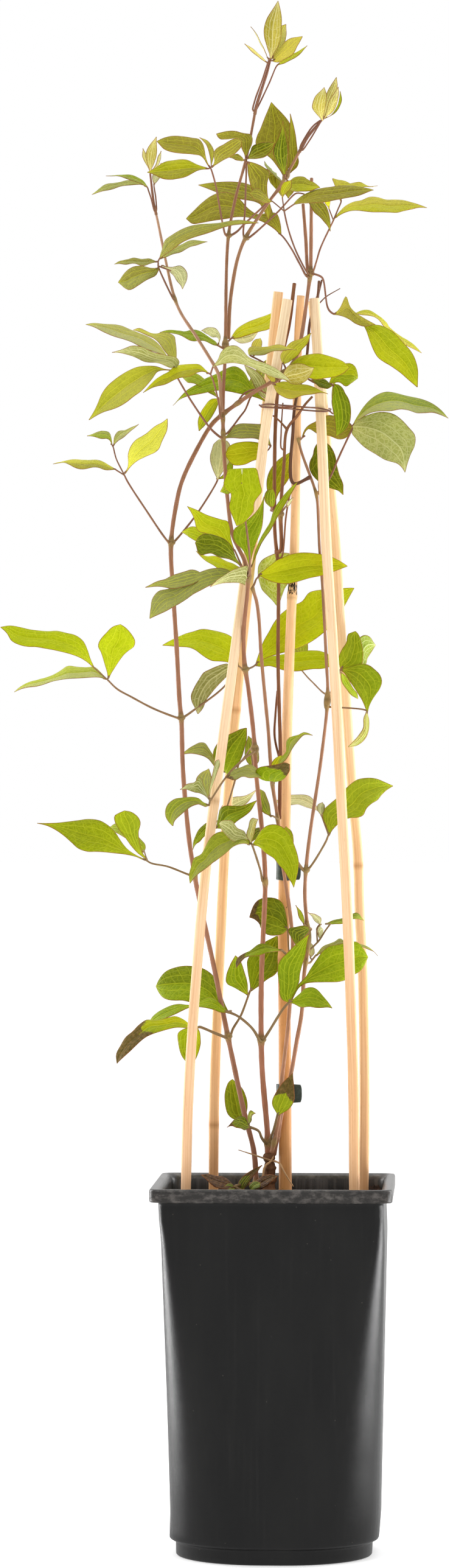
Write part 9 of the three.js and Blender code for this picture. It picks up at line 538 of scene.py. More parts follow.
  [15,13,1,[-290,-44,3237,-302,-66,3236,-356,-122,3259,-463,-168,3305,-471,-180,3303]],
  [13,11,1,[-291,-44,3240,-278,-40,3242,-260,-9,3287,-211,27,3371,-153,86,3528,-152,76,3521,-145,79,3539]],
  [8,7,0,[-466,-172,3304,-486,-159,3304,-495,-147,3291]],
  [8,7,0,[-167,72,3491,-176,61,3502]],
 ], [
  [58,[-288,-45,3224,-293,-43,3252]],
 ]],
 "leaf_pair_middle_low": [[
  ["T","H","D",0.25,0,[85,-50,3914,72,-59,3898,52,-69,3882,27,-78,3876,1,-86,3874,-24,-91,3876,-49,-94,3883,-70,-95,3899,-83,-93,3921,-90,-89,3946,-108,-84,3965,-130,-79,3979,-153,-75,3986],[85,-49,3919,76,-48,3927,64,-48,3938,48,-49,3953,30,-49,3970,4,-50,3985,-26,-53,3996,-55,-56,4006,-80,-60,4014,-100,-64,4018,-120,-68,4012,-138,-71,4002,-154,-74,3988],[86,-48,3924,82,-49,3957,77,-48,3994,71,-49,4032,59,-49,4068,33,-51,4095,-1,-53,4110,-39,-57,4114,-76,-61,4108,-109,-65,4090,-131,-69,4060,-145,-72,4025,-155,-74,3991]],
  ["T","G","D",0.3,0,[53,-200,3784,28,-244,3782,4,-294,3778,-20,-345,3774,-45,-382,3770,-70,-407,3765,-95,-423,3760,-120,-436,3755,-145,-449,3749,-169,-461,3742,-189,-482,3726,-205,-493,3706,-220,-490,3685],[52,-196,3786,26,-224,3790,-1,-252,3794,-26,-279,3799,-53,-306,3798,-80,-333,3792,-106,-359,3783,-131,-383,3773,-156,-406,3762,-180,-428,3750,-202,-448,3734,-215,-468,3710,-221,-488,3685],[52,-191,3788,23,-207,3797,-5,-216,3810,-32,-222,3824,-62,-241,3827,-91,-270,3820,-117,-303,3807,-142,-338,3791,-167,-370,3776,-191,-400,3759,-215,-419,3741,-226,-446,3715,-222,-485,3686]],
 ], [
  [9,8,1,[114,-93,3711,106,-93,3711,98,-65,3737,94,-56,3755,85,-49,3912,85,-49,3919,69,-53,3930]],
  [13,12,1,[115,-93,3733,107,-123,3734,48,-186,3790,52,-196,3786,39,-210,3788]],
 ], [
  [50,[113,-93,3698,116,-93,3746]],
 ]],
 "leaf_pair_at_crown": [[
  ["T","D","D",0.25,0,[-152,-149,2673,-160,-183,2671,-169,-221,2665,-180,-255,2664,-191,-281,2669,-201,-301,2676,-212,-315,2682,-224,-322,2687,-235,-327,2692,-247,-331,2695,-260,-336,2694,-272,-343,2692,-284,-352,2687],[-152,-144,2676,-159,-162,2682,-166,-180,2687,-175,-198,2694,-187,-216,2703,-199,-234,2712,-213,-253,2716,-226,-271,2715,-238,-288,2713,-249,-305,2709,-261,-320,2703,-272,-335,2696,-284,-350,2689],[-151,-140,2679,-157,-146,2693,-163,-148,2709,-171,-153,2725,-182,-165,2739,-197,-182,2748,-213,-204,2751,-228,-230,2744,-240,-257,2734,-251,-284,2723,-261,-308,2711,-272,-330,2700,-284,-348,2690]],
  ["T","D","K",0,0,[-163,-132,2685,-161,-137,2695,-162,-139,2707,-163,-141,2719,-163,-144,2731,-163,-146,2743,-161,-149,2755,-158,-153,2766,-152,-156,2777,-142,-161,2784,-131,-168,2780,-122,-176,2773,-112,-181,2768],[-160,-135,2683,-158,-139,2693,-156,-144,2702,-154,-149,2712,-152,-153,2721,-150,-157,2731,-149,-161,2742,-147,-165,2752,-143,-169,2761,-137,-172,2768,-129,-176,2769,-121,-179,2768,-112,-183,2766],[-156,-138,2681,-155,-143,2690,-150,-152,2697,-145,-160,2705,-141,-168,2712,-138,-174,2720,-136,-180,2729,-135,-184,2737,-134,-187,2745,-132,-189,2753,-126,-187,2759,-119,-185,2763,-112,-184,2764]],
  ["T","H","H",0,0,[-202,43,2693,-226,43,2703,-254,42,2712,-279,42,2727,-298,44,2750,-307,48,2777,-313,53,2806,-316,59,2835,-317,67,2864,-313,76,2893,-305,87,2921,-293,98,2947,-271,110,2963],[-197,44,2695,-206,49,2710,-217,55,2726,-227,60,2746,-235,65,2770,-240,70,2797,-245,75,2824,-252,81,2851,-257,87,2877,-262,93,2902,-267,99,2926,-271,105,2947,-269,111,2963],[-193,45,2696,-186,48,2718,-179,53,2742,-174,57,2767,-171,62,2793,-172,67,2818,-177,72,2843,-186,78,2868,-196,84,2891,-210,91,2913,-228,97,2931,-248,104,2947,-266,111,2963]],
  ["T","H","H",0.5,0,[24,-186,2757,14,-193,2778,0,-199,2800,-9,-204,2825,-6,-210,2852,4,-215,2877,17,-219,2900,31,-223,2923,46,-226,2946,63,-228,2966,82,-230,2985,102,-232,3003,119,-232,3021],[29,-187,2755,34,-191,2772,38,-194,2789,44,-198,2809,54,-203,2833,65,-208,2857,75,-213,2881,82,-218,2906,89,-221,2931,96,-225,2954,105,-228,2976,113,-230,2998,122,-233,3020],[34,-187,2754,53,-196,2766,77,-205,2779,98,-213,2795,115,-219,2815,128,-225,2838,133,-228,2864,133,-231,2890,132,-233,2916,131,-234,2943,128,-234,2969,125,-233,2994,124,-233,3019]],
 ], [
  [16,13,1,[-42,-36,2575,-51,-65,2572,-77,-101,2609,-95,-122,2652,-167,-145,2684]],
  [13,12,0,[-152,-140,2678,-200,-68,2691,-213,-39,2693,-214,7,2696,-199,44,2695,-204,46,2713]],
  [16,14,1,[0,-79,2578,-21,-64,2587,4,-139,2673,29,-187,2770]],
  [8,7,0,[-152,-140,2677,-160,-161,2682]],
  [8,7,0,[-157,-133,2679,-156,-144,2701]],
  [8,7,0,[26,-181,2759,36,-192,2773]],
  [9,8,0,[-47,-54,2573,-21,-64,2587]],
 ], [
 ]],
 "leaves_on_soil": [[
  ["T","R","R",0.9,0,[-238,-273,2309,-254,-310,2306,-272,-349,2302,-291,-382,2304,-309,-407,2309,-328,-427,2315,-346,-443,2323,-363,-457,2334,-380,-469,2345,-395,-476,2358,-409,-478,2373,-423,-478,2387,-437,-479,2401],[-238,-268,2312,-252,-287,2316,-267,-306,2323,-283,-325,2330,-301,-344,2338,-319,-363,2344,-337,-381,2352,-355,-399,2360,-372,-415,2370,-389,-431,2379,-405,-447,2387,-421,-462,2394,-437,-477,2402],[-237,-264,2314,-250,-269,2327,-261,-272,2343,-275,-280,2358,-292,-294,2367,-310,-312,2374,-328,-332,2381,-346,-352,2388,-364,-372,2395,-382,-395,2400,-401,-422,2402,-419,-449,2402,-437,-475,2403]],
  ["T","E","E",0,0,[-232,-252,2296,-237,-268,2297,-243,-287,2296,-250,-307,2294,-256,-325,2293,-263,-342,2293,-270,-357,2293,-277,-369,2294,-284,-378,2296,-290,-384,2300,-294,-387,2307,-297,-389,2314,-301,-393,2319],[-231,-248,2299,-237,-261,2302,-242,-274,2304,-248,-287,2307,-254,-299,2310,-260,-311,2313,-267,-323,2315,-275,-335,2316,-282,-346,2317,-288,-358,2318,-293,-369,2319,-297,-380,2320,-301,-391,2320],[-231,-244,2302,-236,-256,2306,-241,-264,2313,-246,-272,2321,-251,-280,2328,-257,-289,2334,-264,-298,2338,-272,-310,2340,-280,-323,2339,-286,-338,2336,-291,-356,2331,-296,-374,2326,-301,-389,2322]],
  ["T","E","R",0.5,0,[-200,-184,2283,-209,-185,2299,-220,-184,2316,-219,-187,2336,-207,-192,2354,-193,-197,2369,-178,-201,2384,-162,-205,2397,-144,-208,2409,-126,-211,2419,-107,-215,2428,-88,-218,2437,-71,-220,2446],[-196,-186,2283,-196,-190,2297,-195,-194,2312,-189,-198,2329,-179,-203,2345,-167,-207,2360,-155,-210,2374,-141,-213,2388,-126,-215,2400,-112,-217,2411,-97,-219,2423,-83,-220,2434,-69,-221,2445],[-191,-189,2282,-183,-199,2296,-170,-212,2308,-159,-220,2322,-150,-224,2337,-141,-227,2351,-131,-229,2365,-120,-230,2379,-109,-230,2391,-98,-229,2404,-88,-227,2418,-78,-224,2432,-67,-222,2444]],
  ["T","E","E",0,0,[-143,-240,2285,-143,-248,2294,-146,-252,2304,-148,-255,2314,-148,-260,2324,-142,-266,2333,-134,-273,2340,-125,-281,2346,-116,-289,2350,-105,-299,2352,-95,-313,2351,-85,-327,2347,-77,-339,2345],[-140,-244,2284,-137,-253,2290,-135,-261,2297,-132,-270,2304,-128,-278,2311,-122,-286,2318,-114,-294,2323,-106,-302,2327,-97,-310,2332,-90,-317,2336,-85,-325,2340,-80,-333,2342,-76,-341,2344],[-137,-247,2282,-132,-260,2287,-124,-276,2291,-116,-291,2295,-108,-305,2299,-101,-316,2303,-93,-326,2306,-85,-334,2310,-79,-340,2314,-74,-343,2321,-74,-343,2329,-75,-342,2336,-74,-343,2343]],
  ["T","R","R",0.9,0,[-114,-199,2286,-115,-205,2302,-120,-207,2319,-117,-211,2337,-106,-220,2352,-91,-232,2363,-75,-245,2373,-59,-257,2382,-42,-271,2389,-24,-285,2393,-5,-301,2393,12,-319,2389,29,-335,2387],[-111,-203,2284,-106,-215,2295,-101,-227,2306,-93,-239,2318,-80,-251,2329,-67,-263,2339,-53,-275,2349,-39,-286,2358,-25,-296,2366,-11,-307,2373,3,-317,2378,17,-327,2382,30,-337,2386],[-108,-206,2282,-96,-229,2289,-82,-255,2294,-67,-278,2300,-54,-295,2307,-42,-307,2316,-31,-317,2325,-19,-326,2335,-8,-333,2344,2,-337,2354,12,-339,2364,21,-338,2375,31,-339,2384]],
 ], [
  [16,20,1,[-117,25,2315,-238,-268,2312,-201,-210,2287,-189,-206,2283,-141,-224,2278,-105,-193,2272,-71,-144,2253,-54,-100,2204]],
  [8,7,0,[-238,-268,2312,-250,-284,2317]],
  [8,7,0,[-226,-249,2304,-239,-266,2303]],
  [8,7,0,[-189,-206,2283,-196,-186,2283,-188,-192,2300]],
  [8,7,0,[-141,-224,2278,-140,-244,2284,-133,-259,2294]],
  [8,7,0,[-114,-201,2274,-101,-216,2295]],
 ], [
 ]],
 "leaf_right_upper": [[
  ["T","D","D",0,0,[306,26,6989,327,25,6969,351,25,6948,369,24,6921,381,25,6891,388,25,6860,392,26,6828,400,28,6796,409,31,6766,422,36,6736,432,41,6706,432,46,6674,433,51,6643],[301,25,6989,297,27,6967,299,29,6939,305,29,6906,302,31,6873,302,32,6837,311,33,6802,328,34,6770,348,36,6741,372,40,6716,396,44,6693,416,47,6671,431,51,6642],[296,25,6989,268,19,6965,248,14,6930,241,10,6889,223,7,6852,218,6,6812,231,8,6774,257,12,6742,288,18,6716,323,25,6695,360,33,6679,399,42,6667,428,51,6642]],
 ], [
  [9,8,1,[261,-66,6650,280,-56,6656,279,-24,6693,280,-8,6729,302,15,6920,301,25,6989,301,24,6969]],
 ], [
 ]],
 "leaf_middle_stem": [[
  ["T","G","K",0,0,[-16,-201,4616,-29,-193,4627,-45,-187,4635,-61,-180,4644,-74,-172,4657,-84,-161,4672,-93,-149,4688,-99,-136,4705,-103,-121,4723,-105,-104,4741,-103,-86,4758,-96,-64,4774,-89,-43,4789],[-12,-198,4619,-22,-187,4631,-32,-176,4643,-41,-164,4655,-49,-152,4670,-56,-140,4685,-63,-127,4701,-69,-113,4717,-74,-99,4733,-79,-85,4750,-81,-70,4766,-84,-55,4779,-87,-41,4790],[-9,-196,4621,-15,-185,4635,-18,-171,4651,-20,-156,4666,-23,-143,4682,-27,-129,4698,-32,-116,4713,-38,-103,4729,-45,-89,4743,-52,-75,4758,-59,-62,4773,-71,-51,4783,-85,-40,4790]],
 ], [
  [10,9,1,[23,-107,4607,24,-142,4607,-12,-198,4626,-12,-198,4619,-21,-187,4633]],
 ], [
 ]],
}
# Stems: [first diameter, last diameter, route] for the stem and for each branch that is one piece with it.
STEMS = {
 "stem_left": [
  [32,22,[-116,27,2137,-117,25,2349,-131,17,2521,-188,-6,2751,-274,-49,3159,-332,-32,3440,-378,-34,3670,-469,-110,4107,-495,-121,4243,-530,-131,4473,-568,-161,4922,-577,-163,5221,-588,-163,5334,-607,-155,5674,-630,-134,6017,-644,-126,6330,-609,-104,6593,-579,-88,6717,-511,-52,6875,-397,14,7082,-343,13,7135,-260,-9,7195,-121,-121,7279,-22,-170,7331,34,-183,7366,96,-177,7417,133,-167,7472,168,-143,7591,228,-98,8011]],
  [21,18,[228,-98,8011,230,-98,8037,237,-128,8613]],
  [21,19,[228,-98,8011,212,-74,8047,198,-31,8244,180,0,8464]],
 ],
 "stem_main": [
  [34,16,[-41,-29,2512,-42,-41,2622,-76,-68,3054,-81,-90,3416,-77,-101,3634,-68,-122,3849,-53,-141,4223,-69,-152,4493,-112,-183,4931,-121,-194,5106,-154,-213,5407,-179,-231,5581,-183,-258,5780,-157,-302,6035,-155,-310,6105,-176,-304,6211,-250,-259,6373,-285,-195,6588,-318,-89,7006,-320,-55,7276,-310,-22,7492,-300,29,8147,-287,30,8299,-245,29,8512,-178,21,8759,-125,7,9028]],
 ],
 "stem_main_branch": [
  [23,17,[-291,32,7627,-282,40,7832,-262,47,7990,-232,61,8138,-187,74,8258,-47,72,8475,38,60,8591,154,22,8793]],
 ],
 "stem_left_branch": [
  [20,14,[-326,-112,7158,-342,-108,7367,-353,-108,7405,-483,-107,7622,-584,-90,7777,-627,-78,7881,-741,-29,8396]],
 ],
 "stem_right": [
  [26,15,[-3,37,2493,20,-11,2619,46,-45,2758,67,-54,2850,105,-53,3003,141,-43,3206,172,-24,3386,187,0,3631,205,10,3766,207,12,3842,204,8,3942,192,-12,4114,197,-31,4258,222,-49,4491,299,-80,5007,337,-103,5369,327,-94,5617,309,-39,5962,298,-28,6134,284,-34,6306,268,-65,6623,250,-68,6689,171,-65,6907,151,-71,6991]],
  [19,15,[229,-67,6748,120,-68,6709,119,-60,7050,126,-55,7162,143,-47,7260,176,-25,7376,204,-1,7512,220,5,7705,233,12,7769,270,14,7882,280,14,7983]],
  [12,10,[269,14,7877,297,35,7992]],
  [8,5,[258,13,7846,275,14,7841,323,5,7883,413,-10,7934]],
 ],
 "stem_middle": [
  [24,19,[-15,-63,2515,14,-95,2640,40,-107,2787,49,-106,2949,91,-94,3329,117,-93,3759,116,-93,3861,104,-94,3997,58,-106,4307,21,-107,4628,-10,-108,4832,-35,-109,5159,-52,-116,5335,-79,-145,5645,-91,-177,5854,-105,-208,5964,-129,-248,6047]],
 ],
 "stem_old_wood": [
  [20,22,[35,-76,4607,36,-66,4778,40,-66,4999,25,-67,5593,28,-56,6076,24,-52,6210,7,-39,6362,2,-31,6466,7,-13,7087,27,6,7360,47,19,7509,91,26,7712,125,18,7968]],
  [10,10,[21,-49,6239,49,-91,6246,75,-84,6495,95,-80,6616,109,-73,6667]],
  [23,13,[16,-46,6280,41,-76,6285,41,-65,6535,61,-55,6819,75,-57,7028,96,-63,7074,147,-76,7132,197,-89,7203,240,-107,7248]],
  [13,12,[39,-66,4961,3,-42,5119,8,-47,5262,21,-57,5408]],
  [13,9,[83,-59,7045,35,-74,7099,-5,-98,7131]],
  [9,8,[68,-56,6923,47,-51,6924,44,-45,7036,54,-30,7215]],
 ],
}
CROWN = [
  [65,90,[-38,-19,2500,-29,-19,2393,-38,-19,2133]],
  [15,5,[-34,-19,2454,-10,-38,2456,-82,-78,2485,-222,-107,2532]],
  [14,7,[-34,-19,2454,5,-47,2457,37,-76,2443,57,-99,2409,82,-111,2367,122,-113,2305]],
  [14,14,[-37,-19,2487,-7,-28,2490,-25,-59,2453,-48,-76,2436,-58,-82,2421,-70,-91,2356,-73,-91,2291]],
]
STAKES = {
  "pole_front_left": [65,65,[84,-54,7859,42,-76,7601,-50,-120,7065,-79,-138,6835,-193,-206,5995,-254,-244,5538,-304,-274,5158,-412,-342,4324,-471,-396,3644,-518,-456,2891,-532,-501,2309,-545,-544,1760]],
  "pole_back_left": [63,65,[24,33,7917,-10,52,7612,-65,90,7078,-88,107,6849,-250,215,5317,-300,253,4778,-326,280,4392,-363,336,3619,-395,392,2843,-403,435,2240,-409,470,1760]],
  "pole_front_right": [66,67,[252,-47,7866,269,-66,7601,297,-105,7065,331,-161,6300,352,-183,5995,395,-233,5310,423,-272,4779,465,-328,4022,489,-372,3418,505,-411,2891,511,-456,2317,518,-499,1760]],
  "pole_back_right": [63,65,[239,73,7862,280,105,7462,348,163,6698,382,193,6315,419,239,5701,453,272,5240,483,307,4778,517,335,4392,528,366,4005,547,391,3618,558,447,2842,553,477,2259,550,502,1760]],
  "centre_cane": [49,86,[166,10,7891,149,9,7646,137,13,6920,125,18,6308,103,17,5849,78,21,5161,70,20,4778,60,25,4166,58,25,3783,64,25,3248,68,25,2272,70,25,1600]],
}
TIE = [370,-117,7140,347,-119,7159,317,-132,7168,292,-142,7173,203,-145,7180,115,-148,7188,32,-151,7194,-25,-156,7199,-60,-146,7198,-79,-101,7196,-86,-21,7197,-87,69,7200,-82,131,7202,-48,150,7203,106,167,7202,266,184,7199,320,176,7194,348,133,7188,352,48,7176,343,-53,7163,328,-118,7155,294,-144,7154,203,-145,7161,115,-148,7169,32,-151,7175,-18,-157,7178,-52,-153,7181,-75,-141,7183,-91,-136,7197]

# ---- camera: the long lens and the place it stood at ------------------------------------------------------
camera = bpy.data.objects.new("camera", bpy.data.cameras.new("camera"))
bpy.context.scene.collection.objects.link(camera)
camera.data.sensor_width = 36
camera.data.sensor_fit = "AUTO"
camera.data.lens = 125.4
camera.data.clip_start = 0.1
camera.data.clip_end = 100
camera.location = (0.1171, -3.4289, 0.4824)
camera.rotation_euler = (math.pi / 2, 0, math.atan2(0.04327, 0.99906))
bpy.context.scene.camera = camera
bpy.context.scene.view_settings.view_transform = "Standard"

# ---- small helpers ----------------------------------------------------------------------------------------


def lin(r, g, b):
    """An sRGB colour of 0 to 255 as linear light."""
    out = []
    for c in (r, g, b):
        c /= 255
        out.append(c / 12.92 if c <= 0.04045 else ((c + 0.055) / 1.055) ** 2.4)
    return np.array(out)


def unit(a):
    return a / np.maximum(np.linalg.norm(a, axis=-1, keepdims=True), 1e-9)


def step(lo, hi, x):
    t = np.clip((x - lo) / (hi - lo), 0, 1)
    return t * t * (3 - 2 * t)


def route(flat):
    return np.array(flat, float).reshape(-1, 3) / 10


def smooth(points, pitch):
    """A centripetal spline through the points, at even steps of about pitch millimetres."""
    P = np.asarray(points, float)
    keep = [0] + [i for i in range(1, len(P)) if np.linalg.norm(P[i] - P[i - 1]) > 0.05]
    P = P[keep]
    if len(P) > 2:
        Q = np.vstack([2 * P[0] - P[1], P, 2 * P[-1] - P[-2]])
        out = []
        for i in range(1, len(Q) - 2):
            p0, p1, p2, p3 = Q[i - 1 : i + 3]
            t1 = np.linalg.norm(p1 - p0) ** 0.5
            t2 = t1 + np.linalg.norm(p2 - p1) ** 0.5
            t3 = t2 + np.linalg.norm(p3 - p2) ** 0.5
            n = max(4, int(np.linalg.norm(p2 - p1) / pitch * 2))
            t = np.linspace(t1, t2, n, endpoint=False)[:, None]
            a1 = (t1 - t) / t1 * p0 + t / t1 * p1
            a2 = (t2 - t) / (t2 - t1) * p1 + (t - t1) / (t2 - t1) * p2
            a3 = (t3 - t) / (t3 - t2) * p2 + (t - t2) / (t3 - t2) * p3
            b1 = (t2 - t) / t2 * a1 + t / t2 * a2
            b2 = (t3 - t) / (t3 - t1) * a2 + (t - t1) / (t3 - t1) * a3
            out.append((t2 - t) / (t2 - t1) * b1 + (t - t1) / (t2 - t1) * b2)
        P = np.vstack(out + [P[-1:]])
    s = np.concatenate([[0], np.cumsum(np.linalg.norm(np.diff(P, axis=0), axis=1))])
    n = max(3, int(round(s[-1] / pitch)) + 1)
    t = np.linspace(0, s[-1], n)
    return np.stack([np.interp(t, s, P[:, k]) for k in range(3)], 1), t


def frames(P, first=(1, 0, 0)):
    """The direction of a route at each of its points, and two sides that don't twist along it."""
    T = unit(np.gradient(P, axis=0))
    side = np.array(first, float)
    if abs(side @ T[0]) > 0.9:
        side = np.array([0, 0, 1.0])
    U = []
    for t in T:
        side = unit(side - t * (side @ t))
        U.append(side)
    U = np.array(U)
    return T, U, np.cross(T, U)


def nearest(p, P):
    """The distance from p to the polyline P, and how far along it the nearest point is."""
    a, b = P[:-1], P[1:]
    d = b - a
    L2 = np.maximum((d * d).sum(1), 1e-9)
    t = np.clip(((p - a) * d).sum(1) / L2, 0, 1)
    q = a + d * t[:, None]
    r = np.linalg.norm(p - q, axis=1)
    i = int(np.argmin(r))
    s = np.concatenate([[0], np.cumsum(np.sqrt(L2))])
    return r[i], s[i] + t[i] * math.sqrt(L2[i]), q[i]


class Piece:
    """A mesh collected from parts, in millimetres, with a colour and three vectors at each point for its materials."""

    def __init__(self, name):
        self.name, self.count = name, 0
        self.v, self.col, self.pa, self.pb, self.pc, self.faces = [], [], [], [], [], []

    def add(self, v, faces, col, pa=None, pb=None, pc=None, mat=0):
        n = len(v)
        full = lambda a: np.broadcast_to(np.asarray(a, float), (n, 3)) if a is not None else np.zeros((n, 3))
        self.v.append(np.asarray(v, float))
        self.col.append(full(col)); self.pa.append(full(pa)); self.pb.append(full(pb)); self.pc.append(full(pc))
        for f in faces:
            f = np.asarray(f, int)
            if len(f):
                self.faces.append((f + self.count, mat))
        self.count += n

    def build(self, materials, replaces=()):
        v = np.vstack(self.v) * MM
        loops = np.concatenate([f.reshape(-1) for f, _ in self.faces])
        total = np.concatenate([np.full(len(f), f.shape[1]) for f, _ in self.faces])
        mats = np.concatenate([np.full(len(f), m) for f, m in self.faces])
        mesh = bpy.data.meshes.new(self.name)
        mesh.vertices.add(len(v))
        mesh.vertices.foreach_set("co", v.astype(np.float32).reshape(-1))
        mesh.loops.add(len(loops))
        mesh.loops.foreach_set("vertex_index", loops.astype(np.int32))
        mesh.polygons.add(len(total))
        mesh.polygons.foreach_set("loop_start", np.concatenate([[0], np.cumsum(total)[:-1]]).astype(np.int32))
        mesh.polygons.foreach_set("loop_total", total.astype(np.int32))
        mesh.polygons.foreach_set("material_index", mats.astype(np.int32))
        mesh.polygons.foreach_set("use_smooth", np.ones(len(total), bool))
        mesh.update(calc_edges=True)
        for name, data in (("pa", self.pa), ("pb", self.pb), ("pc", self.pc)):
            attribute = mesh.attributes.new(name, "FLOAT_VECTOR", "POINT")
            attribute.data.foreach_set("vector", np.vstack(data).astype(np.float32).reshape(-1))
        colour = np.vstack(self.col)
        attribute = mesh.attributes.new("col", "FLOAT_COLOR", "POINT")
        attribute.data.foreach_set("color", np.hstack([colour, np.ones((len(colour), 1))]).astype(np.float32).reshape(-1))
        mesh.validate()
        return place(self.name, mesh, materials, replaces)


def place(name, mesh, materials, replaces=()):
    obj = bpy.data.objects.new(name, mesh)
    bpy.context.scene.collection.objects.link(obj)
    for m in materials:
        mesh.materials.append(m)
    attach(obj, "root")
    if replaces:
        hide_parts(*replaces)
    return obj


def sweep(P, radius, sides, first=(1, 0, 0), section=None, ends=(1, 1), twist=0.0):
    """A tube along P. section gives a factor on the radius for each angle and station; ends closes and rounds them."""
    n = len(P)
    T, U, W = frames(P, first)
    radius = np.broadcast_to(radius, (n,)).astype(float)
    th = np.arange(sides) / sides * 2 * math.pi
    ang = th[None, :] + np.linspace(0, twist, n)[:, None]
    k = np.ones((n, sides)) if section is None else section(ang, np.arange(n)[:, None] + 0 * ang)
    R = radius[:, None] * k
    V = P[:, None] + U[:, None] * (R * np.cos(ang))[..., None] + W[:, None] * (R * np.sin(ang))[..., None]
    along = np.concatenate([[0], np.cumsum(np.linalg.norm(np.diff(P, axis=0), axis=1))])
    rows = [V]
    alongs = [along]
    if ends[0]:
        rows.insert(0, (V[0] - P[0]) * 0.6 + P[0] - T[0] * radius[0] * 0.35 * ends[0]); alongs.insert(0, [along[0]])
    if ends[1]:
        rows.append((V[-1] - P[-1]) * 0.6 + P[-1] + T[-1] * radius[-1] * 0.35 * ends[1]); alongs.append([along[-1]])
    G = np.vstack([r.reshape(-1, sides, 3) for r in rows])
    s = np.concatenate(alongs)
    m = len(G)
    verts = G.reshape(-1, 3)
    i = np.arange(m - 1)[:, None] * sides
    j = np.arange(sides)[None, :]
    a = i + j
    b = i + (j + 1) % sides
    quads = np.stack([a, b, b + sides, a + sides], -1).reshape(-1, 4)
    faces = [quads]
    caps = []
    for e, ring, c in ((0, 0, G[0].mean(0) - T[0] * radius[0] * 0.1 * ends[0]), (1, m - 1, G[-1].mean(0) + T[-1] * radius[-1] * 0.1 * ends[1])):
        verts = np.vstack([verts, c])
        k0 = len(verts) - 1
        r = ring * sides + np.arange(sides)
        r2 = ring * sides + (np.arange(sides) + 1) % sides
        caps.append(np.stack([r2, r, np.full(sides, k0)] if e == 0 else [r, r2, np.full(sides, k0)], -1))
    faces.append(np.vstack(caps))
    S = np.concatenate([np.repeat(s, sides), [0, along[-1]]])
    A = np.concatenate([np.tile(th, m), [0, 0]])
    idx = np.concatenate([np.repeat(np.clip(np.arange(m) - (1 if ends[0] else 0), 0, n - 1), sides), [0, n - 1]])
    return verts, faces, S, A, idx


# ---- materials ----------------------------------------------------------------------------------------------


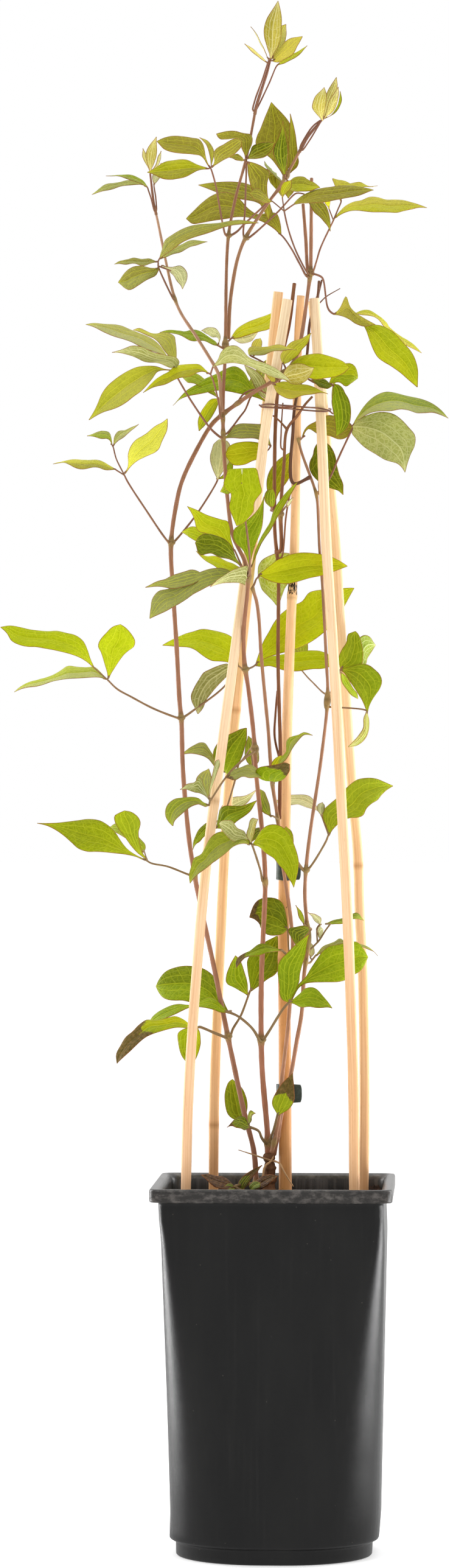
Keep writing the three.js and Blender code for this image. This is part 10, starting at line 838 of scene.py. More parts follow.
class Nodes:
    """A short way to write a node tree."""

    def __init__(self, name):
        self.material = bpy.data.materials.new(name)
        self.material.use_nodes = True
        self.tree = self.material.node_tree
        self.tree.nodes.clear()
        self.out = self.tree.nodes.new("ShaderNodeOutputMaterial")
        self.shader = self.tree.nodes.new("ShaderNodeBsdfPrincipled")
        self.link(self.shader.outputs[0], self.out.inputs[0])

    def link(self, a, b):
        self.tree.links.new(a, b)

    def put(self, socket, value):
        if isinstance(value, bpy.types.NodeSocket):
            self.link(value, socket)
        elif value is not None:
            if hasattr(value, "__len__") and len(value) == 3 and len(getattr(socket, "default_value", (0,) * 3)) == 4:
                value = (*value, 1.0)
            socket.default_value = value

    def set(self, **kw):
        names = dict(colour="Base Color", roughness="Roughness", normal="Normal", specular="Specular IOR Level", sheen="Sheen Weight",
                     sheen_roughness="Sheen Roughness", coat="Coat Weight", coat_roughness="Coat Roughness", emission="Emission Strength",
                     emission_colour="Emission Color", subsurface="Subsurface Weight", transmission="Transmission Weight")
        for k, v in kw.items():
            self.put(self.shader.inputs[names[k]], v)

    def attr(self, name, what="Vector"):
        n = self.tree.nodes.new("ShaderNodeAttribute")
        n.attribute_name = name
        return n.outputs[what]

    def math(self, op, a, b=None, c=None, clamp=False):
        n = self.tree.nodes.new("ShaderNodeMath")
        n.operation = op
        n.use_clamp = clamp
        for i, x in enumerate((a, b, c)):
            if x is not None:
                self.put(n.inputs[i], x)
        return n.outputs[0]

    def ramp(self, x, lo, hi, a=0.0, b=1.0):
        n = self.tree.nodes.new("ShaderNodeMapRange")
        n.interpolation_type = "SMOOTHSTEP"
        for i, v in zip((0, 1, 2, 3, 4), (x, lo, hi, a, b)):
            self.put(n.inputs[i], v)
        return n.outputs[0]

    def split(self, v):
        n = self.tree.nodes.new("ShaderNodeSeparateXYZ")
        self.put(n.inputs[0], v)
        return n.outputs[0], n.outputs[1], n.outputs[2]

    def join(self, x, y, z):
        n = self.tree.nodes.new("ShaderNodeCombineXYZ")
        for i, v in enumerate((x, y, z)):
            self.put(n.inputs[i], v)
        return n.outputs[0]

    def vec(self, op, a, b=None, scale=None):
        n = self.tree.nodes.new("ShaderNodeVectorMath")
        n.operation = op
        self.put(n.inputs[0], a)
        if b is not None:
            self.put(n.inputs[1], b)
        if scale is not None:
            self.put(n.inputs["Scale"], scale)
        return n.outputs[0]

    def noise(self, v, scale, detail=2.0, rough=0.5, colour=False, distortion=0.0):
        n = self.tree.nodes.new("ShaderNodeTexNoise")
        self.put(n.inputs["Vector"], v)
        n.inputs["Scale"].default_value = scale
        n.inputs["Detail"].default_value = detail
        n.inputs["Roughness"].default_value = rough
        n.inputs["Distortion"].default_value = distortion
        return n.outputs[1 if colour else 0]

    def cells(self, v, scale, feature="DISTANCE_TO_EDGE", random=1.0):
        n = self.tree.nodes.new("ShaderNodeTexVoronoi")
        n.feature = feature
        self.put(n.inputs["Vector"], v)
        n.inputs["Scale"].default_value = scale
        n.inputs["Randomness"].default_value = random
        return n.outputs["Distance"]

    def mix(self, f, a, b, how="MIX"):
        n = self.tree.nodes.new("ShaderNodeMix")
        n.data_type = "RGBA"
        n.blend_type = how
        n.clamp_factor = True
        self.put(n.inputs[0], f)
        self.put(n.inputs[6], a)
        self.put(n.inputs[7], b)
        return n.outputs[2]

    def bump(self, height, distance, strength=1.0, normal=None):
        n = self.tree.nodes.new("ShaderNodeBump")
        n.inputs["Strength"].default_value = strength
        n.inputs["Distance"].default_value = distance
        self.put(n.inputs["Height"], height)
        if normal is not None:
            self.put(n.inputs["Normal"], normal)
        return n.outputs[0]

    def object_mm(self):
        n = self.tree.nodes.new("ShaderNodeTexCoord")
        return self.vec("SCALE", n.outputs["Object"], scale=1000.0)


def leaf_material(name, vein, vein_share, net_share, margin, roughness, specular, sheen):
    """A leaf blade. pa is (across from the midrib, along, seed) in mm, pb (distance to the margin in mm, brown share, strength of the small veins),
    and pc (distance to the inner side vein, to the outer one, and along a slanting side vein) in mm."""
    n = Nodes(name)
    col = n.attr("col", "Color")
    pa, pb, pc = n.attr("pa"), n.attr("pb"), n.attr("pc")
    x, y, z = n.split(pa)
    edge, brown, strong = n.split(pb)
    d1, d2, slant = n.split(pc)
    wander = n.noise(pa, 0.16, 2.0, 0.5)
    shift = n.math("MULTIPLY", n.math("SUBTRACT", wander, 0.5), 2.2)
    ax = n.math("ABSOLUTE", x)
    mid = n.ramp(ax, 0.22, 0.62, 1.0, 0.0)
    v1 = n.ramp(n.math("ABSOLUTE", n.math("ADD", d1, shift)), 0.1, 0.5, 0.9, 0.0)
    v2 = n.ramp(n.math("ABSOLUTE", n.math("ADD", d2, shift)), 0.08, 0.4, 0.6, 0.0)
    comb = n.math("PINGPONG", n.math("ADD", slant, n.math("MULTIPLY", shift, 1.4)), 3.1)
    v3 = n.ramp(comb, 0.08, 0.42, 0.75, 0.0)
    warp = n.vec("ADD", pa, n.vec("SCALE", n.vec("SUBTRACT", n.noise(pa, 0.5, 1.0, 0.5, colour=True), (0.5, 0.5, 0.5)), scale=1.6))
    cell = n.cells(n.vec("MULTIPLY", warp, (1.0, 0.8, 1.0)), 0.42)
    net = n.ramp(cell, 0.02, 0.16, 1.0, 0.0)
    small = n.cells(n.vec("MULTIPLY", warp, (1.0, 0.9, 1.0)), 1.0)
    fine = n.ramp(small, 0.02, 0.2, 1.0, 0.0)
    main = n.math("MAXIMUM", n.math("MAXIMUM", mid, v1), n.math("MAXIMUM", v2, v3))
    blotch = n.noise(pa, 0.07, 3.0, 0.6)
    col = n.mix(n.ramp(blotch, 0.35, 0.7, 0.0, 0.5), col, n.mix(0.5, col, n.vec("MULTIPLY", col, (0.62, 0.70, 0.6))))
    tint = n.noise(pa, 0.28, 3.0, 0.65)
    col = n.mix(n.ramp(tint, 0.4, 0.75, 0.0, 0.16), col, n.vec("MULTIPLY", col, (1.18, 1.14, 0.95)))
    pillow = n.ramp(cell, 0.05, 0.4)
    col = n.mix(n.math("MULTIPLY", pillow, 0.12), col, n.vec("MULTIPLY", col, (0.72, 0.8, 0.6)))
    nets = n.math("MAXIMUM", n.math("MULTIPLY", net, net_share), n.math("MULTIPLY", fine, net_share * 0.22))
    lines = n.math("MAXIMUM", n.math("MULTIPLY", main, vein_share), n.math("MULTIPLY", nets, strong))
    col = n.mix(lines, col, n.mix(0.5, n.vec("MULTIPLY", col, (1.6, 1.5, 1.4)), tuple(vein)))
    burn = n.ramp(n.math("ADD", brown, n.math("MULTIPLY", n.math("SUBTRACT", n.noise(pa, 0.22, 4.0, 0.7), 0.5), 1.1)), 0.42, 0.62)
    burn = n.math("MULTIPLY", burn, n.ramp(brown, 0.0, 0.15))
    dead = n.mix(n.ramp(n.noise(pa, 0.5, 3.0, 0.7), 0.35, 0.7), tuple(lin(74, 48, 36)), tuple(lin(124, 88, 60)))
    col = n.mix(n.math("MULTIPLY", burn, 0.93), col, n.mix(0.12, dead, n.vec("MULTIPLY", col, (0.7, 0.6, 0.7))))
    rim = n.ramp(n.math("ADD", edge, n.math("MULTIPLY", n.math("SUBTRACT", wander, 0.5), 0.4)), 0.12, 0.6, 0.8, 0.0)
    col = n.mix(rim, col, tuple(margin))
    n.set(colour=col, roughness=n.ramp(tint, 0.3, 0.7, roughness - 0.05, roughness + 0.08), specular=specular, sheen=sheen, sheen_roughness=0.5)
    height = n.math("ADD", n.math("MULTIPLY", pillow, 0.55), n.math("MULTIPLY", main, -0.8))
    height = n.math("ADD", height, n.math("MULTIPLY", n.noise(pa, 0.35, 3.0, 0.6), 0.6))
    n.set(normal=n.bump(height, 0.00035, 0.8))
    return n.material


def bark_material(name, roughness, specular, dark=(0.55, 0.5, 0.5), light=(1.5, 1.5, 1.5), rib=0.8, freq=1.5, coarse=0.05, fade=0.6):
    """A stem. pa is (around, along, seed) in mm; long ribs and streaks follow the stem."""
    n = Nodes(name)
    col = n.attr("col", "Color")
    pa = n.attr("pa")
    streak = n.noise(n.vec("MULTIPLY", pa, (freq, coarse, 1.0)), 1.0, 3.0, 0.6)
    patch = n.noise(n.vec("MULTIPLY", pa, (0.35, 0.12, 1.0)), 1.0, 3.0, 0.6)
    out = n.mix(n.ramp(streak, 0.3, 0.55, fade, 0.0), col, n.vec("MULTIPLY", col, tuple(dark)))
    out = n.mix(n.ramp(streak, 0.52, 0.8, 0.0, fade), out, n.vec("MULTIPLY", out, tuple(light)))
    out = n.mix(n.ramp(patch, 0.35, 0.7, 0.0, 0.55), out, n.vec("MULTIPLY", out, (0.82, 0.9, 0.8)))
    n.set(colour=out, roughness=roughness, specular=specular)
    n.set(normal=n.bump(streak, 0.00025, rib))
    return n.material


def bamboo_material(name, roughness, specular):
    """Split bamboo: fine fibres along the stake, short dark flecks, a soft change of tone; the cut end shows dots."""
    n = Nodes(name)
    col = n.attr("col", "Color")
    pa, pb = n.attr("pa"), n.attr("pb")
    mark, cut, _ = n.split(pb)
    fibre = n.noise(n.vec("MULTIPLY", pa, (1.9, 0.012, 1.0)), 1.0, 3.0, 0.65)
    fine = n.noise(n.vec("MULTIPLY", pa, (5.0, 0.05, 1.0)), 1.0, 2.0, 0.6)
    fleck = n.noise(n.vec("MULTIPLY", pa, (2.6, 0.16, 1.0)), 1.0, 2.0, 0.5)
    tone = n.noise(n.vec("MULTIPLY", pa, (0.1, 0.012, 1.0)), 1.0, 2.0, 0.5)
    out = n.mix(n.ramp(fibre, 0.35, 0.6, 0.7, 0.0), col, n.vec("MULTIPLY", col, (0.80, 0.68, 0.56)))
    out = n.mix(n.ramp(fine, 0.5, 0.75, 0.0, 0.5), out, n.vec("MULTIPLY", out, (1.05, 1.1, 1.14)))
    out = n.mix(n.ramp(fleck, 0.66, 0.76, 0.0, 0.5), out, n.vec("MULTIPLY", out, (0.62, 0.5, 0.4)))
    out = n.mix(n.ramp(tone, 0.4, 0.7, 0.0, 0.6), out, n.vec("MULTIPLY", out, (0.92, 0.86, 0.78)))
    out = n.mix(mark, out, n.vec("MULTIPLY", out, (0.60, 0.46, 0.34)))
    pore = n.ramp(n.cells(n.object_mm(), 1.7, "F1"), 0.12, 0.3, 1.0, 0.0)
    out = n.mix(n.math("MULTIPLY", cut, pore), out, n.vec("MULTIPLY", out, (0.5, 0.36, 0.28)))
    n.set(colour=out, roughness=n.ramp(fibre, 0.3, 0.7, roughness + 0.1, roughness - 0.05), specular=specular)
    n.set(normal=n.bump(n.math("ADD", fibre, n.math("MULTIPLY", fine, 0.4)), 0.00022, 0.9))
    return n.material


def cane_material(name):
    """A whole cane with its skin on: orange brown, with dark specks and smudges and a waxy gloss."""
    n = Nodes(name)
    col = n.attr("col", "Color")
    pa, pb = n.attr("pa"), n.attr("pb")
    mark, dark_bands, _ = n.split(pb)
    long_ = n.noise(n.vec("MULTIPLY", pa, (0.9, 0.03, 1.0)), 1.0, 3.0, 0.6)
    spot = n.noise(n.vec("MULTIPLY", pa, (0.8, 0.35, 1.0)), 1.0, 3.0, 0.7)
    patch = n.noise(n.vec("MULTIPLY", pa, (0.25, 0.05, 1.0)), 1.0, 3.0, 0.6)
    out = n.mix(n.ramp(long_, 0.35, 0.6, 0.45, 0.0), col, n.vec("MULTIPLY", col, (0.78, 0.66, 0.52)))
    out = n.mix(n.ramp(patch, 0.45, 0.7, 0.0, 0.4), out, n.vec("MULTIPLY", out, (0.84, 0.82, 0.7)))
    out = n.mix(n.ramp(spot, 0.64, 0.74, 0.0, 0.7), out, tuple(lin(104, 66, 38)))
    out = n.mix(mark, out, n.vec("MULTIPLY", out, (0.5, 0.4, 0.3)))
    # the dark bands, broken up by the spots, mixed towards near black
    dark_band_mask = n.ramp(n.math("ADD", dark_bands, n.math("MULTIPLY", n.math("SUBTRACT", spot, 0.5), 1.6)), 0.45, 0.6)
    out = n.mix(n.math("MULTIPLY", dark_band_mask, n.ramp(dark_bands, 0.0, 0.1)), out, tuple(lin(38, 28, 22)))
    n.set(colour=out, roughness=0.45, specular=0.25)
    n.set(normal=n.bump(long_, 0.0002, 0.7))
    return n.material


def pot_material(name):
    """Black recycled polypropylene: a fine even texture on the body, smoother on the rim, with faint flow lines and pale scuffs."""
    n = Nodes(name)
    p = n.object_mm()
    pa = n.attr("pa")
    inside, rim, _ = n.split(pa)
    grain = n.noise(p, 2.4, 2.0, 0.7)
    cloud = n.noise(n.vec("MULTIPLY", p, (0.03, 0.03, 0.012)), 1.0, 4.0, 0.6)
    flow = n.noise(n.vec("MULTIPLY", p, (0.35, 0.35, 0.006)), 1.0, 3.0, 0.6)
    speck = n.cells(p, 0.11, "F1")
    col = n.mix(n.ramp(cloud, 0.3, 0.75), tuple(lin(16, 16, 16)), tuple(lin(23, 23, 22)))
    col = n.mix(n.ramp(flow, 0.5, 0.8, 0.0, 0.45), col, tuple(lin(33, 32, 31)))
    col = n.mix(n.ramp(speck, 0.02, 0.05, 0.5, 0.0), col, tuple(lin(84, 80, 72)))
    scuff = n.noise(n.vec("MULTIPLY", p, (0.16, 0.16, 0.3)), 1.0, 4.0, 0.65)
    col = n.mix(n.math("MULTIPLY", rim, n.ramp(scuff, 0.42, 0.72, 0.18, 0.85)), col, tuple(lin(100, 95, 91)))
    col = n.mix(n.math("MULTIPLY", inside, n.ramp(flow, 0.35, 0.7, 0.1, 0.7)), col, tuple(lin(78, 76, 75)))
    n.set(colour=col, roughness=n.math("SUBTRACT", n.ramp(cloud, 0.3, 0.8, 0.21, 0.18), n.math("MULTIPLY", rim, 0.03)), specular=0.5)
    n.set(normal=n.bump(n.math("ADD", grain, n.math("MULTIPLY", flow, 0.25)), 0.00018, 0.6))
    return n.material


def soil_material(name):
    n = Nodes(name)
    p = n.object_mm()
    a = n.noise(p, 0.22, 5.0, 0.7)
    b = n.noise(p, 0.9, 3.0, 0.7)
    col = n.mix(n.ramp(a, 0.3, 0.7), tuple(lin(28, 19, 14)), tuple(lin(66, 47, 35)))
    col = n.mix(n.ramp(b, 0.66, 0.74, 0.0, 0.8), col, tuple(lin(130, 104, 78)))
    n.set(colour=col, roughness=0.95, specular=0.2)
    n.set(normal=n.bump(n.math("ADD", a, n.math("MULTIPLY", b, 0.5)), 0.0012, 1.0))
    return n.material


def band_material(name):
    n = Nodes(name)
    p = n.object_mm()
    a = n.noise(p, 0.35, 4.0, 0.65)
    b = n.noise(n.vec("MULTIPLY", p, (0.4, 0.4, 3.0)), 1.0, 2.0, 0.5)
    col = n.mix(n.ramp(a, 0.3, 0.7), tuple(lin(40, 52, 44)), tuple(lin(66, 80, 70)))
    col = n.mix(n.ramp(b, 0.55, 0.8, 0.0, 0.4), col, tuple(lin(96, 104, 92)))
    n.set(colour=col, roughness=0.42, specular=0.5)
    n.set(normal=n.bump(a, 0.0004, 0.6))
    return n.material


def wire_material(name):
    n = Nodes(name)
    pa = n.attr("pa")
    a = n.noise(n.vec("MULTIPLY", pa, (0.6, 0.2, 1.0)), 1.0, 3.0, 0.6)
    col = n.mix(n.ramp(a, 0.3, 0.7), tuple(lin(96, 58, 44)), tuple(lin(150, 98, 76)))
    n.set(colour=col, roughness=0.4, specular=0.5)
    n.set(normal=n.bump(a, 0.0002, 0.5))
    return n.material


def floor_material(name):
    """White paper with a faint glow of its own. Glossy rays see a painted reflection in its place: a glow that is
    darker towards the camera, as in a studio with black boards in front.
    """
    n = Nodes(name)
    p = n.object_mm()
    a = n.noise(p, 0.004, 3.0, 0.5)
    n.set(colour=n.mix(a, (0.9, 0.9, 0.9), (0.94, 0.94, 0.94)), roughness=0.9, specular=0.1, emission=0.35, emission_colour=(1, 1, 1))
    _, y, _ = n.split(p)
    # painted reflection: glossy rays see this glow instead of the paper, dimmer towards the camera
    glow = n.tree.nodes.new("ShaderNodeEmission")
    n.put(glow.inputs["Strength"], n.ramp(y, -60.0, 280.0, 0.44, 0.72))
    path = n.tree.nodes.new("ShaderNodeLightPath")
    pick = n.tree.nodes.new("ShaderNodeMixShader")
    n.link(path.outputs["Is Glossy Ray"], pick.inputs[0])
    n.link(n.shader.outputs[0], pick.inputs[1])
    n.link(glow.outputs[0], pick.inputs[2])
    n.link(pick.outputs[0], n.out.inputs[0])
    return n.material


LEAF_TOP = leaf_material("leaf_top", lin(214, 220, 58), 0.62, 0.20, lin(146, 84, 40), 0.5, 0.10, 0.0)
LEAF_BACK = leaf_material("leaf_under", lin(228, 230, 180), 0.75, 0.30, lin(146, 92, 52), 0.6, 0.12, 0.05)
STEM = bark_material("stem_bark", 0.5, 0.22, dark=(0.6, 0.52, 0.46), light=(1.45, 1.48, 1.45))
STALK = bark_material("stalk_skin", 0.5, 0.2, dark=(0.6, 0.55, 0.55), light=(1.45, 1.5, 1.5), freq=1.8, coarse=0.08)
OLD = bark_material("old_bark", 0.75, 0.15, dark=(0.6, 0.5, 0.44), light=(1.45, 1.3, 1.15), rib=1.0, freq=2.2, coarse=0.06, fade=0.8)
BAMBOO = bamboo_material("split_bamboo", 0.55, 0.18)
CANE = cane_material("cane_skin")
POT = pot_material("pot_plastic")
SOIL = soil_material("potting_soil")
BAND = band_material("band_plastic")
WIRE = wire_material("wire_coating")

# ---- the stems ------------------------------------------------------------------------------------------------
# each stem is plain brown bark: its tone at the foot and its tone at the tip
STEM_TONES = {
    "stem_main": ((170, 112, 85), (150, 105, 78)),
    "stem_main_branch": ((160, 115, 85), (165, 120, 90)),
    "stem_left": ((160, 110, 85), (160, 112, 85)),
    "stem_left_branch": ((165, 122, 98), (180, 138, 112)),
    "stem_right": ((180, 130, 102), (140, 104, 78)),
    "stem_middle": ((175, 125, 95), (160, 115, 85)),
    "stem_old_wood": ((122, 72, 45), (150, 104, 75)),
}
KNOT_TONE = lin(158, 136, 78)


def between(pair, z, low, high):
    """A straight blend from the first tone to the second one between two heights."""
    f = np.clip((np.asarray(z, float) - low) / (high - low), 0, 1)[..., None]
    return lin(*pair[0]) * (1 - f) + lin(*pair[1]) * f


def tone(name, z):
    return between(STEM_TONES[name], z, 235, 900)


stem_routes = {}
for name, parts in STEMS.items():
    for i, (d0, d1, flat) in enumerate(parts):
        P, s = smooth(route(flat), 1.6)
        stem_routes[name, i] = (P, s, d0 / 10, d1 / 10)

# where stalks leave each stem, so that it swells into a knot there
knots = {k: [] for k in stem_routes}
stalk_homes = {}
for leaf, (blades, stalks, collars) in LEAVES.items():
    for i, (d0, d1, on_stem, flat) in enumerate(stalks):
        if on_stem:
            p = route(flat)[0]
            best = min(((*nearest(p, r[0])[:2], k) for k, r in stem_routes.items()), key=lambda t: t[0])
            if best[0] < 3:
                knots[best[2]].append((best[1], d0 / 10))
                stalk_homes[leaf, i] = best

for name, parts in STEMS.items():
    piece = Piece(name + "_bark")
    for i in range(len(parts)):
        P, s, d0, d1 = stem_routes[name, i]
        rng = np.random.default_rng(len(P) * 7 + i)
        r = (d0 + (d1 - d0) * s / s[-1]) / 2
        swell = np.zeros(len(s))
        for at, d in knots[name, i]:
            swell = np.maximum(swell, np.exp(-(((s - at) / 2.6) ** 2)) * (0.28 + 0.08 * d))
        wob = 1 + 0.035 * np.sin(s * 0.21 + i * 2 + len(P)) + 0.025 * np.sin(s * 0.63 + 1.7)
        old = name == "stem_old_wood" or (name == "stem_right" and i > 0)
        if i > 0:
            r = r * (1 + 0.5 * np.exp(-s / 1.8))
        r = r * wob * (1 + swell) * 1.05
        ribs = 6
        depth = 0.05 if not old else 0.09
        phase = rng.uniform(0, 6)
        section = lambda a, k: 1 + depth * np.cos(ribs * a + phase) + 0.03 * np.cos(2 * a + k * 0.02)
        V, F, S, A, idx = sweep(P, r, 16 if not old else 14, section=section, ends=(1, 1))
        z = P[idx, 2]
        col = tone(name, z)
        if name == "stem_right" and i > 0:
            col = np.broadcast_to(lin(104, 70, 52), col.shape) * (1 + 0.5 * step(770, 800, z)[:, None])
        k = np.clip(swell[idx] * 2.2, 0, 0.75)[:, None]
        col = col * (1 - k) + KNOT_TONE * k
        ring = np.zeros(len(s))
        for at, d in knots[name, i]:
            ring = np.maximum(ring, np.exp(-(((s - at - 2.4) / 0.8) ** 2)))
        col = col * (1 - 0.35 * ring[idx][:, None])
        pa = np.stack([A * r[idx], S, np.full(len(S), 3.1 * i + len(P))], 1)
        piece.add(V, F, col, pa, mat=0)
    piece.build([OLD if name == "stem_old_wood" else STEM], [name])

# ---- the leaves -------------------------------------------------------------------------------------------------
# The leaf tones are leaf colour with painted light in it: the bright yellow greens stand for light shining through the
# blade, the grey greens for a painted sheen, and where the two halves of a blade differ it is often by painted light
# and shade on either side of a fold.
TONES = {
    "Y": (183, 184, 10), "X": (210, 212, 20), "W": (232, 228, 84), "L": (154, 166, 2), "H": (144, 158, 22), "G": (134, 156, 6),
    "D": (95, 106, 4), "O": (144, 133, 44), "Q": (132, 122, 20), "S": (202, 186, 76), "V": (240, 224, 146), "K": (150, 151, 84),
    "P": (188, 188, 134), "E": (98, 112, 60), "R": (58, 36, 26), "B": (126, 86, 44), "J": (184, 196, 6), "M": (190, 184, 88), "F": (124, 126, 52), "C": (168, 172, 88),
}
TONES_UNDER = dict(TONES, K=(150, 150, 76), O=(175, 157, 40), Y=(150, 135, 26))
UNDER_TONE, UPPER_TONE = lin(170, 176, 108), lin(134, 154, 14)


def stations(table, t):
    """The table's stations at the fractional stations t, on a smooth curve."""
    n = len(table) - 1
    i = np.clip(np.floor(t).astype(int), 0, n - 1)
    f = (t - i)[:, None]
    p = lambda k: table[np.clip(k, 0, n)]
    p0, p1, p2, p3 = p(i - 1), p(i), p(i + 1), p(i + 2)
    p0 = np.where((i == 0)[:, None], 2 * p1 - p2, p0)
    p3 = np.where((i == n - 1)[:, None], 2 * p2 - p1, p3)
    return 0.5 * (2 * p1 + (p2 - p0) * f + (2 * p0 - 5 * p1 + 4 * p2 - p3) * f**2 + (3 * p1 - p0 - 3 * p2 + p3) * f**3)


def blade(piece, leaf, seed):
    face, c1, c2, brown, quilting, A, M, B = leaf
    A, M, B = route(A), route(M), route(B)
    rng = np.random.default_rng(seed)
    length = np.linalg.norm(np.diff(M, axis=0), axis=1).sum()
    width = np.linalg.norm(B - A, axis=1).max()
    nv = int(np.clip(round(length / 1.5), 12, 46))
    t = np.linspace(0, 12, nv + 1)
    v = t / 12
    A, M, B = stations(A, t), stations(M, t), stations(B, t)
    half = [0, 0.05, 0.13, 0.26, 0.4, 0.53, 0.66, 0.79, 0.91, 1.0] if width > 12 else [0, 0.1, 0.3, 0.52, 0.76, 1.0]
    u = np.array([-x for x in half[:0:-1]] + half)
    au = np.abs(u)
    side = unit(B - A)
    along = unit(np.gradient(M, axis=0))
    N = unit(np.cross(side, along))
    top = 1.0 if face == "T" else -1.0
    hl, hr = np.linalg.norm(A - M, axis=1), np.linalg.norm(B - M, axis=1)
    hw = np.where(u[None, :] < 0, hl[:, None], hr[:, None])
    edge_pt = np.where((u < 0)[None, :, None], A[:, None], B[:, None])
    P = M[:, None] + (edge_pt - M[:, None]) * au[None, :, None]
    vv, uu = v[:, None] + 0 * u[None, :], au[None, :] + 0 * v[:, None]
    y = vv * length
    # each half arches between the midrib and the margin, the side veins sink, and the margin waves
    lift = hw * 0.13 * 4 * uu * (1 - uu) * 0.6
    big = min(1.0, width / 22)
    d1, d2 = (uu - 0.42) * hw, (uu - 0.74) * hw
    lift = lift - big * 0.28 * np.exp(-((d1 / 0.9) ** 2)) * np.sin(math.pi * np.clip(vv, 0, 1)) ** 0.5
    ph = rng.uniform(0, 6.28, 4)
    waves = rng.uniform(1.3, 2.6)
    left = (u < 0)[None, :]
    edge_wave = np.where(left, np.sin(6.28 * waves * vv + ph[0]), np.sin(6.28 * waves * 1.13 * vv + ph[1]))
    lift = lift + edge_wave * uu**3 * min(0.9, width * 0.035) * np.sin(math.pi * vv) ** 0.7
    slant = y - uu * hw * 0.75
    lift = lift + big * (0.16 + 0.5 * quilting) * np.sin(slant * 2 * math.pi / 6.2 + ph[2]) * np.sin(math.pi * uu) * np.sin(math.pi * vv) ** 0.5
    P = P + N[:, None] * (lift * top)[..., None]
    # thickness, with the midrib sunk on the upper face and standing out on the lower one
    thick = 0.17 * (1 - 0.6 * uu**4)
    x = uu * hw * np.sign(u)[None, :]
    groove = 0.22 * big * np.exp(-((x / 0.8) ** 2))
    rib = 0.42 * (0.4 + 0.6 * big) * (1 - 0.8 * vv) * np.exp(-((x / 0.7) ** 2))
    upper, lower = thick - groove, thick + rib
    f_off, b_off = (upper, lower) if face == "T" else (lower, upper)
    front = P + N[:, None] * f_off[..., None]
    back = P - N[:, None] * b_off[..., None]
    m, k = nv + 1, len(u)
    grid = np.arange(m * k).reshape(m, k)
    quads = lambda g: np.stack([g[:-1, :-1], g[:-1, 1:], g[1:, 1:], g[1:, :-1]], -1).reshape(-1, 4)
    fq = quads(grid)
    bq = quads(grid)[:, ::-1] + m * k
    loop = np.concatenate([grid[0, :], grid[1:, -1], grid[-1, -2::-1], grid[-2:0:-1, 0]])
    nxt = np.roll(loop, -1)
    rim = np.stack([nxt, loop, loop + m * k, nxt + m * k], -1)
    # colours
    shade = rng.uniform(0.93, 1.07) * 0.95
    # the half tones hold painted light: glow through the blade, sheen, and shade on one side of a fold
    tones = TONES if face == "T" else TONES_UNDER
    ca, cb = lin(*tones[c1]) * shade, lin(*tones[c2]) * shade
    ca, cb = ca * 0.72 + cb * 0.28, cb * 0.72 + ca * 0.28
    w = step(-0.06, 0.06, u)[None, :, None] + 0 * P[..., :1]
    colf = ca * (1 - w) + cb * w
    along_tone = 1 + 0.1 * np.sin(vv * 3 + ph[3])
    colf = colf * along_tone[..., None]
    under = face == "T"
    colb = np.broadcast_to((UNDER_TONE if under else UPPER_TONE) * shade, P.shape) * along_tone[..., None]
    burn = np.zeros_like(vv)
    weak = min(1.0, brown / 0.3)
    if brown > 0:
        burn = step(1 - brown - 0.18, 1 - brown + 0.12, vv + 0.12 * (uu - 0.5)) * weak if brown < 0.75 else np.full_like(vv, brown)
    edge = np.minimum((1 - uu) * hw, np.minimum(y + 1.0, (1 - vv) * length * 0.5 + 0.15))
    flat = lambda *a: np.stack([np.broadcast_to(q, vv.shape).reshape(-1) for q in a], 1)
    both = lambda a: np.vstack([a, a])
    sd = (seed * 7.31) % 97
    pa = np.vstack([flat(x, y, sd), flat(x, y, sd + 3.3)])
    pb = both(flat(edge, burn, np.clip((width - 6) / 16, 0.25, 1.25)))
    pc = both(flat(d1, d2, slant))
    V = np.vstack([front.reshape(-1, 3), back.reshape(-1, 3)])
    col = np.vstack([colf.reshape(-1, 3), colb.reshape(-1, 3)])
    m_front, m_back = (0, 1) if face == "T" else (1, 0)
    start = piece.count
    piece.add(V, [fq], col, pa, pb, pc, mat=m_front)
    piece.faces.append((bq + start, m_back))
    piece.faces.append((rim + start, m_front))


STALK_TONES = {"hi": (150, 98, 76), "mid": (132, 86, 66), "low": (150, 122, 84)}


def stalk_tone(z, seed):
    rng = np.random.default_rng(seed)
    a = between(((144, 116, 80), (140, 94, 74)), z, 450, 700)
    return a * rng.uniform(0.9, 1.12)


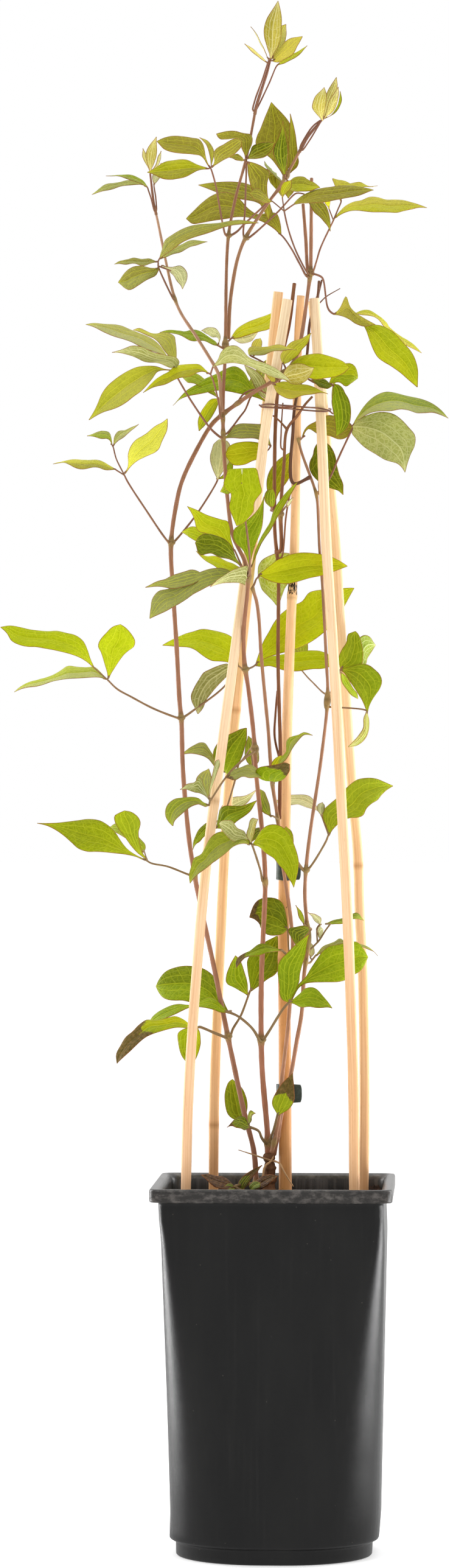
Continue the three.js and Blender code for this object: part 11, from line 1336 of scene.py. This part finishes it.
seed = 1
for name, (blades, stalks, collars) in LEAVES.items():
    piece = Piece(name + "_leaves" if not name.startswith("leaves") else name + "_dead")
    for leaf in blades:
        seed += 1
        blade(piece, leaf, seed)
    for i, (d0, d1, on_stem, flat) in enumerate(stalks):
        seed += 1
        pts = route(flat)
        P, s = smooth(pts, 1.3 if len(pts) > 2 else 0.8)
        r = (d0 + (d1 - d0) * s / s[-1]) / 20 * 1.2
        if on_stem:
            r = r * (1 + 0.5 * np.exp(-s / 2.2))
        r = r * (1 + 0.04 * np.sin(s * 0.5 + seed))
        V, F, S, A, idx = sweep(P, r, 10, section=lambda a, k: 1 + 0.07 * np.cos(4 * a + 1), ends=(1, 1))
        z = P[idx, 2]
        col = stalk_tone(z, seed)
        k = (0.5 * np.exp(-S / 2.5) * (1 if on_stem else 0.4))[:, None]
        col = col * (1 - k) + KNOT_TONE * k
        piece.add(V, F, col, np.stack([A * r[idx], S, np.full(len(S), seed * 1.7)], 1), mat=2)
    for d, flat in collars:
        seed += 1
        P, s = smooth(route(flat), 0.5)
        t = s / s[-1]
        home = min(((*nearest(P[len(P) // 2], r[0])[:2], k) for k, r in stem_routes.items()), key=lambda q: q[0])
        rs = stem_routes[home[2]]
        core = np.interp(home[1], rs[1], (rs[2] + (rs[3] - rs[2]) * rs[1] / rs[1][-1])) / 2
        r = core * 1.02 + (d / 20 - core) * 0.85 * np.sin(math.pi * np.clip(t * 0.94 + 0.03, 0, 1)) ** 0.8
        V, F, S, A, idx = sweep(P, r, 16, section=lambda a, k: 1 + 0.07 * np.cos(2 * a + 0.6) + 0.03 * np.cos(5 * a), ends=(0.4, 0.4))
        z = P[idx, 2]
        col = stalk_tone(z, seed) * 0.45 + KNOT_TONE * 0.55
        ring = np.exp(-(((S / s[-1] - 0.55) / 0.12) ** 2))[:, None]
        col = col * (1 - 0.35 * ring)
        piece.add(V, F, col, np.stack([A * r[idx], S, np.full(len(S), seed * 1.7)], 1), mat=2)
    piece.build([LEAF_TOP, LEAF_BACK, STALK], [name])

# ---- the stakes and the cane --------------------------------------------------------------------------------------
# split bamboo is straw coloured, a little paler towards the top: the tone at the soil and the tone at the top
STAKE_TONES = {
    "pole_front_left": ((250, 204, 160), (255, 232, 198)),
    "pole_front_right": ((250, 200, 152), (255, 230, 195)),
    "pole_back_left": ((246, 194, 142), (255, 218, 172)),
    "pole_back_right": ((248, 196, 145), (255, 226, 186)),
}
# heights of the nodes of the split bamboo
STAKE_MARKS = {"pole_front_left": [471], "pole_back_left": [529, 266], "pole_front_right": [], "pole_back_right": [431]}


def stake(name):
    d0, d1, flat = STAKES[name]
    P, s = smooth(route(flat), 3.0)
    r = (d0 + (d1 - d0) * s / s[-1]) / 20
    z = P[:, 2]
    mark = np.zeros(len(P))
    for h in STAKE_MARKS[name]:
        mark = np.maximum(mark, np.exp(-(((z - h) / 1.6) ** 2)))
        r = r * (1 + 0.05 * np.exp(-(((z - h) / 5) ** 2)))
    r = r * (1 + 0.012 * np.sin(s * 0.05 + 1) + 0.01 * np.sin(s * 0.13))
    ph = len(name) * 0.7

    def section(a, k):
        c, q = np.abs(np.cos(a)), np.abs(np.sin(a))
        box = (c**3.2 + q**3.2) ** (-1 / 3.2)
        return box * 0.955 + 0.012 * np.cos(7 * a + ph) + 0.008 * np.cos(13 * a + ph * 2)

    V, F, S, A, idx = sweep(P, r, 36, section=section, ends=(0, 0))
    piece = Piece(name + "_bamboo")
    n = len(V)
    cut = np.zeros(n)
    table = STAKE_TONES[name]
    height = lambda zz: between(table, zz, 225, 790)
    col = height(P[idx, 2])
    # darker towards the soil, from 236 mm down to 220 mm, a little more in blue than in red
    darker_near_soil = step(236, 220, P[idx, 2]) * 0.25
    col = col * (1 - darker_near_soil[:, None] * np.array([0.4, 0.5, 0.6]))
    pa = np.stack([A * 3.2, S, np.full(n, ph * 9)], 1)
    pb = np.stack([mark[idx] * 0.7, cut, cut], 1)
    sides = F[0]
    piece.add(V, [sides], col, pa, pb)
    # the sawn ends are discs of their own points, so that their edges stay sharp
    T, U, W = frames(P)
    for e, i in ((-1, 0), (1, len(P) - 1)):
        th = np.arange(36) / 36 * 2 * math.pi
        k = section(th[None, :], 0)[0]
        rings = [1.0, 0.93, 0.6, 0.25]
        out = []
        for q in rings:
            lift = 0.0 if q == 1.0 else 0.12
            out.append(P[i] + (U[i] * (r[i] * k * np.cos(th) * q)[:, None] + W[i] * (r[i] * k * np.sin(th) * q)[:, None]) + T[i] * e * lift)
        VV = np.vstack(out + [(P[i] + T[i] * e * 0.12)[None]])
        a = np.arange(36)
        quads = np.vstack([np.stack([a + 36 * j, (a + 1) % 36 + 36 * j, (a + 1) % 36 + 36 * (j + 1), a + 36 * (j + 1)], -1) for j in range(3)])
        tris = np.stack([a + 108, (a + 1) % 36 + 108, np.full(36, 144)], -1)
        if e < 0:
            quads, tris = quads[:, ::-1], tris[:, ::-1]
        c = np.broadcast_to(height(P[i, 2]) * np.array([0.9, 0.8, 0.7]), (145, 3))
        piece.add(VV, [quads, tris], c, np.broadcast_to([0, 0, ph], (145, 3)), np.broadcast_to([0, 1.0, 0], (145, 3)))
    piece.build([BAMBOO], [name])


for name in STAKE_TONES:
    stake(name)


def cane():
    d0, d1, flat = STAKES["centre_cane"]
    P, s = smooth(route(flat), 2.0)
    r = (d0 + (d1 - d0) * s / s[-1]) / 20
    z = P[:, 2]
    mark, dark_bands = np.zeros(len(P)), np.zeros(len(P))
    for h, w in ((600, 1.0), (372, 0.8), (700, 0.7)):
        mark = np.maximum(mark, w * np.exp(-(((z - h) / 0.7) ** 2)))
        mark = np.maximum(mark, 0.5 * w * np.exp(-(((z - h - 2.6) / 0.6) ** 2)))
        r = r * (1 + 0.11 * w * np.exp(-(((z - h - 0.6) / 2.2) ** 2)) - 0.03 * np.exp(-(((z - h - 8) / 5) ** 2)))
    # dark bands at 606 mm and 405 mm, and darker towards the soil below 240 mm
    dark_bands = 0.62 * np.exp(-(((z - 606) / 7) ** 2)) + 0.3 * step(240, 224, z) + 0.35 * np.exp(-(((z - 405) / 5) ** 2))
    V, F, S, A, idx = sweep(P, r, 24, section=lambda a, k: 1 + 0.015 * np.cos(3 * a + k * 0.01), ends=(0, 0))
    n = len(V)
    piece = Piece("centre_cane_skin")
    col = between(((216, 156, 97), (248, 202, 152)), P[idx, 2], 380, 500)
    piece.add(V, F, col, np.stack([A * 4, S, np.zeros(n)], 1), np.stack([mark[idx] * 0.8, dark_bands[idx], np.zeros(n)], 1))
    piece.build([CANE], ["centre_cane"])
    return P, r


cane_route, cane_radius = cane()


def band(name, z, width, reach):
    """A soft plastic strap round the cane, its two ends held together in a flat tab on the right."""
    i = int(np.argmin(abs(cane_route[:, 2] - z)))
    c = cane_route[i]
    T, U, W = frames(cane_route)
    t = T[i] if T[i][2] > 0 else -T[i]
    ex = unit(np.array([1.0, 0, 0]) - t * t[0])
    ey = np.cross(t, ex)
    r = cane_radius[i] + 0.35
    th = np.linspace(0, 2 * math.pi, 49)[:-1]
    profile = []
    for k in np.linspace(0, 2 * math.pi, 17)[:-1]:
        profile.append((0.6 + 0.6 * np.sign(np.cos(k)) * abs(np.cos(k)) ** 0.4, width / 2 * np.sign(np.sin(k)) * abs(np.sin(k)) ** 0.3))
    rows = []
    for a in th:
        bulge = 1 + 0.05 * math.sin(3 * a + z)
        for dr, dz in profile:
            rr = r + dr * bulge + 0.25 * abs(dz / width * 2) ** 3
            rows.append(c + ex * rr * math.cos(a) + ey * rr * math.sin(a) + t * (dz + 0.25 * math.sin(2 * a + 1)))
    V = np.array(rows)
    m, k = len(th), len(profile)
    g = np.arange(m * k).reshape(m, k)
    g2 = np.vstack([g, g[:1]])
    g2 = np.hstack([g2, g2[:, :1]])
    quads = np.stack([g2[:-1, :-1], g2[1:, :-1], g2[1:, 1:], g2[:-1, 1:]], -1).reshape(-1, 4)
    piece = Piece(name + "_strap")
    piece.add(V, [quads], lin(52, 64, 56))
    # the tab: two layers pressed together, with rounded corners
    nx, nz = 14, 12
    xs, zs = np.linspace(0, 1, nx), np.linspace(-1, 1, nz)
    start = r + 0.2
    f, b = [], []
    for a in xs:
        for q in zs:
            end = reach - 0.9 * abs(q) ** 4
            X = start + (end - start) * a
            Z = q * width / 2 * (1 - 0.06 * a)
            lay = 0.55 * (1 - 0.7 * max(a, abs(q)) ** 6) + 0.05 * math.sin(q * 9 + z) * a
            base = c + ex * X + t * Z
            f.append(base - ey * (lay + 0.02))
            b.append(base + ey * lay)
    g = np.arange(nx * nz).reshape(nx, nz)
    q = np.stack([g[:-1, :-1], g[1:, :-1], g[1:, 1:], g[:-1, 1:]], -1).reshape(-1, 4)
    loop = np.concatenate([g[:, 0], g[-1, 1:], g[-2::-1, -1], g[0, -2:0:-1]])
    nxt = np.roll(loop, -1)
    k = nx * nz
    piece.add(np.vstack([f, b]), [q, q[:, ::-1] + k, np.stack([nxt, loop, loop + k, nxt + k], -1)], lin(52, 64, 56))
    piece.build([BAND], [name])


band("cane_band_upper", 427.6, 11.4, 10.4)
band("cane_band_lower", 288.6, 11.8, 10.6)

# ---- the wire tie -----------------------------------------------------------------------------------------------------
P, s = smooth(route(TIE), 0.8)
V, F, S, A, idx = sweep(P, np.full(len(P), 0.45), 12, section=lambda a, k: 1 + 0.12 * np.cos(2 * a), ends=(1, 1), twist=len(P) * 0.02)
piece = Piece("tie_wire_coating")
piece.add(V, F, lin(122, 74, 56), np.stack([A * 0.5, S, np.zeros(len(S))], 1))
piece.build([WIRE], ["tie_wire"])

# ---- the crown ----------------------------------------------------------------------------------------------------------
piece = Piece("root_crown_wood")
for i, (d0, d1, flat) in enumerate(CROWN):
    P, s = smooth(route(flat), 0.8)
    r = (d0 + (d1 - d0) * s / s[-1]) / 20
    big = d0 > 30
    r = r * (1 + (0.14 if big else 0.08) * np.sin(s * 0.9 + i * 2.1) + 0.06 * np.sin(s * 2.3 + i))
    V, F, S, A, idx = sweep(P, r, 18 if big else 10, section=lambda a, k: 1 + 0.1 * np.cos(3 * a + k * 0.11) + 0.06 * np.cos(7 * a - k * 0.2), ends=(1, 1))
    col = lin(116, 80, 56) if big else lin(196, 156, 116)
    piece.add(V, F, col, np.stack([A * r[idx], S, np.full(len(S), i * 5.0)], 1))
piece.build([OLD], ["root_crown"])

# ---- the pot ---------------------------------------------------------------------------------------------------------------
HEIGHT, RIM_Z, WALL, FLOOR = 233.0, 224.6, 1.9, 3.4
CORNER = [(0, 54), (12, 54), (60, 47), (105, 37), (155, 22), (188, 12), (212, 6), (233, 6.5)]
corner = lambda z: float(np.interp(z, [c[0] for c in CORNER], [c[1] for c in CORNER]))
half = lambda z: 65.7 + 3.9 * (z - 12) / (RIM_Z - 12)
# the thin body sits a little to one side under its stiff rim
lean = lambda z: 1.1 * step(222, 196, z) * step(4, 30, z)


def squared(h, c, steps=14, flats=6):
    """A square of half width h with corners of radius c, as a closed ring of points."""
    pts = []
    for q in range(4):
        t = q * math.pi / 2
        ring = []
        f = h - c
        for j in range(flats):
            ring.append((h, f * (j / flats)))
        for j in range(steps + 1):
            a = j / steps * math.pi / 2
            ring.append((h - c + c * math.cos(a), h - c + c * math.sin(a)))
        for j in range(1, flats):
            ring.append((f * (1 - j / flats), h))
        for x, y in ring:
            pts.append((x * math.cos(t) - y * math.sin(t), x * math.sin(t) + y * math.cos(t)))
    return np.array(pts)


def pot():
    rows = []  # (half width, height, corner, inside, rim)
    add = lambda h, z, c=None, ins=0, rim=0: rows.append((h, z, corner(z) if c is None else c, ins, rim))
    for h in (8, 24, 40, 52, 59):
        add(h, 0, c=min(54, h * 0.88))
    add(60.9, 0.15); add(61.5, 0.8); add(61.6, 4); add(61.7, 8.0); add(62.0, 9.0); add(64.2, 10.2); add(65.3, 11.0)
    for z in np.concatenate([[12], np.linspace(16, 222, 44)]):
        add(half(z), z)
    add(half(224.0), 224.0)
    # the rim: a band that hangs outside the wall, with rounded edges, and a lip inside
    add(72.6, 224.6, c=6.6, rim=1); add(74.3, 224.7, c=6.8, rim=1); add(74.9, 225.1, c=7, rim=1); add(75, 226, c=7, rim=1)
    add(75, 229, c=7, rim=1); add(75, 231.4, c=7, rim=1); add(74.8, 232.4, c=6.9, rim=1); add(74.2, 232.9, c=6.6, rim=1)
    add(73.2, 233, c=6.2, rim=1); add(71.4, 232.9, c=5.4, rim=1); add(70.2, 232.4, c=5.2, rim=1); add(69.0, 231.2, c=5.0, rim=1)
    for z in np.linspace(229.0, 14, 30):
        add(half(z) - WALL, z, ins=1)
    add(60.6, 9.0, ins=1); add(59.6, 5.0, ins=1); add(58.6, 3.6, c=53, ins=1)
    for h in (50, 38, 24, 8):
        add(h, 3.4, c=h * 0.88, ins=1)
    rings = np.array([np.hstack([squared(h, c) + [lean(z), 0], np.full((len(squared(h, c)), 1), z)]) for h, z, c, _, _ in rows])
    m, k = rings.shape[:2]
    V = rings.reshape(-1, 3)
    V = np.vstack([V, [[0, 0, 0], [0, 0, 3.4]]])
    i = np.arange(m - 1)[:, None] * k
    j = np.arange(k)[None, :]
    a, b = i + j, i + (j + 1) % k
    quads = np.stack([a, b, b + k, a + k], -1).reshape(-1, 4)
    jj = np.arange(k)
    t0 = np.stack([(jj + 1) % k, jj, np.full(k, m * k)], -1)
    t1 = np.stack([(m - 1) * k + jj, (m - 1) * k + (jj + 1) % k, np.full(k, m * k + 1)], -1)
    ins = np.concatenate([np.repeat([r[3] for r in rows], k), [0, 1]])
    rim = np.concatenate([np.repeat([r[4] for r in rows], k), [0, 0]])
    piece = Piece("pot_shell")
    piece.add(V, [quads, t0, t1], lin(38, 38, 38), np.stack([ins, rim, 0 * rim], 1))
    obj = piece.build([POT], ["pot"])
    # four drain holes through the floor
    cutter = bpy.data.meshes.new("drain_cutter")
    bm = bmesh.new()
    for x in (-36, 36):
        for y in (-36, 36):
            ring = []
            for z in (-3, 7):
                ring.append([bm.verts.new(((x + 5.5 * math.cos(q)) * MM, (y + 5.5 * math.sin(q)) * MM, z * MM)) for q in np.linspace(0, 2 * math.pi, 29)[:-1]])
            n = len(ring[0])
            for e in range(n):
                bm.faces.new((ring[0][e], ring[0][(e + 1) % n], ring[1][(e + 1) % n], ring[1][e]))
            bm.faces.new(ring[0][::-1])
            bm.faces.new(ring[1])
    bm.to_mesh(cutter)
    bm.free()
    tool = bpy.data.objects.new("drain_cutter", cutter)
    bpy.context.scene.collection.objects.link(tool)
    mod = obj.modifiers.new("drains", "BOOLEAN")
    mod.operation, mod.object, mod.solver = "DIFFERENCE", tool, "EXACT"
    bpy.context.view_layer.update()
    dg = bpy.context.evaluated_depsgraph_get()
    result = bpy.data.meshes.new_from_object(obj.evaluated_get(dg))
    obj.modifiers.clear()
    obj.data = result
    bpy.data.objects.remove(tool)
    return obj


pot()

# ---- the soil -----------------------------------------------------------------------------------------------------------------


def soil():
    rng = np.random.default_rng(11)
    bumps = [(rng.uniform(-66, 66), rng.uniform(-66, 66), rng.uniform(1.5, 4.5), rng.uniform(0.4, 1.7)) for _ in range(420)]
    bx = np.array(bumps)

    def height(x, y):
        h = 219.6 + 1.0 * np.sin(x * 0.09 + 1) * np.cos(y * 0.11) + 1.2 * (1 - (x**2 + y**2) / 9000)
        d2 = (x[..., None] - bx[:, 0]) ** 2 + (y[..., None] - bx[:, 1]) ** 2
        h = h + (bx[:, 3] * np.exp(-d2 / bx[:, 2] ** 2)).sum(-1) * 0.8
        return np.minimum(h, 223.4)

    rows = []
    for h, z in ((20, 4.2), (54, 4.2), (58.5, 9), (62, 14)):
        rows.append((h, z, min(53, h * 0.88)))
    for z in np.linspace(30, 216, 10):
        rows.append((half(z) - WALL - 0.5, z, corner(z)))
    rings = [np.hstack([squared(h, c, 8, 6) + [lean(z), 0], np.full((len(squared(h, c, 8, 6)), 1), z)]) for h, z, c in rows]
    top = half(219) - WALL - 0.5
    for f in np.linspace(1.0, 0.02, 44):
        xy = squared(top * f, corner(219) * f, 8, 6)
        z = height(xy[:, 0], xy[:, 1]) - (2.5 if f == 1.0 else 0)
        rings.append(np.hstack([xy, z[:, None]]))
    R = np.array(rings)
    m, k = R.shape[:2]
    V = np.vstack([R.reshape(-1, 3), [[0, 0, 4.2], [0, 0, float(height(np.array([0.0]), np.array([0.0]))[0])]]])
    i = np.arange(m - 1)[:, None] * k
    j = np.arange(k)[None, :]
    a, b = i + j, i + (j + 1) % k
    quads = np.stack([a, b, b + k, a + k], -1).reshape(-1, 4)
    jj = np.arange(k)
    t0 = np.stack([(jj + 1) % k, jj, np.full(k, m * k)], -1)
    t1 = np.stack([(m - 1) * k + jj, (m - 1) * k + (jj + 1) % k, np.full(k, m * k + 1)], -1)
    piece = Piece("soil_mix")
    piece.add(V, [quads, t0, t1], lin(50, 36, 28))
    # crumbs: lumps of uneven shape, and the larger ones against the stakes
    lumps = [(62, 56, 5.5, 6), (44, 58, 6, 5), (-56, -40, 6, 3.6), (-10, -34, 8, 4), (28, -20, 7, 3.8), (66, 50, 3.5, 5), (52, 60, 4, 5.5)]
    for _ in range(150):
        lumps.append((rng.uniform(-65, 65), rng.uniform(-65, 65), rng.uniform(0.8, 2.6), rng.uniform(0.8, 2.2)))
    for x, y, r, h in lumps:
        nu, nv = (12, 7) if r > 3 else (7, 5)
        V, ph = [], rng.uniform(0, 6.28, 3)
        base = float(height(np.array([x]), np.array([y]))[0]) - h * 0.25
        for q in np.linspace(-1.0, 1.5707, nv):
            for w in np.arange(nu) / nu * 2 * math.pi:
                k1 = 1 + 0.22 * math.sin(3 * w + ph[0]) * math.cos(q) + 0.18 * math.sin(2 * q * 3 + w * 2 + ph[1]) + 0.1 * math.sin(5 * w + ph[2])
                V.append((x + r * k1 * math.cos(q) * math.cos(w), y + r * 0.85 * k1 * math.cos(q) * math.sin(w), base + h * k1 * math.sin(q)))
        g = np.arange(nu * nv).reshape(nv, nu)
        g2 = np.hstack([g, g[:, :1]])
        q = np.stack([g2[:-1, :-1], g2[:-1, 1:], g2[1:, 1:], g2[1:, :-1]], -1).reshape(-1, 4)
        V.append((x, y, base - h * 0.9))
        bottom = np.stack([g2[0, 1:], g2[0, :-1], np.full(nu, nu * nv)], -1)
        piece.add(np.array(V), [q, bottom], lin(50, 36, 28))
    piece.build([SOIL], ["soil"])


soil()

# ---- floor, light and background ----------------------------------------------------------------------------------------------
bm = bmesh.new()
n = 64
verts = [bm.verts.new((30 * math.cos(a), 30 * math.sin(a), 0)) for a in np.linspace(0, 2 * math.pi, n + 1)[:-1]]
bm.faces.new(verts)
mesh = bpy.data.meshes.new("floor")
bm.to_mesh(mesh)
bm.free()
floor = bpy.data.objects.new("floor", mesh)
bpy.context.scene.collection.objects.link(floor)
mesh.materials.append(floor_material("floor_white"))


def area(name, where, at, size, size_y, power, colour=(1, 1, 1)):
    light = bpy.data.lights.new(name, "AREA")
    light.shape = "RECTANGLE"
    light.size, light.size_y = size, size_y
    light.energy = power
    light.color = colour
    obj = bpy.data.objects.new(name, light)
    bpy.context.scene.collection.objects.link(obj)
    obj.location = where
    obj.rotation_euler = (Vector(at) - Vector(where)).to_track_quat("-Z", "Y").to_euler()
    return obj


area("key", (-1.3, -1.9, 2.2), (0, 0, 0.55), 1.2, 1.2, 21)
area("fill", (1.6, -2.0, 1.2), (0, 0, 0.5), 1.4, 1.4, 8)
area("side_left", (-1.45, 0.85, 0.72), (0, 0, 0.5), 0.6, 1.3, 15)
area("side_right", (1.45, 0.85, 0.72), (0, 0, 0.5), 0.6, 1.3, 15)
area("above", (0, 0.2, 2.6), (0, 0, 0.5), 1.6, 1.6, 11)
# the brightly lit floor beside the pot, outside the frame: it draws the sharp bright edges of the pot's sides
for side, along, back in (("left", (-0.94, 0.34), (0.34, 0.94)), ("right", (0.9985, -0.05), (0.05, 0.9985))):
    corner_x = -0.065 if side == "left" else 0.065
    near_glow, far_glow = (2.0, 12.5) if side == "left" else (7.5, 22.0)
    for part, near, far, deep, radiance in (("a", 0.34, 0.48, 0.30, 0.9), ("b", 0.48, 0.62, 0.32, near_glow), ("c", 0.62, 1.15, 0.35, far_glow)):
        mid = (near + far) / 2
        x = corner_x + along[0] * mid + back[0] * deep / 2
        y = -0.065 + along[1] * mid + back[1] * deep / 2
        glow = area("floor_" + side + "_" + part, (x, y, 0.004), (x, y, 1.0), far - near, deep, radiance * math.pi * (far - near) * deep)
        glow.rotation_euler = (math.pi, 0, math.atan2(along[1], along[0]))
        glow.visible_camera = False

world = bpy.data.worlds.new("studio")
bpy.context.scene.world = world
world.use_nodes = True
tree = world.node_tree
tree.nodes.clear()
out = tree.nodes.new("ShaderNodeOutputWorld")
coord = tree.nodes.new("ShaderNodeTexCoord")
sep = tree.nodes.new("ShaderNodeSeparateXYZ")
tree.links.new(coord.outputs["Generated"], sep.inputs[0])
ramp = tree.nodes.new("ShaderNodeMapRange")
ramp.interpolation_type = "SMOOTHSTEP"
ramp.inputs[1].default_value = -0.35
ramp.inputs[2].default_value = 0.35
ramp.inputs[3].default_value = 0.4
ramp.inputs[4].default_value = 1.0
tree.links.new(sep.outputs[1], ramp.inputs[0])
up = tree.nodes.new("ShaderNodeMapRange")
up.inputs[1].default_value = 0.2
up.inputs[2].default_value = 0.9
up.inputs[3].default_value = 0.0
up.inputs[4].default_value = 0.45
tree.links.new(sep.outputs[2], up.inputs[0])
add = tree.nodes.new("ShaderNodeMath")
tree.links.new(ramp.outputs[0], add.inputs[0])
tree.links.new(up.outputs[0], add.inputs[1])
path = tree.nodes.new("ShaderNodeLightPath")
lit = tree.nodes.new("ShaderNodeBackground")
shown = tree.nodes.new("ShaderNodeBackground")
shown.inputs[0].default_value = (1, 1, 1, 1)
shown.inputs[1].default_value = 1.0
tree.links.new(add.outputs[0], lit.inputs[1])
pick = tree.nodes.new("ShaderNodeMixShader")
tree.links.new(path.outputs["Is Camera Ray"], pick.inputs[0])
tree.links.new(lit.outputs[0], pick.inputs[1])
tree.links.new(shown.outputs[0], pick.inputs[2])
tree.links.new(pick.outputs[0], out.inputs[0])
